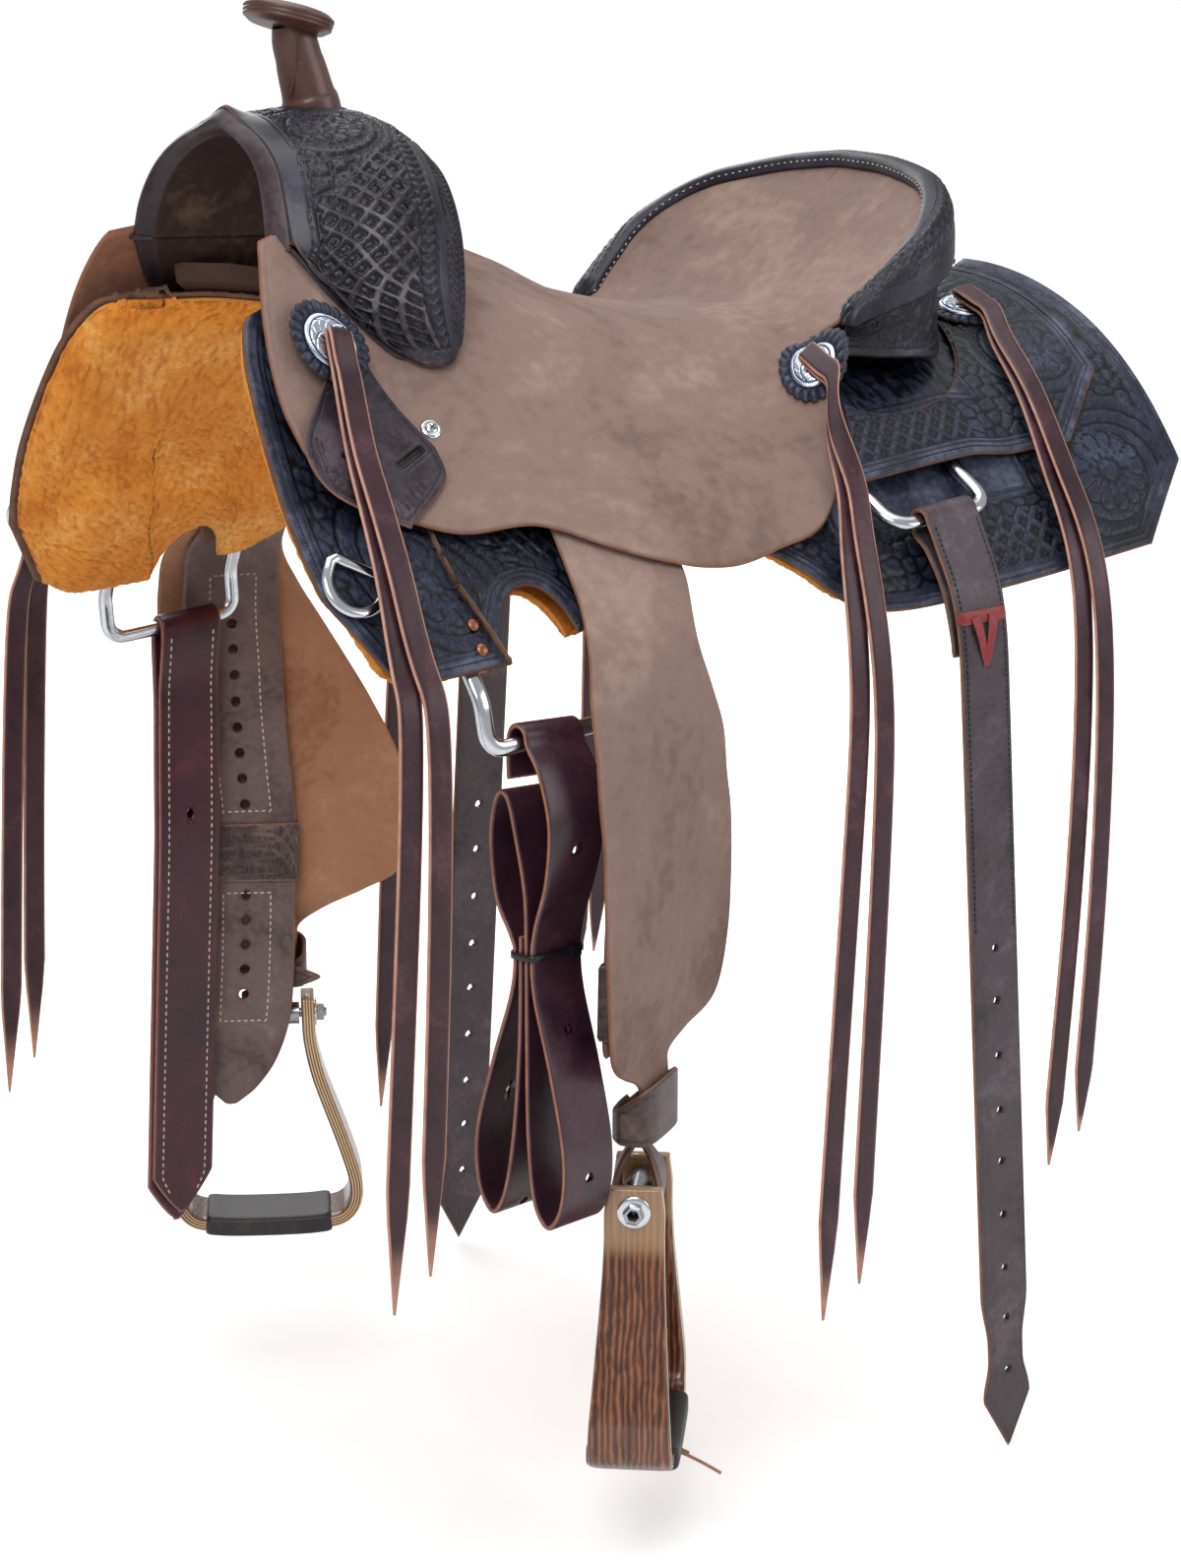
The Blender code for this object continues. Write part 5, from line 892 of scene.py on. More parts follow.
def sweep(name, path, side, up, section, look, closed=False, values=None):
    """A section of (side, up) offsets carried along a path; offsets may change row by row."""
    path, side, up = (np.asarray(a, float) for a in (path, side, up))
    side = np.broadcast_to(side, path.shape)
    up = np.broadcast_to(up, path.shape)
    section = np.asarray(section, float)
    if section.ndim == 2:
        section = np.broadcast_to(section, (len(path),) + section.shape)
    points = path[:, None] + side[:, None] * section[..., :1] + up[:, None] * section[..., 1:2]
    rows, count = points.shape[:2]
    index = closed_grid(rows, count)
    if closed:
        index = np.concatenate([index, index[:1]], 0)
    faces = quads(index, False).tolist()
    points = points.reshape(-1, 3)
    full = {"along": np.repeat(lengths(path), count), "side": section[..., 0].ravel(),
            "through": section[..., 1].ravel()}
    for key, value in (values or {}).items():
        full[key] = np.broadcast_to(value, (rows, count)).ravel()
    if not closed:
        extra = []
        for row, turn in ((0, 1), (rows - 1, -1)):
            ring = np.arange(count) + row * count
            extra.append(points[ring].mean(0))
            hub = len(points) + len(extra) - 1
            for j in range(count):
                tri = (ring[j], ring[(j + 1) % count], hub)
                faces.append(tri[::turn])
        points = np.vstack([points, extra])
        for key in full:
            full[key] = np.concatenate([full[key], [full[key][0], full[key][-1]]])
    made = mesh_object(name, points, [tuple(f) for f in faces], look, full)
    return turn_outward(made, Vector(points.mean(0)), 7)


def carried(path, start_up):
    """Side and up directions along a path, turned as little as possible."""
    tangent = unit(np.gradient(np.asarray(path, float), axis=0))
    ups = np.zeros(tangent.shape)
    up = np.asarray(start_up, float)
    for k, t in enumerate(tangent):
        up = up - t * np.dot(up, t)
        up = up / np.linalg.norm(up)
        ups[k] = up
    return np.cross(tangent, ups), ups


def tube(name, path, radius, look, start_up=(0, 0, 1), closed=False, steps=16, flat=1.0):
    """A round bar along a path; flat below 1 makes it an oval."""
    side, up = carried(path, start_up)
    t = np.linspace(0, 2 * math.pi, steps, endpoint=False)
    section = np.stack([np.cos(t) * radius, np.sin(t) * radius * flat], -1)
    return sweep(name, path, side, up, section, look, closed)


def lathe(name, profile, matrix, look, steps=72):
    """A turned solid: (radius, height) pairs, from its top down its outer side."""
    profile = np.asarray(profile, float)
    t = np.linspace(0, 2 * math.pi, steps, endpoint=False)
    ring = np.stack([np.cos(t), np.sin(t)], -1)
    points = np.concatenate([profile[:, None, :1] * ring[None], np.broadcast_to(
        profile[:, None, 1:2], (len(profile), steps, 1))], -1)
    rotate = np.array(matrix.to_3x3())
    points = points @ rotate.T + np.array(matrix.translation)
    values = {"along": np.repeat(lengths(profile), steps), "turn": np.tile(t, len(profile)),
              "high": np.repeat(profile[:, 1], steps)}
    faces = quads(closed_grid(len(profile), steps), True).tolist()
    made = mesh_object(name, points, faces, look, values)
    return turn_outward(made, Vector(points.reshape(-1, 3).mean(0)), 5)


def beads(name, points, directions, ups, length, radius, look, lift=0.0):
    """Stitches: one rounded grain of thread at each point, lying along its direction."""
    t = np.linspace(0, math.pi, 6)[1:-1]
    s = np.linspace(0, 2 * math.pi, 6, endpoint=False)
    grain = [(-length / 2, 0.0, 0.0)]
    grain += [(-math.cos(a) * length / 2, math.sin(a)**0.6 * radius * math.cos(b),
               math.sin(a)**0.6 * radius * math.sin(b)) for a in t for b in s]
    grain.append((length / 2, 0.0, 0.0))
    grain = np.array(grain)
    rows, ring = len(t), len(s)
    faces = []
    for j in range(ring):
        k = (j + 1) % ring
        faces.append((0, 1 + k, 1 + j, 1 + j))
        last = 1 + (rows - 1) * ring
        faces.append((last + j, last + k, len(grain) - 1, len(grain) - 1))
        for i in range(rows - 1):
            a = 1 + i * ring
            faces.append((a + j, a + k, a + ring + k, a + ring + j))
    points, directions, ups = (np.asarray(a, float) for a in (points, directions, ups))
    directions = unit(directions)
    ups = unit(ups - directions * np.sum(ups * directions, -1, keepdims=True))
    sides = np.cross(directions, ups)
    made = (points[:, None] + ups[:, None] * lift + directions[:, None] * grain[None, :, :1]
            + sides[:, None] * grain[None, :, 1:2] + ups[:, None] * grain[None, :, 2:3])
    every = []
    for k in range(len(points)):
        for f in faces:
            f = tuple(dict.fromkeys(v + k * len(grain) for v in f))
            every.append(f)
    return mesh_object(name, made.reshape(-1, 3), every, look)


def stitches(name, line, normals, inward, pitch, look, length, radius, lift):
    """Stitches spaced along a line of points that is moved inward over a surface."""
    line = np.asarray(line, float) + np.asarray(inward, float)
    along = lengths(line)
    count = max(int(along[-1] / pitch), 1)
    at = (np.arange(count) + 0.5) * along[-1] / count

    def sampled(rows):
        return np.stack([np.interp(at, along, rows[:, k]) for k in range(3)], 1)
    return beads(name, sampled(line), sampled(np.gradient(line, axis=0)),
                 sampled(np.broadcast_to(normals, line.shape)), length, radius, look, lift)


# Carving: heights from 0 (cut away) to 1 (left standing)

def hashed(a, b, seed):
    """A number from 0 to 1 for each cell: the fractional part of a large sine."""
    h = np.sin(a * 127.1 + b * 311.7 + seed * 74.7) * 43758.5453
    return h - np.floor(h)


def cells(u, v, size, seed):
    """Distances to the two nearest of a field of scattered points, and the nearest's tag."""
    gu, gv = u / size, v / size
    best = np.full(np.shape(u), 9.0)
    second, tag, du, dv = best.copy(), best * 0, best * 0, best * 0
    for i in (-1, 0, 1):
        for j in (-1, 0, 1):
            a, b = np.floor(gu) + i, np.floor(gv) + j
            pu = a + 0.12 + 0.76 * hashed(a, b, seed)
            pv = b + 0.12 + 0.76 * hashed(b, a, seed + 3)
            d = np.hypot(gu - pu, gv - pv)
            near = d < best
            second = np.where(near, best, np.minimum(second, d))
            best = np.where(near, d, best)
            tag = np.where(near, hashed(a, b, seed + 7), tag)
            du, dv = np.where(near, gu - pu, du), np.where(near, gv - pv, dv)
    return best, second, tag, du, dv


def bump_noise(u, v, size, seed):
    """Smooth noise from 0 to 1: hashed corners of a square net, blended."""
    gu, gv = u / size, v / size
    a, b = np.floor(gu), np.floor(gv)
    s, t = gu - a, gv - b
    s, t = s * s * (3 - 2 * s), t * t * (3 - 2 * t)
    low = hashed(a, b, seed) * (1 - s) + hashed(a + 1, b, seed) * s
    high = hashed(a, b + 1, seed) * (1 - s) + hashed(a + 1, b + 1, seed) * s
    return low * (1 - t) + high * t


def leafy(u, v, size, seed):
    """Overlapping leaves: rounded lobes with cut veins, and deep cuts between them."""
    wu = u + 0.35 * size * (bump_noise(u, v, size * 1.1, seed) - 0.5)
    wv = v + 0.35 * size * (bump_noise(u, v, size * 1.1, seed + 5) - 0.5)
    best, second, tag, du, dv = cells(wu, wv, size, seed)
    turn = tag * 2 * math.pi
    along = du * np.cos(turn) + dv * np.sin(turn)
    across = -du * np.sin(turn) + dv * np.cos(turn)
    lobe = smoothstep(second - best, 0.03, 0.26)
    rib = smoothstep(np.abs(across), 0.015, 0.06)
    veins = smoothstep(np.abs(np.sin((along + np.abs(across) * 1.3) * 11.0)), 0.10, 0.45)
    side = 0.68 + 0.32 * smoothstep(across, -0.35, 0.35)
    return lobe * (0.30 + 0.70 * rib * (0.45 + 0.55 * veins)) * side


def flower(u, v, radius, petals=11, turn=0.0):
    """A dahlia: two rings of veined petals round a hatched heart; and how much of it is here."""
    r = np.hypot(u, v) / radius
    t = np.arctan2(v, u) + turn
    outer = np.abs(np.cos(petals * t / 2))
    inner = np.abs(np.sin(petals * t / 2))
    reach = 0.80 + 0.20 * outer**0.5
    ring = smoothstep(reach - r, 0.0, 0.06)
    cut = smoothstep(outer, 0.06, 0.42)
    veins = smoothstep(np.abs(np.sin(petals * t * 2.5)), 0.05, 0.5)
    body = (0.42 + 0.58 * smoothstep(r, 0.30, 0.80)) * cut * (0.55 + 0.45 * veins)
    near = smoothstep(0.50 + 0.10 * inner**0.5 - r, 0.0, 0.05)
    young = (0.35 + 0.6 * smoothstep(r, 0.22, 0.52)) * smoothstep(inner, 0.08, 0.45)
    body = body * (1 - near) + young * near
    heart = smoothstep(0.235 - r, 0.0, 0.03)
    hatch = smoothstep(np.abs(np.sin(u * 2400)), 0.1, 0.5)
    body = body * (1 - heart) + heart * (0.5 + 0.5 * hatch)
    return body * ring, smoothstep(reach - r, -0.07, 0.0)


def scrolls(u, v, radius):
    """Stems and leaves that wind round a flower: a serrated spiral band, cut with veins."""
    r = np.hypot(u, v)
    t = np.arctan2(v, u)
    spin = (r - radius) / 0.0125 - t / (2 * math.pi) * 2
    band = spin - np.floor(spin)
    serr = 0.10 * np.abs(np.sin(t * 11 + r * 260))
    body = smoothstep(band, 0.04, 0.16) * (1 - smoothstep(band, 0.74 + serr, 0.90 + serr))
    stem = smoothstep(np.abs(band - 0.30), 0.02, 0.07)
    veins = smoothstep(np.abs(np.sin(t * 23 - band * 5.0)), 0.10, 0.5)
    return body * (0.35 + 0.65 * stem * (0.5 + 0.5 * veins))


def lattice(u, v, pitch_u, pitch_v):
    """A net of flat bars round deep diamonds, each with a low pyramid in it."""
    a = u / pitch_u + v / pitch_v
    b = u / pitch_u - v / pitch_v
    fa = np.abs(a - np.round(a))
    fb = np.abs(b - np.round(b))
    bar = 1 - smoothstep(np.minimum(fa, fb), 0.120, 0.165)
    deep = smoothstep(np.minimum(fa, fb), 0.25, 0.50)
    return np.maximum(bar, 0.56 * deep)


def braid(run, across, pitch):
    """A band of slanted strokes that meet in the middle."""
    phase = run / pitch + np.abs(across) * 0.9
    return 0.25 + 0.75 * smoothstep(np.abs(np.sin(math.pi * phase)), 0.15, 0.7)


def beveled(edge, at, width=0.0009):
    """A cut line at a distance from the edge."""
    return 1 - np.exp(-((edge - at) / width)**2)


# Looks

def srgb(r, g, b):
    """A colour in linear light from 0 to 255 values."""
    return tuple((c / 255 / 12.92 if c <= 10 else ((c / 255 + 0.055) / 1.055)**2.4)
                 for c in (r, g, b)) + (1.0,)


def feed(tree, socket, value):
    """Link a socket to another one, or set its constant."""
    if isinstance(value, bpy.types.NodeSocket):
        tree.links.new(value, socket)
    else:
        socket.default_value = value


def node(tree, kind, put=None, **settings):
    """A shader node with its settings, and its inputs given as constants or as sockets."""
    made = tree.nodes.new("ShaderNode" + kind)
    for key, value in settings.items():
        setattr(made, key, value)
    for key, value in (put or {}).items():
        feed(tree, made.inputs[key], value)
    return made


def mixed(tree, factor, a, b):
    """Colour a where the factor is 0, colour b where it is 1."""
    made = node(tree, "Mix", {"Factor": factor}, data_type="RGBA")
    for socket, value in zip([s for s in made.inputs if s.type == "RGBA"], (a, b)):
        feed(tree, socket, value)
    return [s for s in made.outputs if s.type == "RGBA"][0]


def spread(tree, value, low, high, to_low=0.0, to_high=1.0):
    """A value's range from low to high as to_low to to_high, eased by a smoothstep."""
    return node(tree, "MapRange", {"Value": value, "From Min": low, "From Max": high,
                                   "To Min": to_low, "To Max": to_high},
                interpolation_type="SMOOTHSTEP").outputs["Result"]


def attribute(tree, name):
    """A point attribute's value in a material."""
    return node(tree, "Attribute", attribute_name=name).outputs["Fac"]


def maths(tree, operation, a, b=0.0):
    """A sum, product or other operation of two values in a material."""
    return node(tree, "Math", {0: a, 1: b}, operation=operation).outputs[0]


def group(name, inputs, outputs, build):
    """A node group with named inputs (name, kind, value) and outputs (name, kind)."""
    tree = bpy.data.node_groups.new(name, "ShaderNodeTree")
    for key, kind, value in inputs:
        socket = tree.interface.new_socket(key, in_out="INPUT", socket_type="NodeSocket" + kind)
        if value is not None:
            socket.default_value = value
    for key, kind in outputs:
        tree.interface.new_socket(key, in_out="OUTPUT", socket_type="NodeSocket" + kind)
    given = tree.nodes.new("NodeGroupInput")
    result = tree.nodes.new("NodeGroupOutput")
    for key, socket in build(tree, given.outputs).items():
        tree.links.new(socket, result.inputs[key])
    return tree


def use(tree, which, **inputs):
    """A node group in a material, with its inputs set; returns its outputs."""
    made = tree.nodes.new("ShaderNodeGroup")
    made.node_tree = which
    put(tree, made, **inputs)
    return made.outputs


def build_mottle(tree, given):
    """Three sizes of noise between a dark, a middle and a light tone."""
    place_at = given["Position"]
    wide = node(tree, "TexNoise", {"Vector": place_at, "Scale": given["Scale"], "Detail": 5.0,
                                   "Roughness": 0.62, "Distortion": 0.6}).outputs["Fac"]
    fine = node(tree, "TexNoise", {"Vector": place_at, "Scale": maths(
        tree, "MULTIPLY", given["Scale"], 14.0), "Detail": 3.0}).outputs["Fac"]
    amount = maths(tree, "ADD", maths(tree, "MULTIPLY", wide, 0.78),
                   maths(tree, "MULTIPLY", fine, 0.22))
    low = spread(tree, amount, 0.34, 0.50)
    high = spread(tree, amount, 0.50, 0.66)
    colour = mixed(tree, high, mixed(tree, low, given["Dark"], given["Middle"]), given["Light"])
    return {"Color": colour, "Amount": amount}


def build_grain(tree, given):
    """Fine pores and pebbles of leather as a height."""
    pebble = node(tree, "TexVoronoi", {"Vector": given["Position"], "Scale": given["Scale"]},
                  feature="SMOOTH_F1").outputs["Distance"]
    soft = node(tree, "TexNoise", {"Vector": given["Position"], "Scale": maths(
        tree, "MULTIPLY", given["Scale"], 0.16), "Detail": 4.0}).outputs["Fac"]
    return {"Height": maths(tree, "ADD", maths(tree, "MULTIPLY", pebble, 0.5), soft)}


def build_scuffs(tree, given):
    """Sparse thin creases, dark and light, that run every way over rough leather."""
    bent = node(tree, "TexNoise", {"Vector": given["Position"], "Scale": 9.0, "Detail": 3.0}
                ).outputs["Color"]
    moved = node(tree, "VectorMath", {0: given["Position"], 1: node(
        tree, "VectorMath", {0: bent, "Scale": 0.06}, operation="SCALE").outputs["Vector"]},
        operation="ADD").outputs["Vector"]
    lines = node(tree, "TexVoronoi", {"Vector": moved, "Scale": given["Scale"]},
                 feature="DISTANCE_TO_EDGE").outputs["Distance"]
    some = node(tree, "TexNoise", {"Vector": given["Position"], "Scale": 14.0, "Detail": 2.0}
                ).outputs["Fac"]
    mask = maths(tree, "MULTIPLY", spread(tree, lines, 0.0, 0.03, 1.0, 0.0),
                 spread(tree, some, 0.52, 0.66))
    return {"Mask": mask}


def build_wood(tree, given):
    """Long rays of figure along the wood, with a fine pore grain."""
    stretched = node(tree, "Mapping", {"Vector": given["Position"], "Scale": given["Stretch"]})
    figure = node(tree, "TexNoise", {"Vector": stretched.outputs["Vector"], "Scale": 9.0,
                                     "Detail": 6.0, "Distortion": 1.4}).outputs["Fac"]
    bands = node(tree, "TexWave", {"Vector": stretched.outputs["Vector"], "Scale": 5.0,
                                   "Distortion": 7.0, "Detail": 3.0}).outputs["Fac"]
    amount = maths(tree, "ADD", maths(tree, "MULTIPLY", figure, 0.65),
                   maths(tree, "MULTIPLY", bands, 0.35))
    colour = mixed(tree, spread(tree, amount, 0.52, 0.72), mixed(
        tree, spread(tree, amount, 0.30, 0.52), given["Dark"], given["Middle"]), given["Light"])
    return {"Color": colour, "Amount": amount}


def build_raw_edge(tree, given):
    """Colour of the raw edge where the face mask falls away, with burnished patches."""
    patchy = node(tree, "TexNoise", {"Vector": given["Position"], "Scale": 90.0, "Detail": 3.0}
                  ).outputs["Fac"]
    raw = mixed(tree, patchy, given["Dark edge"], given["Edge"])
    mask = spread(tree, given["Face"], 0.30, 0.85, 1.0, 0.0)
    return {"Color": mixed(tree, mask, given["Color"], raw), "Mask": mask}


THREE = [("Position", "Vector", None), ("Scale", "Float", 20.0), ("Dark", "Color", None),
         ("Middle", "Color", None), ("Light", "Color", None)]
mottle = group("mottled_tones", THREE, [("Color", "Color"), ("Amount", "Float")], build_mottle)
grain = group("leather_grain", THREE[:2], [("Height", "Float")], build_grain)
scuffs = group("scuffs", THREE[:2], [("Mask", "Float")], build_scuffs)
wood_figure = group("wood_figure", [THREE[0], ("Stretch", "Vector", (1.0, 1.0, 1.0))] + THREE[2:],
                    [("Color", "Color"), ("Amount", "Float")], build_wood)
raw_edge = group("raw_edge", [THREE[0], ("Face", "Float", 1.0), ("Color", "Color", None),
                              ("Edge", "Color", None), ("Dark edge", "Color", None)],
                 [("Color", "Color"), ("Mask", "Float")], build_raw_edge)


def new_look(name):
    """A material with its tree, its shader, and the object's own coordinates."""
    look = bpy.data.materials.new(name)
    look.use_nodes = True
    tree = look.node_tree
    tree.nodes.clear()
    shader = node(tree, "BsdfPrincipled")
    out = node(tree, "OutputMaterial")
    tree.links.new(shader.outputs["BSDF"], out.inputs["Surface"])
    where = node(tree, "TexCoord").outputs["Object"]
    return look, tree, shader, where


def put(tree, shader, **inputs):
    """Set or link a node's inputs; an underscore stands for a space in their names."""
    for key, value in inputs.items():
        feed(tree, shader.inputs[key.replace("_", " ")], value)


def bumped(tree, height, distance, strength=1.0):
    """A normal bumped by a height."""
    return node(tree, "Bump", {"Height": height, "Distance": distance, "Strength": strength}
                ).outputs["Normal"]


def leather_look(name, dark, middle, light, edge, dark_edge, roughness, scale=14.0,
                 grain_depth=0.00025, coat=0.0, carved=None, scuffed=0.0, specular=0.5):
    """Leather: mottled tones, carving from the carve attribute with painted shade in its recesses
    and a painted highlight on its tops, raw edges from the face one.
    """
    look, tree, shader, where = new_look(name)
    tones = use(tree, mottle, Position=where, Scale=scale, Dark=dark, Middle=middle, Light=light)
    colour = tones["Color"]
    if carved is not None:
        height = attribute(tree, "carve")
        # carved holds two colours: a painted shade for the carving's recesses, and a painted
        # highlight for its standing tops
        low, painted_highlight = carved
        # painted shade: the lower the carving, the nearer its colour comes to the dark recess
        # colour
        colour = mixed(tree, spread(tree, height, 0.14, 0.70), low, colour)
        # painted highlight on the highest tops, where the mottle is light
        shine = maths(tree, "MULTIPLY", spread(tree, height, 0.88, 1.0), spread(
            tree, tones["Amount"], 0.44, 0.62))
        colour = mixed(tree, maths(tree, "MULTIPLY", shine, 0.55), colour, painted_highlight)
        # veins cut on the slopes, darkened with the same painted shade and bumped in
        cuts = node(tree, "TexWave", {"Vector": where, "Scale": 62.0, "Distortion": 16.0,
                                      "Detail": 3.0, "Detail Scale": 1.4}).outputs["Fac"]
        inside = maths(tree, "MULTIPLY", spread(tree, height, 0.62, 0.70),
                       spread(tree, height, 0.80, 0.87, 1.0, 0.0))
        cuts = maths(tree, "MULTIPLY", spread(tree, cuts, 0.12, 0.42, 1.0, 0.0), inside)
        colour = mixed(tree, maths(tree, "MULTIPLY", cuts, 0.45), colour, low)
    if scuffed:
        marks = use(tree, scuffs, Position=where, Scale=26.0)["Mask"]
        colour = mixed(tree, maths(tree, "MULTIPLY", marks, scuffed), colour, dark)
        pale = use(tree, scuffs, Position=where, Scale=17.0)["Mask"]
        colour = mixed(tree, maths(tree, "MULTIPLY", pale, scuffed * 0.5), colour, light)
    face = attribute(tree, "face")
    edged = use(tree, raw_edge, Position=where, Face=face, Color=colour, Edge=edge,
                Dark_edge=dark_edge)
    colour = edged["Color"]
    height = use(tree, grain, Position=where, Scale=1500.0)["Height"]
    if carved is not None:
        height = maths(tree, "SUBTRACT", height, maths(tree, "MULTIPLY", cuts, 4.0))
    put(tree, shader, Base_Color=colour, Specular_IOR_Level=specular, Coat_Weight=coat,
        Coat_Roughness=0.25, Normal=bumped(tree, height, grain_depth))
    rough = maths(tree, "ADD", maths(tree, "MULTIPLY", tones["Amount"], 0.25), roughness - 0.125)
    rough = maths(tree, "ADD", rough, maths(tree, "MULTIPLY", edged["Mask"], 0.25))
    put(tree, shader, Roughness=rough)
    return look


def plain_look(name, colour, roughness, metallic=0.0, coat=0.0, depth=0.0, scale=200.0):
    """A look of one colour, a little darker and duller in cloudy places."""
    look, tree, shader, where = new_look(name)
    noise = node(tree, "TexNoise", {"Vector": where, "Scale": scale, "Detail": 4.0}).outputs["Fac"]
    tone = mixed(tree, spread(tree, noise, 0.3, 0.7, 0.0, 0.22), colour,
                 tuple(c * 0.55 for c in colour[:3]) + (1.0,))
    put(tree, shader, Base_Color=tone, Metallic=metallic, Coat_Weight=coat,
        Roughness=spread(tree, noise, 0.3, 0.7, roughness * 0.8, roughness * 1.25))
    if depth:
        put(tree, shader, Normal=bumped(tree, noise, depth))
    return look


# carved=(recess, top): a painted shade for the carving's recesses and cut veins, and a painted
# highlight for its standing tops; the swell's pair below is the same
NAVY = dict(dark=srgb(18, 20, 32), middle=srgb(34, 39, 58), light=srgb(56, 62, 84),
            edge=srgb(128, 92, 70), dark_edge=srgb(60, 38, 30), roughness=0.42, scale=16.0,
            carved=(srgb(5, 6, 12), srgb(96, 98, 116)), grain_depth=0.00012, specular=0.36)
tooled_look = leather_look("carved_navy_leather", **NAVY)
swell_look = leather_look("carved_swell_leather", **{
    **NAVY, "dark": srgb(18, 16, 24), "middle": srgb(38, 36, 48), "light": srgb(60, 58, 72),
    "carved": (srgb(5, 4, 7), srgb(126, 114, 114)), "roughness": 0.36})
lip_look = leather_look("rolled_brown_leather", srgb(28, 17, 22), srgb(48, 34, 38),
                        srgb(74, 62, 68), srgb(80, 54, 46), srgb(44, 28, 26), 0.40, 18.0,
                        specular=0.4)
lining_look = leather_look("gullet_lining", srgb(26, 13, 13), srgb(44, 27, 24), srgb(84, 66, 48),
                           srgb(80, 54, 44), srgb(44, 26, 24), 0.66, 9.0, specular=0.3)
seat_look = leather_look("roughout_leather", srgb(112, 90, 81), srgb(133, 110, 101),
                         srgb(153, 130, 120), srgb(158, 112, 90), srgb(108, 70, 54), 0.82, 7.0,
                         grain_depth=0.0005, scuffed=0.20, specular=0.25)
strap_look = leather_look("burgundy_latigo", srgb(34, 14, 26), srgb(52, 26, 38), srgb(70, 40, 52),
                          srgb(176, 122, 96), srgb(120, 66, 52), 0.36, 22.0, coat=0.15,
                          grain_depth=0.00008)
billet_look = leather_look("oxblood_latigo", srgb(38, 8, 20), srgb(58, 16, 30), srgb(78, 28, 42),
                           srgb(168, 112, 96), srgb(104, 44, 44), 0.34, 22.0, coat=0.2,
                           grain_depth=0.00008)
string_look = leather_look("brown_latigo_string", srgb(36, 15, 22), srgb(54, 27, 36),
                           srgb(76, 45, 54), srgb(206, 164, 142), srgb(150, 92, 78), 0.40, 22.0,
                           coat=0.08, grain_depth=0.00008, specular=0.36)
# carved pair: painted shade in the recesses, painted highlight on the tops
brown_look = leather_look("dark_brown_leather", srgb(40, 28, 28), srgb(66, 50, 48),
                          srgb(92, 72, 66), srgb(150, 108, 82), srgb(92, 58, 44), 0.42, 18.0,
                          carved=(srgb(22, 15, 15), srgb(112, 92, 84)))
# carved pair: painted shade in the recesses and slots, painted highlight on the tops
keeper_look = leather_look("dark_keeper_leather", srgb(24, 14, 24), srgb(46, 36, 46),
                           srgb(72, 60, 70), srgb(150, 108, 88), srgb(92, 58, 46), 0.40, 18.0,
                           carved=(srgb(12, 7, 11), srgb(84, 70, 78)), specular=0.4)
rear_billet_look = leather_look("rear_billet_leather", srgb(44, 36, 42), srgb(66, 56, 61),
                                srgb(90, 78, 84), srgb(150, 108, 84), srgb(92, 58, 44), 0.44,
                                16.0, specular=0.4)
# carved pair: painted shade in the recesses, painted highlight on the tops
rim_look = leather_look("rim_leather", srgb(20, 18, 28), srgb(36, 34, 48), srgb(58, 55, 72),
                        srgb(62, 46, 42), srgb(34, 24, 24), 0.38, 16.0,
                        carved=(srgb(5, 4, 8), srgb(84, 78, 90)), specular=0.4)
worn_look = leather_look("worn_leather", srgb(64, 50, 50), srgb(98, 80, 78), srgb(124, 104, 98),
                         srgb(150, 112, 90), srgb(86, 60, 50), 0.46, 14.0)
horn_look = leather_look("horn_leather", srgb(38, 14, 14), srgb(74, 34, 30), srgb(112, 66, 56),
                         srgb(96, 52, 40), srgb(44, 20, 16), 0.26, 34.0, coat=0.5,
                         grain_depth=0.0001)
red_look = leather_look("red_lace", srgb(92, 14, 24), srgb(122, 28, 38), srgb(150, 52, 58),
                        srgb(160, 70, 62), srgb(90, 20, 24), 0.42, 40.0)
thong_look = leather_look("tan_thong", srgb(128, 76, 60), srgb(168, 108, 88), srgb(190, 134, 112),
                          srgb(190, 140, 120), srgb(120, 72, 58), 0.6, 40.0)
steel_look = plain_look("polished_steel", srgb(214, 218, 224), 0.16, 1.0)
dark_steel_look = plain_look("nut_steel", srgb(170, 172, 178), 0.24, 1.0)
copper_look = plain_look("copper_rivet", srgb(150, 98, 78), 0.38, 1.0)
thread_look = plain_look("dark_thread", srgb(22, 20, 28), 0.6)
pale_thread_look = plain_look("pale_thread", srgb(206, 194, 180), 0.75)
black_look = plain_look("black_plastic", srgb(14, 14, 18), 0.35)
# dark brown, darker than rawhide: a painted shade for the tree's parts, seen only inside the
# gullet
shaded_tree_look = plain_look("tree_rawhide", srgb(74, 52, 40), 0.66, depth=0.0003)


def make_silver():
    """Bright cut silver: the floor of the cut is dark, the scrolls stand bright."""
    look, tree, shader, _ = new_look("engraved_silver")
    height = attribute(tree, "carve")
    colour = mixed(tree, spread(tree, height, 0.1, 0.6), srgb(70, 82, 116), srgb(216, 224, 240))
    put(tree, shader, Base_Color=colour, Metallic=1.0,
        Roughness=spread(tree, height, 0.1, 0.7, 0.45, 0.16))
    return look


silver_look = make_silver()


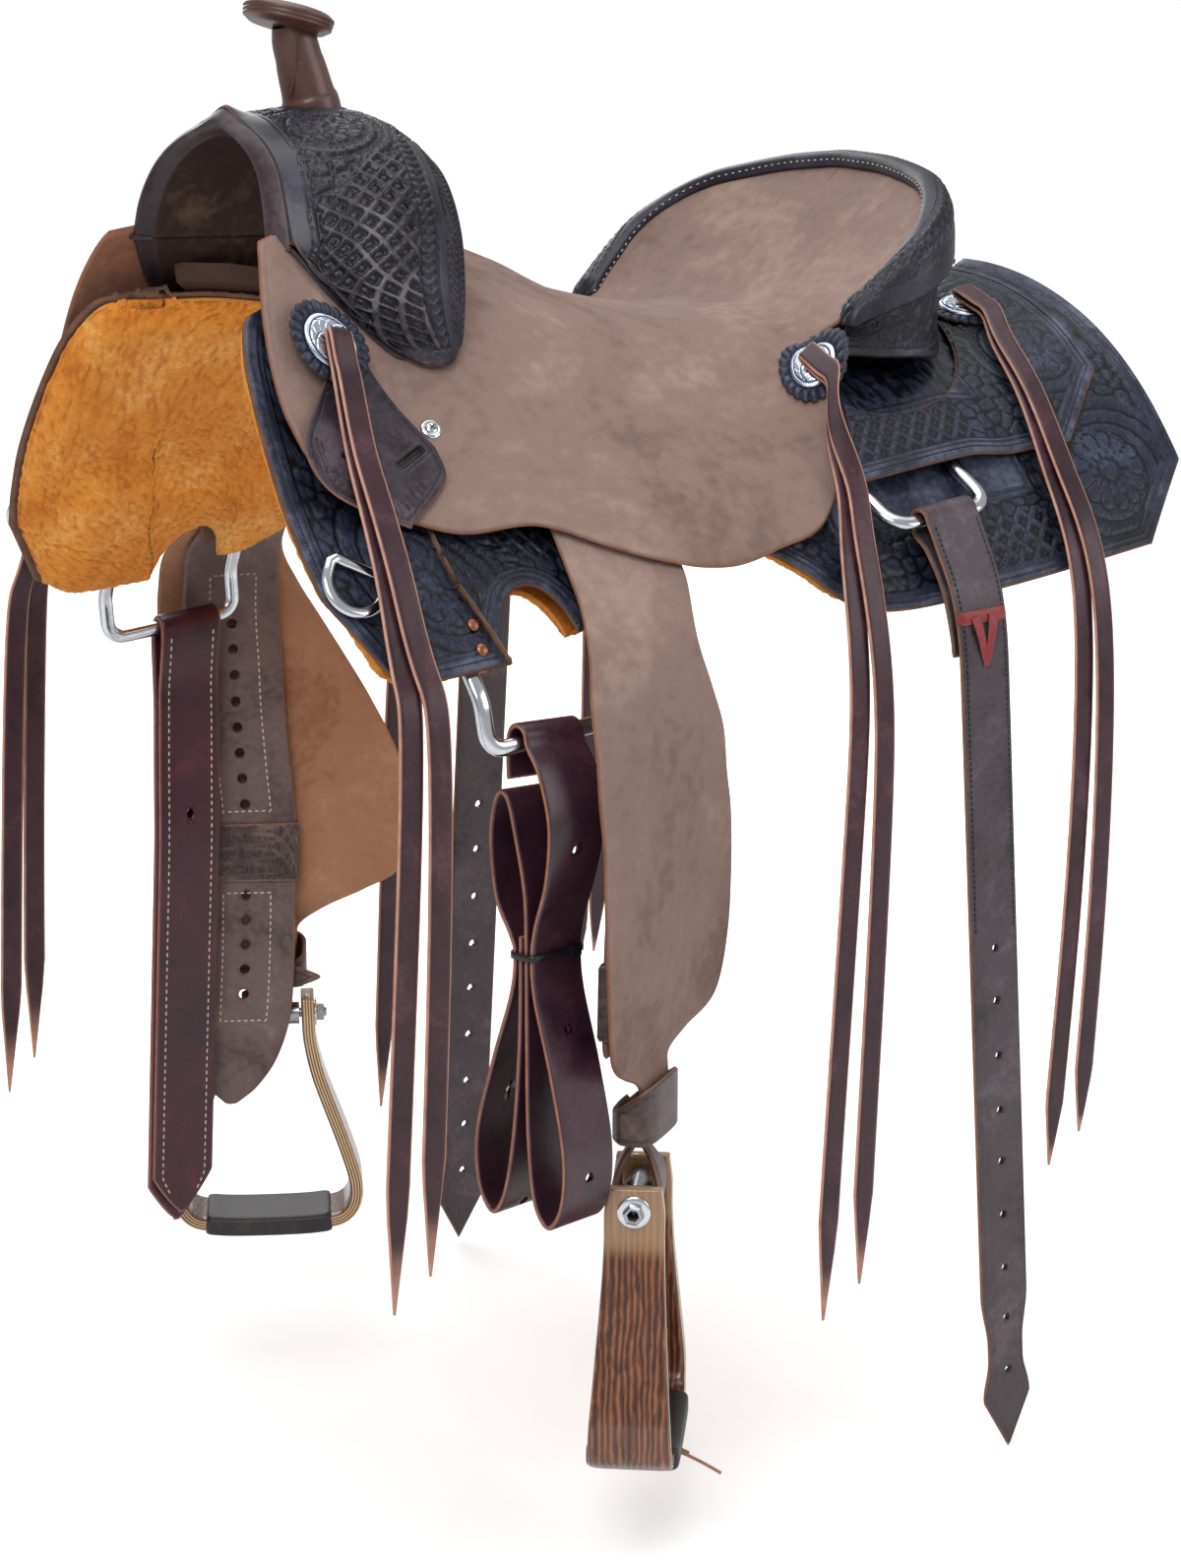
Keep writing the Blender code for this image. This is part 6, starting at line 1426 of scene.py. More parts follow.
def make_wool():
    """Golden wool: lighter at the tips, with painted shade in dark orange in the hollows between
    the locks and in the curls.
    """
    look, tree, shader, where = new_look("golden_sheepskin")
    height = attribute(tree, "wool")
    tones = use(tree, mottle, Position=where, Scale=16.0, Dark=srgb(206, 118, 34),
                Middle=srgb(232, 150, 58), Light=srgb(246, 184, 100))
    curls = node(tree, "TexNoise", {"Vector": where, "Scale": 420.0, "Detail": 5.0,
                                    "Distortion": 1.2}).outputs["Fac"]
    # painted shade: dark orange where the locks are low, and where the curls' bump is low
    colour = mixed(tree, spread(tree, height, 0.05, 0.55, 0.62, 0.0), tones["Color"],
                   srgb(176, 84, 22))
    colour = mixed(tree, spread(tree, curls, 0.42, 0.64, 0.30, 0.0), colour, srgb(182, 96, 30))
    put(tree, shader, Base_Color=colour, Roughness=0.95, Specular_IOR_Level=0.1,
        Sheen_Weight=0.3, Sheen_Roughness=0.6, Sheen_Tint=srgb(255, 214, 160),
        Normal=bumped(tree, curls, 0.0016))
    return look


wool_look = make_wool()


def make_wood():
    """Varnished walnut whose edges show the pale and dark veneers it is built from, with painted
    light paling its top.
    """
    look, tree, shader, where = new_look("varnished_wood")
    turned_at = node(tree, "Mapping", {"Vector": where, "Rotation": (0.0, 0.0, 0.7)})
    figure = use(tree, wood_figure, Position=turned_at.outputs["Vector"],
                 Stretch=(15.0, 15.0, 1.3), Dark=srgb(60, 28, 17), Middle=srgb(98, 53, 32),
                 Light=srgb(142, 88, 54))
    through = attribute(tree, "through")
    layers = maths(tree, "SINE", maths(tree, "MULTIPLY", through, 2900.0))
    laminate = mixed(tree, spread(tree, layers, -0.25, 0.25), srgb(58, 34, 22),
                     srgb(214, 176, 124))
    colour = mixed(tree, attribute(tree, "cut"), figure["Color"], laminate)
    # painted light: the pale attribute turns the stirrup's top towards tan
    pale = attribute(tree, "pale")
    colour = mixed(tree, maths(tree, "MULTIPLY", pale, 0.66), colour, srgb(176, 140, 104))
    put(tree, shader, Base_Color=colour, Roughness=0.3, Coat_Weight=0.55, Coat_Roughness=0.1,
        Normal=bumped(tree, figure["Amount"], 0.0002))
    return look


wood_look = make_wood()
OUT = {NEAR: np.array([0.0, -1.0, 0.35]), OFF: np.array([0.0, 1.0, 0.35])}
UP = np.array([0.0, 0.0, 1.0])
BODY = "saddle"


def keep(made, body, *nodes):
    """Let a piece ride on a body, and stand for the given solids."""
    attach(made, body)
    if nodes:
        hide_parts(*nodes)
    return made


# Skirts, fleece and rear jockeys

# The stitch groove along carved leathers, and how deep each carving goes.
GROOVE_INSET = 0.0056
GROOVE_DEPTH = 0.0007
SKIRT_RELIEF = 0.0019
JOCKEY_RELIEF = 0.0011
SWELL_RELIEF = 0.0024
# The carving's plain border, and its leaf.
CARVED_BORDER = 0.0125
CARVED_LEAF = 0.0125
# Steps of the grids: along and across.
SKIRT_STEPS = (430, 84)
FLEECE_STEPS = (230, 50)
SWELL_STEPS = (400, 110)
# Flowers: two places, the radius and the number of petals.
SKIRT_BLOOMS = ((-0.2310, 0.2225, 0.0300, 11), (0.3337, 0.2430, 0.0330, 13),
                (-0.020, 0.2270, 0.0260, 9), (0.0600, 0.2420, 0.0250, 9))
SWELL_BLOOMS = ((0.062, 0.052, 0.024, 9), (-0.062, 0.052, 0.024, 9), (0.0, 0.030, 0.020, 9))
SWELL_NET = (0.0156, 0.0172)
# Wool: the size of a lock, and how deep and how far out the edge's three rings lie.
LOCK_SIZE = 0.0062
FLEECE_EDGE = ((0.0012, 0.0006), (0.0024, 0.0016), (0.0038, 0.0018))
ROSETTE_PETALS = 22
# Heights and radii of a hex nut's corners.
NUT_RINGS = ((0.0074, 0.0042), (0.0076, 0.0060), (0.0068, 0.0072), (0.0017, 0.0072))


def skirt_bottom_runs():
    """The skirt's lower edge, up and over the half-round notch."""
    x, y, r = SKIRT_NOTCH
    angles = np.radians(np.linspace(186, 345, 22))
    arc = [(x + r * math.cos(t), y + r * math.sin(t)) for t in angles]
    before = [p for p in SKIRT_BOTTOM if p[0] < x - r - 0.004]
    after = [p for p in SKIRT_BOTTOM if p[0] > x + r + 0.004]
    return [before + [(arc[0][0] - 0.0015, 0.2563), arc[0]], arc,
            [arc[-1], (arc[-1][0] + 0.002, 0.2510)] + after]


def skirt_grid(columns, rows, inset=0.0, notch=True):
    """The skirt's plan: a patch between its four curves, drawn in by an inset."""
    u = shares_with_edges(columns, 0.70)
    v = np.concatenate([np.linspace(0, 0.52, 26)[:-1],
                        0.52 + 0.48 * shares_with_edges(rows, 0.13, near=False)])
    top = curve_at([SKIRT_TOP], u)
    bottom = curve_at(skirt_bottom_runs() if notch else [SKIRT_BOTTOM], u)
    front = curve_at([SKIRT_FRONT, SKIRT_FRONT_CUT], v)
    rear = curve_at([SKIRT_REAR, SKIRT_REAR_CUT], v)
    x, y = patch_at(top, bottom, front, rear, u, v)
    if inset:
        middle_x = (SKIRT_REAR[0][0] + SKIRT_TOP[0][0]) / 2
        half_length = (SKIRT_REAR[0][0] - SKIRT_TOP[0][0]) / 2
        x = middle_x + (x - middle_x) * (1 - inset / half_length)
        y = np.where(y > 0.1, y - inset * (y - 0.1) / 0.17, y)
    return x, y


def patch_at(top, bottom, front, rear, u, v):
    """Coons patch of the plan at the shares u and v: the edges blended from both sides."""
    u, v = u[None, :, None], v[:, None, None]
    flat = ((1 - v) * top[None] + v * bottom[None] + (1 - u) * front[:, None] + u * rear[:, None]
            - (1 - u) * (1 - v) * top[0] - u * (1 - v) * top[-1]
            - (1 - u) * v * bottom[0] - u * v * bottom[-1])
    return flat[..., 0], flat[..., 1]


def stamp_at(x, y):
    """A place of the plan in the carving's own measures: length back, and length down."""
    return float(x), float(girth(np.float64(x), np.float64(y)))


def lay_scrolls(h, u, v, bloom, reach):
    """The carving with stems and scrolls laid round a flower, out to reach radii."""
    fu, fv, radius, _ = bloom
    near = 1 - smoothstep(np.hypot(u - fu, v - fv), radius * reach, radius * (reach + 0.2))
    return h * (1 - near) + scrolls(u - fu, v - fv, radius) * near


def lay_flower(h, u, v, bloom, turn):
    """The carving with one flower laid over it."""
    fu, fv, radius, petals = bloom
    body, here = flower(u - fu, v - fv, radius, petals, fu * turn)
    return h * (1 - here) + body * here


def carving(u, v, edge, blooms, nets, plains, border, seed, leaf=0.017):
    """Flowers with scrolls round them, leaves between, nets, plain panels and a cut border.

    A plain panel comes as its depth: 0 outside, and 1 from 8 mm inside its edge.
    """
    h = leafy(u, v, leaf, seed)
    for bloom in blooms:
        h = lay_scrolls(h, u, v, bloom, 1.85)
    for bloom in blooms:
        h = lay_flower(h, u, v, bloom, 40)
    for inside, pitch_u, pitch_v in nets:
        h = h * (1 - inside) + lattice(u, v, pitch_u, pitch_v) * inside
    for inside in plains:
        flat = smoothstep(inside, 0.10, 0.30)
        h = h * (1 - flat) + flat
        h = h * (1 - 0.8 * np.exp(-((inside - 0.12) / 0.10)**2))
        h = h * (1 - 0.7 * np.exp(-((inside - 0.75) / 0.12)**2))
    frame_in = smoothstep(edge, border, border + 0.0008)
    h = h * frame_in + (1 - frame_in)
    for at in (border - 0.0030, border + 0.0004):
        h = h * (0.12 + 0.88 * beveled(edge, at, 0.0006))
    return h


def box_mask(u, v, u0, u1, v0, v1, soft=0.0015):
    """1 inside a box of the leather's own coordinates, with a soft border."""
    d = np.minimum(np.minimum(u - u0, u1 - u), np.minimum(v - v0, v1 - v))
    return smoothstep(d, 0.0, soft)


def box_depth(u, v, u0, u1, v0, v1):
    """How deep inside a box: 0 at its border, and 1 from 8 mm in."""
    d = np.minimum(np.minimum(u - u0, u1 - u), np.minimum(v - v0, v1 - v))
    return np.clip(d / 0.008, 0, 1)


def carved_relief(h, edge, depth):
    """Height against the leather's face: the floor of the carving, and the stitch groove."""
    relief = -depth * (1 - h) * smoothstep(edge, 0.0015, 0.003)
    return relief - GROOVE_DEPTH * np.exp(-((edge - GROOVE_INSET) / 0.0010)**2)


def groove_stitches(name, line, ups, way):
    """A row of dark stitches in the groove along a carved leather's edge."""
    keep(stitches(name, line, ups, unit(way) * GROOVE_INSET, 0.0027, thread_look, 0.0022,
                  0.00062, -0.00035), BODY)


def dress_skirt(side):
    """Skirt: the patch of the plan laid on the back, with its carving along the normal."""
    name = SIDE_NAME[side]
    x, y = skirt_grid(*SKIRT_STEPS)
    grid = place(on_back(x, y, 0.0), side)
    u, v = x, girth(x, y)
    edge = edge_field(grid, "blr")
    blooms = [(*stamp_at(fx, fy), radius, petals) for fx, fy, radius, petals in SKIRT_BLOOMS]
    (a0, b0), (a1, b1) = stamp_at(-0.176, 0.200), stamp_at(-0.108, 0.2290)
    (c0, d0), (c1, d1) = stamp_at(0.172, 0.2490), stamp_at(0.262, 0.2790)
    (e0, f0), (e1, f1) = stamp_at(0.078, 0.2060), stamp_at(0.262, 0.2440)
    nets = [(box_mask(u, v, a0, a1, b0, b1), 0.0130, 0.0150),
            (box_mask(u, v, c0, c1, d0, d1), 0.0150, 0.0180)]
    plains = [box_depth(u, v, e0, e1, f0 - 0.05, f1)]
    h = carving(u, v, edge, blooms, nets, plains, CARVED_BORDER, 3 if side == NEAR else 8,
                CARVED_LEAF)
    made = leather("skirt_" + name, grid, SKIRT_THICK, tooled_look, OUT[side],
                   relief=carved_relief(h, edge, SKIRT_RELIEF), sides="blr",
                   uv=np.stack([u, v], -1), values={"carve": h}, back=0.0)
    keep(made, BODY, "skirt_" + name)
    n, _ = grid_normals(grid, OUT[side])
    for tag, at, inner in (("rear", (slice(26, None), -1), (slice(26, None), -12)),
                           ("front", (slice(20, None), 0), (slice(20, None), 11)),
                           ("lower", (-1, slice(4, -4)), (-12, slice(4, -4)))):
        groove_stitches("skirt_stitch_" + tag + "_" + name, grid[at], n[at],
                        grid[inner] - grid[at])


def dress_fleece(side):
    """Wool: the hide's face below the skirt, and locks that stand out square to it."""
    name = SIDE_NAME[side]
    x, y = skirt_grid(*FLEECE_STEPS, 0.0035)
    grid = place(on_back(x, y, fleece_lift(x, y)), side)
    edge = edge_field(grid)
    u, v = x, girth(x, y)
    best, second, _, _, _ = cells(u, v, LOCK_SIZE, 5)
    fine = bump_noise(u, v, 0.0024, 2)
    locks = np.clip(smoothstep(second - best, 0.0, 0.5) * 0.7 + fine * 0.45, 0, 1)
    locks = locks * (0.7 + 0.3 * bump_noise(u, v, 0.03, 9))
    n, sign = grid_normals(grid, OUT[side])
    rows, columns = edge.shape
    round_in = 1 - np.sqrt(np.maximum(1 - (1 - np.clip(edge / 0.024, 0, 1))**2, 0))
    under = grid - n * (FLEECE_THICK * (1 - 0.72 * round_in) - 0.0026 * (1 - locks))[..., None]
    ring = border_ring(rows, columns)
    flat, flat_n = grid.reshape(-1, 3)[ring], n.reshape(-1, 3)[ring]
    away = unit(flat - grid.reshape(-1, 3)[inside_ring(ring, rows, columns, 2)])
    bands, values = [], []
    along = np.cumsum(np.linalg.norm(np.diff(flat, axis=0, prepend=flat[:1]), axis=1))
    for k, (depth, bulge) in enumerate(FLEECE_EDGE):
        fuzz = bump_noise(along, along * 0 + k * 0.01, 0.0026, 4 + k) + 0.6 * bump_noise(
            along, along * 0 + k * 0.01, 0.0009, 14 + k)
        bands.append(flat - flat_n * depth + away * (bulge * (0.25 + fuzz))[:, None])
        values.append(0.35 + 0.5 * fuzz)
    count = rows * columns
    index = np.arange(count).reshape(rows, columns)
    flip = sign < 0
    faces = [quads(index, flip), quads(index + count, not flip)]
    k = np.arange(len(ring))
    l = (k + 1) % len(ring)
    layers = [ring] + [2 * count + j * len(ring) + k for j in range(3)] + [count + ring]
    for upper, lower in zip(layers[:-1], layers[1:]):
        band = np.stack([upper[k], upper[l], lower[l], lower[k]], -1)
        faces.append(band[:, ::-1] if flip else band)
    points = np.vstack([grid.reshape(-1, 3), under.reshape(-1, 3)] + bands)
    # wool is the height that sets the painted shade: 0 on the hide's face, which comes out
    # darkest, the locks' height below, the fuzz at the edge
    wool = np.concatenate([np.zeros(count), locks.ravel()] + values)
    face = np.concatenate([np.ones(2 * count), np.zeros(3 * len(ring))])
    made = mesh_object("fleece_" + name, points, np.vstack(faces).tolist(), wool_look,
                       {"wool": wool, "face": face})
    keep(made, BODY, "fleece_" + name)


def dress_rear_jockey(side):
    """Rear jockey: a ruled strip between two curves of the plan, laid over the skirt."""
    name = SIDE_NAME[side]
    u = shares_with_edges(250, 0.40)
    v = shares_with_edges(68, 0.09)
    inner = curve_at(REAR_JOCKEY_INNER, u)
    outer = curve_at(REAR_JOCKEY_OUTER, u)
    plan = inner[:, None] + (outer - inner)[:, None] * v[None, :, None]
    x, y = plan[..., 0], plan[..., 1]
    grid = place(on_back(x, y, rear_jockey_lift(x) + JOCKEY_THICK), side)
    edge = edge_field(grid, "r")
    pu, pv = x, girth(x, y)
    (a0, b0), (a1, b1) = stamp_at(0.100, 0.1875), stamp_at(0.225, 0.2120)
    (e0, f0), (e1, f1) = stamp_at(0.100, 0.120), stamp_at(0.258, 0.1860)
    nets = [(box_mask(pu, pv, a0, a1, b0, b1 + 0.01), 0.0140, 0.0160)]
    plains = [box_depth(pu, pv, e0, e1, f0 - 0.05, f1)]
    blooms = [(*stamp_at(0.334, 0.158), 0.0270, 11), (*stamp_at(0.345, 0.085), 0.0220, 9)]
    h = carving(pu, pv, edge, blooms, nets, plains, CARVED_BORDER, 12 + side, CARVED_LEAF)
    made = leather("rear_jockey_" + name, grid, JOCKEY_THICK, tooled_look, OUT[side],
                   relief=carved_relief(h, edge, JOCKEY_RELIEF), sides="rtl",
                   uv=np.stack([pu, pv], -1), values={"carve": h})
    keep(made, BODY, "rear_jockey_" + name)
    n, _ = grid_normals(grid, OUT[side])
    groove_stitches("jockey_stitch_" + name, grid[2:, -1], n[2:, -1],
                    grid[2:, -10] - grid[2:, -1])


# Seat, swell cover, gullet and cantle

def dress_seat():
    """Seat and its jockeys: two halves of the seat's height over the plan, joined at y = 0."""
    inner, outer = seat_stations()
    spans = 9
    inner, outer = smooth_run(inner, spans), smooth_run(outer, spans)
    inner[:, 1] = np.maximum(inner[:, 1], 0.0)
    inner[10 * spans:, 1] = 0.0
    v = shares_with_edges(74, 0.2)
    plan = inner[:, None] + (outer - inner)[:, None] * v[None, :, None]
    x, y = plan[..., 0], np.maximum(plan[..., 1], 0.0)
    half = np.stack([x, y, seat_height(x, y)], -1)
    cut_rows = 10 * spans + 1
    jockey = 1 - smoothstep(x, 0.085, 0.12)
    soft = bump_noise(x, y, 0.034, 3) + 0.5 * bump_noise(x, y, 0.016, 4)
    for side in (NEAR, OFF):
        grid = place(half, side)
        edge = edge_field(grid, "rtl", cut_rows)
        relief = -0.00045 * np.exp(-((edge - 0.0048) / 0.0007)**2) * (0.3 + 0.7 * jockey)
        relief = relief + 0.0004 * (soft - 0.75)
        made = leather("seat_leather_" + SIDE_NAME[side], grid, SEAT_THICK, seat_look,
                       np.array([0, 0, 1.0]), relief=relief, sides="rtl",
                       left_rows=cut_rows, back=0.0, values={"carve": 1.0})
        keep(made, BODY, "seat_leather")


def arch_rows(count):
    """Finer rows along the swell's arch, near to off, with the even share of each."""
    rows = swell_stations()
    along = lengths(rows[:, :2])
    at = np.interp(np.linspace(0, along[-1], count), along, np.linspace(0, 1, len(rows)))
    return at, along[-1]


def round_crown(rows, share=1.0, half=0.052):
    """Rows over the arch: between two points, half to each side, the height follows a
    parabola that meets the arch with its own slope. The share says how much, by column."""
    soft = rows.reshape(len(rows), -1, 3).copy()
    share = np.broadcast_to(share, soft.shape[1])
    for k in range(soft.shape[1]):
        y = soft[:, k, 1].copy()
        top = (soft[:, k, 2] > soft[:, k, 2].max() - 0.060) & (np.abs(y) < 0.085)
        z = soft[:, k, 2]
        before = z.copy()
        for way in (-1, 1):
            at = np.interp(np.array([half - 0.006, half, half + 0.006]),
                           np.sort(way * y[top]), before[top][np.argsort(way * y[top])])
            fall = (at[0] - at[2]) / 0.012
            curve = at[1] + fall * (half**2 - y**2) / (2 * half)
            here = (way * y >= 0) & (np.abs(y) < half)
            z[here] += (curve[here] - z[here]) * share[k]
    return soft.reshape(rows.shape)


def swell_carving(down, u, v, share):
    """Leaves and flowers on the crown, a net on each side, and the rear's three bands."""
    h = leafy(u, v, 0.016, 21)
    for bloom in SWELL_BLOOMS:
        h = lay_flower(lay_scrolls(h, u, v, bloom, 1.8), u, v, bloom, 30)
    rise = 0.03 * (1 - smoothstep(share, 0.25, 0.55))
    panel = (smoothstep(down, 0.096 + rise, 0.103 + rise)
             * smoothstep(share, 0.155, 0.165) * (1 - smoothstep(share, 0.640, 0.650)))
    h = h * (1 - panel) + lattice(down, v - 0.01, *SWELL_NET) * panel
    bands = smoothstep(share, 0.655, 0.662) * smoothstep(down, 0.070, 0.082)
    feather = braid(down, (share - 0.70) * 14, 0.0068)
    plaited = braid(down, np.abs(share - 0.90) * 26, 0.0052)
    strip = np.where(share < 0.755, feather, np.where(share < 0.835, 1.0, plaited))
    for line in (0.665, 0.755, 0.835, 0.955):
        strip = strip * (0.1 + 0.9 * beveled(share, line, 0.006))
    h = h * (1 - bands) + strip * bands
    lip = 1 - smoothstep(share, 0.135, 0.143)
    h = h * (1 - lip) + lip
    h = h * (0.1 + 0.9 * beveled(share, 0.142, 0.006)) * (0.3 + 0.7 * beveled(share, 0.115, 0.004))
    return h, (panel > 0.5) & (bands < 0.5)


def dress_swell():
    """Swell cover: the arch's surface, held above the seat at its feet, and carved."""
    across = np.linspace(0, 1, 9)
    grid = round_crown(swell_surface(0.0, across), 1 - smoothstep(across, 0.05, 0.55))
    floor = seat_height(grid[..., 0], grid[..., 1])
    steep = steepness(grid[..., 0], grid[..., 1])
    grid[..., 2] = np.maximum(grid[..., 2], floor + (COVER_THICK + LAYER_GAP) * steep * 1.1)
    at, length = arch_rows(SWELL_STEPS[0])
    grid = refine(grid, at, shares_with_edges(SWELL_STEPS[1], 0.13))
    v = cross_lengths(grid)
    u = np.broadcast_to(np.linspace(-length / 2, length / 2, len(grid))[:, None], v.shape)
    edge = edge_field(grid)
    down = np.abs(u)
    h, netted = swell_carving(down, u, v, v / v[:, -1:])
    foot = 1 - smoothstep(length / 2 - down, 0.010, 0.013)
    h = h * (1 - foot) + foot
    relief = -SWELL_RELIEF * (1 - h) * smoothstep(edge, 0.001, 0.003)
    toward = grid - np.array([0, 0, 0.10])
    toward[..., 0] = 0
    # only the nets' bars get the painted highlight
    h = np.where(netted, h, np.minimum(h, 0.89))
    made = leather("swell_cover", grid, COVER_THICK, swell_look, toward, relief=relief,
                   uv=np.stack([u, v], -1), values={"carve": h})
    keep(made, BODY, "swell_cover")


def dress_gullet():
    """The rolled lip in front of the swell, and the lining that runs back under it."""
    outer = round_crown(swell_surface(0.0, np.array([0.0, 0.03])))
    floor = seat_height(outer[..., 0], outer[..., 1]) + COVER_THICK * 1.2
    outer[..., 2] = np.maximum(outer[..., 2], floor)
    fine = smooth_run(GULLET, 2)
    left = fine[:0:-1].copy()
    left[:, 0] *= -1
    arch = np.vstack([left, fine])
    rows = swell_stations()
    lip_out = outer[:, 0]
    inner = round_crown(np.column_stack([rows[:, 2], arch[:, 0], arch[:, 1]]))
    centre = np.array([0.0, 0.06])
    toward = unit(np.column_stack([centre[0] - arch[:, 0] * 0.9, centre[1] - arch[:, 1]]))
    inner[:, 1:] += toward * 0.0022
    inner[:, 2] = np.maximum(inner[:, 2], back_height(inner[:, 0], np.abs(inner[:, 1])) + 0.020)
    columns = []
    for t in np.linspace(0, 1, 13):
        flat = lip_out + (inner - lip_out) * t
        bulge = math.sin(math.pi * t)
        columns.append(flat + np.array([-0.0085, 0, 0]) * bulge)
    for t in np.linspace(0, 1, 20)[1:]:
        back = inner.copy()
        back[:, 0] = inner[:, 0] + (rows[:, 3] - 0.012 - inner[:, 0]) * t
        back[:, 2] = np.maximum(back[:, 2], back_height(back[:, 0], np.abs(back[:, 1])) + 0.020)
        columns.append(back)
    grid = np.array(columns).swapaxes(0, 1)
    at, _ = arch_rows(150)
    grid = refine(grid, at, np.linspace(0, 1, 90))
    lip, lining = grid[:, :36], grid[:, 33:]
    toward = np.broadcast_to(np.array([-1.0, 0, 0]), lip.shape)
    made = leather("gullet_lip", lip, 0.0022, lip_look, toward, round_share=0.3)
    keep(made, BODY, "fork")
    toward = np.array([0, 0, 0.05]) - lining
    toward[..., 0] = 0
    made = leather("gullet_lining", lining, 0.0016, lining_look, toward, round_share=0.3)
    keep(made, BODY)


def dress_binding():
    """The cantle's rolled rim: its section carried along the rim's arc, to closed ends."""
    arc = rim_arc(13)[1:-1]
    arc[0] = arc[0] * 0.6 + arc[1] * 0.4
    arc[-1] = arc[-1] * 0.6 + arc[-2] * 0.4
    out = rim_outward(arc)
    count = len(arc)
    share = np.abs(np.linspace(-1, 1, count))
    shrink = 1 - 0.66 * smoothstep(share, 0.66, 1.0)
    section = [(BINDING_SECTION[0][0] - 0.0008, BINDING_SECTION[0][1] - 0.0085)]
    section += list(BINDING_SECTION)
    grid = np.zeros((count, len(section), 3))
    for j, (away, up) in enumerate(section):
        grid[:, j] = arc + out * away
        grid[:, j, 2] += (up * np.where(up < 0, shrink, 1.0) if j else up) + 0.0050
    ends = []
    for end, before in ((0, 1), (-1, -2)):
        middle = grid[end].mean(axis=0)
        onward = unit(grid[end] - grid[before]) * 0.0075
        ends.append(middle + (grid[end] - middle) * 0.30 + onward - np.array([0, 0, 0.0030]))
    grid = np.concatenate([ends[0][None], grid, ends[1][None]])
    fine, length = even_rows(grid, np.linspace(0, 1, 250))
    fine = spline_rows(fine.swapaxes(0, 1), shares_with_edges(46, 0.055)).swapaxes(0, 1)
    across = cross_lengths(fine)
    u = np.broadcast_to(np.linspace(0, length, len(fine))[:, None], across.shape)
    part = across / across[:, -1:]
    # two crossed wavy lines with sprigs between them, in a band with cut lines beside it
    leaf = 0.06 * np.sin(2 * math.pi * u / 0.019)
    zigzag = (1 - np.exp(-((part - 0.45 - leaf) / 0.026)**2)) * (
        1 - np.exp(-((part - 0.45 + leaf) / 0.026)**2))
    sprigs = smoothstep(np.abs(np.sin(2 * math.pi * u / 0.0075 + (part - 0.4) * 16)), 0.1, 0.6)
    h = np.clip(zigzag * (0.35 + 0.65 * sprigs), 0, 1)
    band = smoothstep(part, 0.31, 0.33) * (1 - smoothstep(part, 0.62, 0.64))
    h = h * band + (1 - band) * 0.9
    for line in (0.30, 0.65, 0.70):
        h = h * (0.15 + 0.85 * beveled(part, line, 0.014))
    at, known = np.linspace(0, 1, len(fine)), np.linspace(0, 1, count)
    outward = unit(np.column_stack([np.interp(at, known, out[:, k]) for k in range(3)]))
    toward = outward[:, None] + np.array([0, 0, 0.6])
    made = leather("cantle_binding", fine, 0.0032, rim_look, toward, relief=-0.0012 * (1 - h),
                   values={"carve": h})
    keep(made, BODY, "cantle_binding")
    n, _ = grid_normals(fine, toward)
    row = stitches("cantle_stitch", fine[3:-3, 0], n[3:-3, 6], unit(
        fine[3:-3, 8] - fine[3:-3, 0]) * 0.0050, 0.0064, pale_thread_look, 0.0028, 0.0005, 0.0003)
    keep(row, BODY)


def dress_cantle_back():
    """The cantle's back: rows from below the rim down to its foot, bowed in by a half sine."""
    arc = rim_arc(10)[1:-1]
    out = rim_outward(arc)
    count = len(arc)
    share = np.abs(np.linspace(-1, 1, count))
    foot_half = edge_curve([CANTLE_FOOT], 10)[1:]
    foot = np.vstack([foot_half[:-1] * (1, -1), foot_half[::-1]])
    pull = 0.026 * (1 - smoothstep(1 - share, 0.0, 0.42))
    foot = foot - out[:, :2] * pull[:, None]
    lift = JOCKEY_THICK + rear_jockey_lift(foot[:, 0]) + 2 * LAYER_GAP
    base = np.column_stack([foot, back_height(foot[:, 0], foot[:, 1])
                            + (lift + 0.003) * steepness(foot[:, 0], foot[:, 1])])
    shrink = (1 - 0.5 * smoothstep(share, 0.72, 1.0))[:, None]
    top = arc + out * 0.0135 + np.array([0, 0, -1.0]) * (0.010 * shrink)
    grid = np.zeros((count, 5, 3))
    for j, t in enumerate(np.linspace(0, 1, 5)):
        grid[:, j] = top + (base - top) * t - out * 0.004 * math.sin(math.pi * t)
    fine = refine(grid, np.linspace(0, 1, 200), shares_with_edges(40, 0.08))
    u = np.cumsum(np.linalg.norm(np.diff(fine, axis=0, prepend=fine[:1]), axis=2), axis=0)
    v = cross_lengths(fine)
    edge = edge_field(fine, "r")
    toward = np.stack([fine[..., 0] - 0.16, fine[..., 1], 0 * fine[..., 2]], -1)
    h = carving(u, v, edge, [(float(u[100].mean()), 0.030, 0.022, 9)], [], [], 0.010, 31)
    made = leather("cantle_back", fine, 0.0035, rim_look, toward, relief=-0.0009 * (1 - h),
                   values={"carve": h})
    keep(made, BODY, "cantle_back")


# Horn

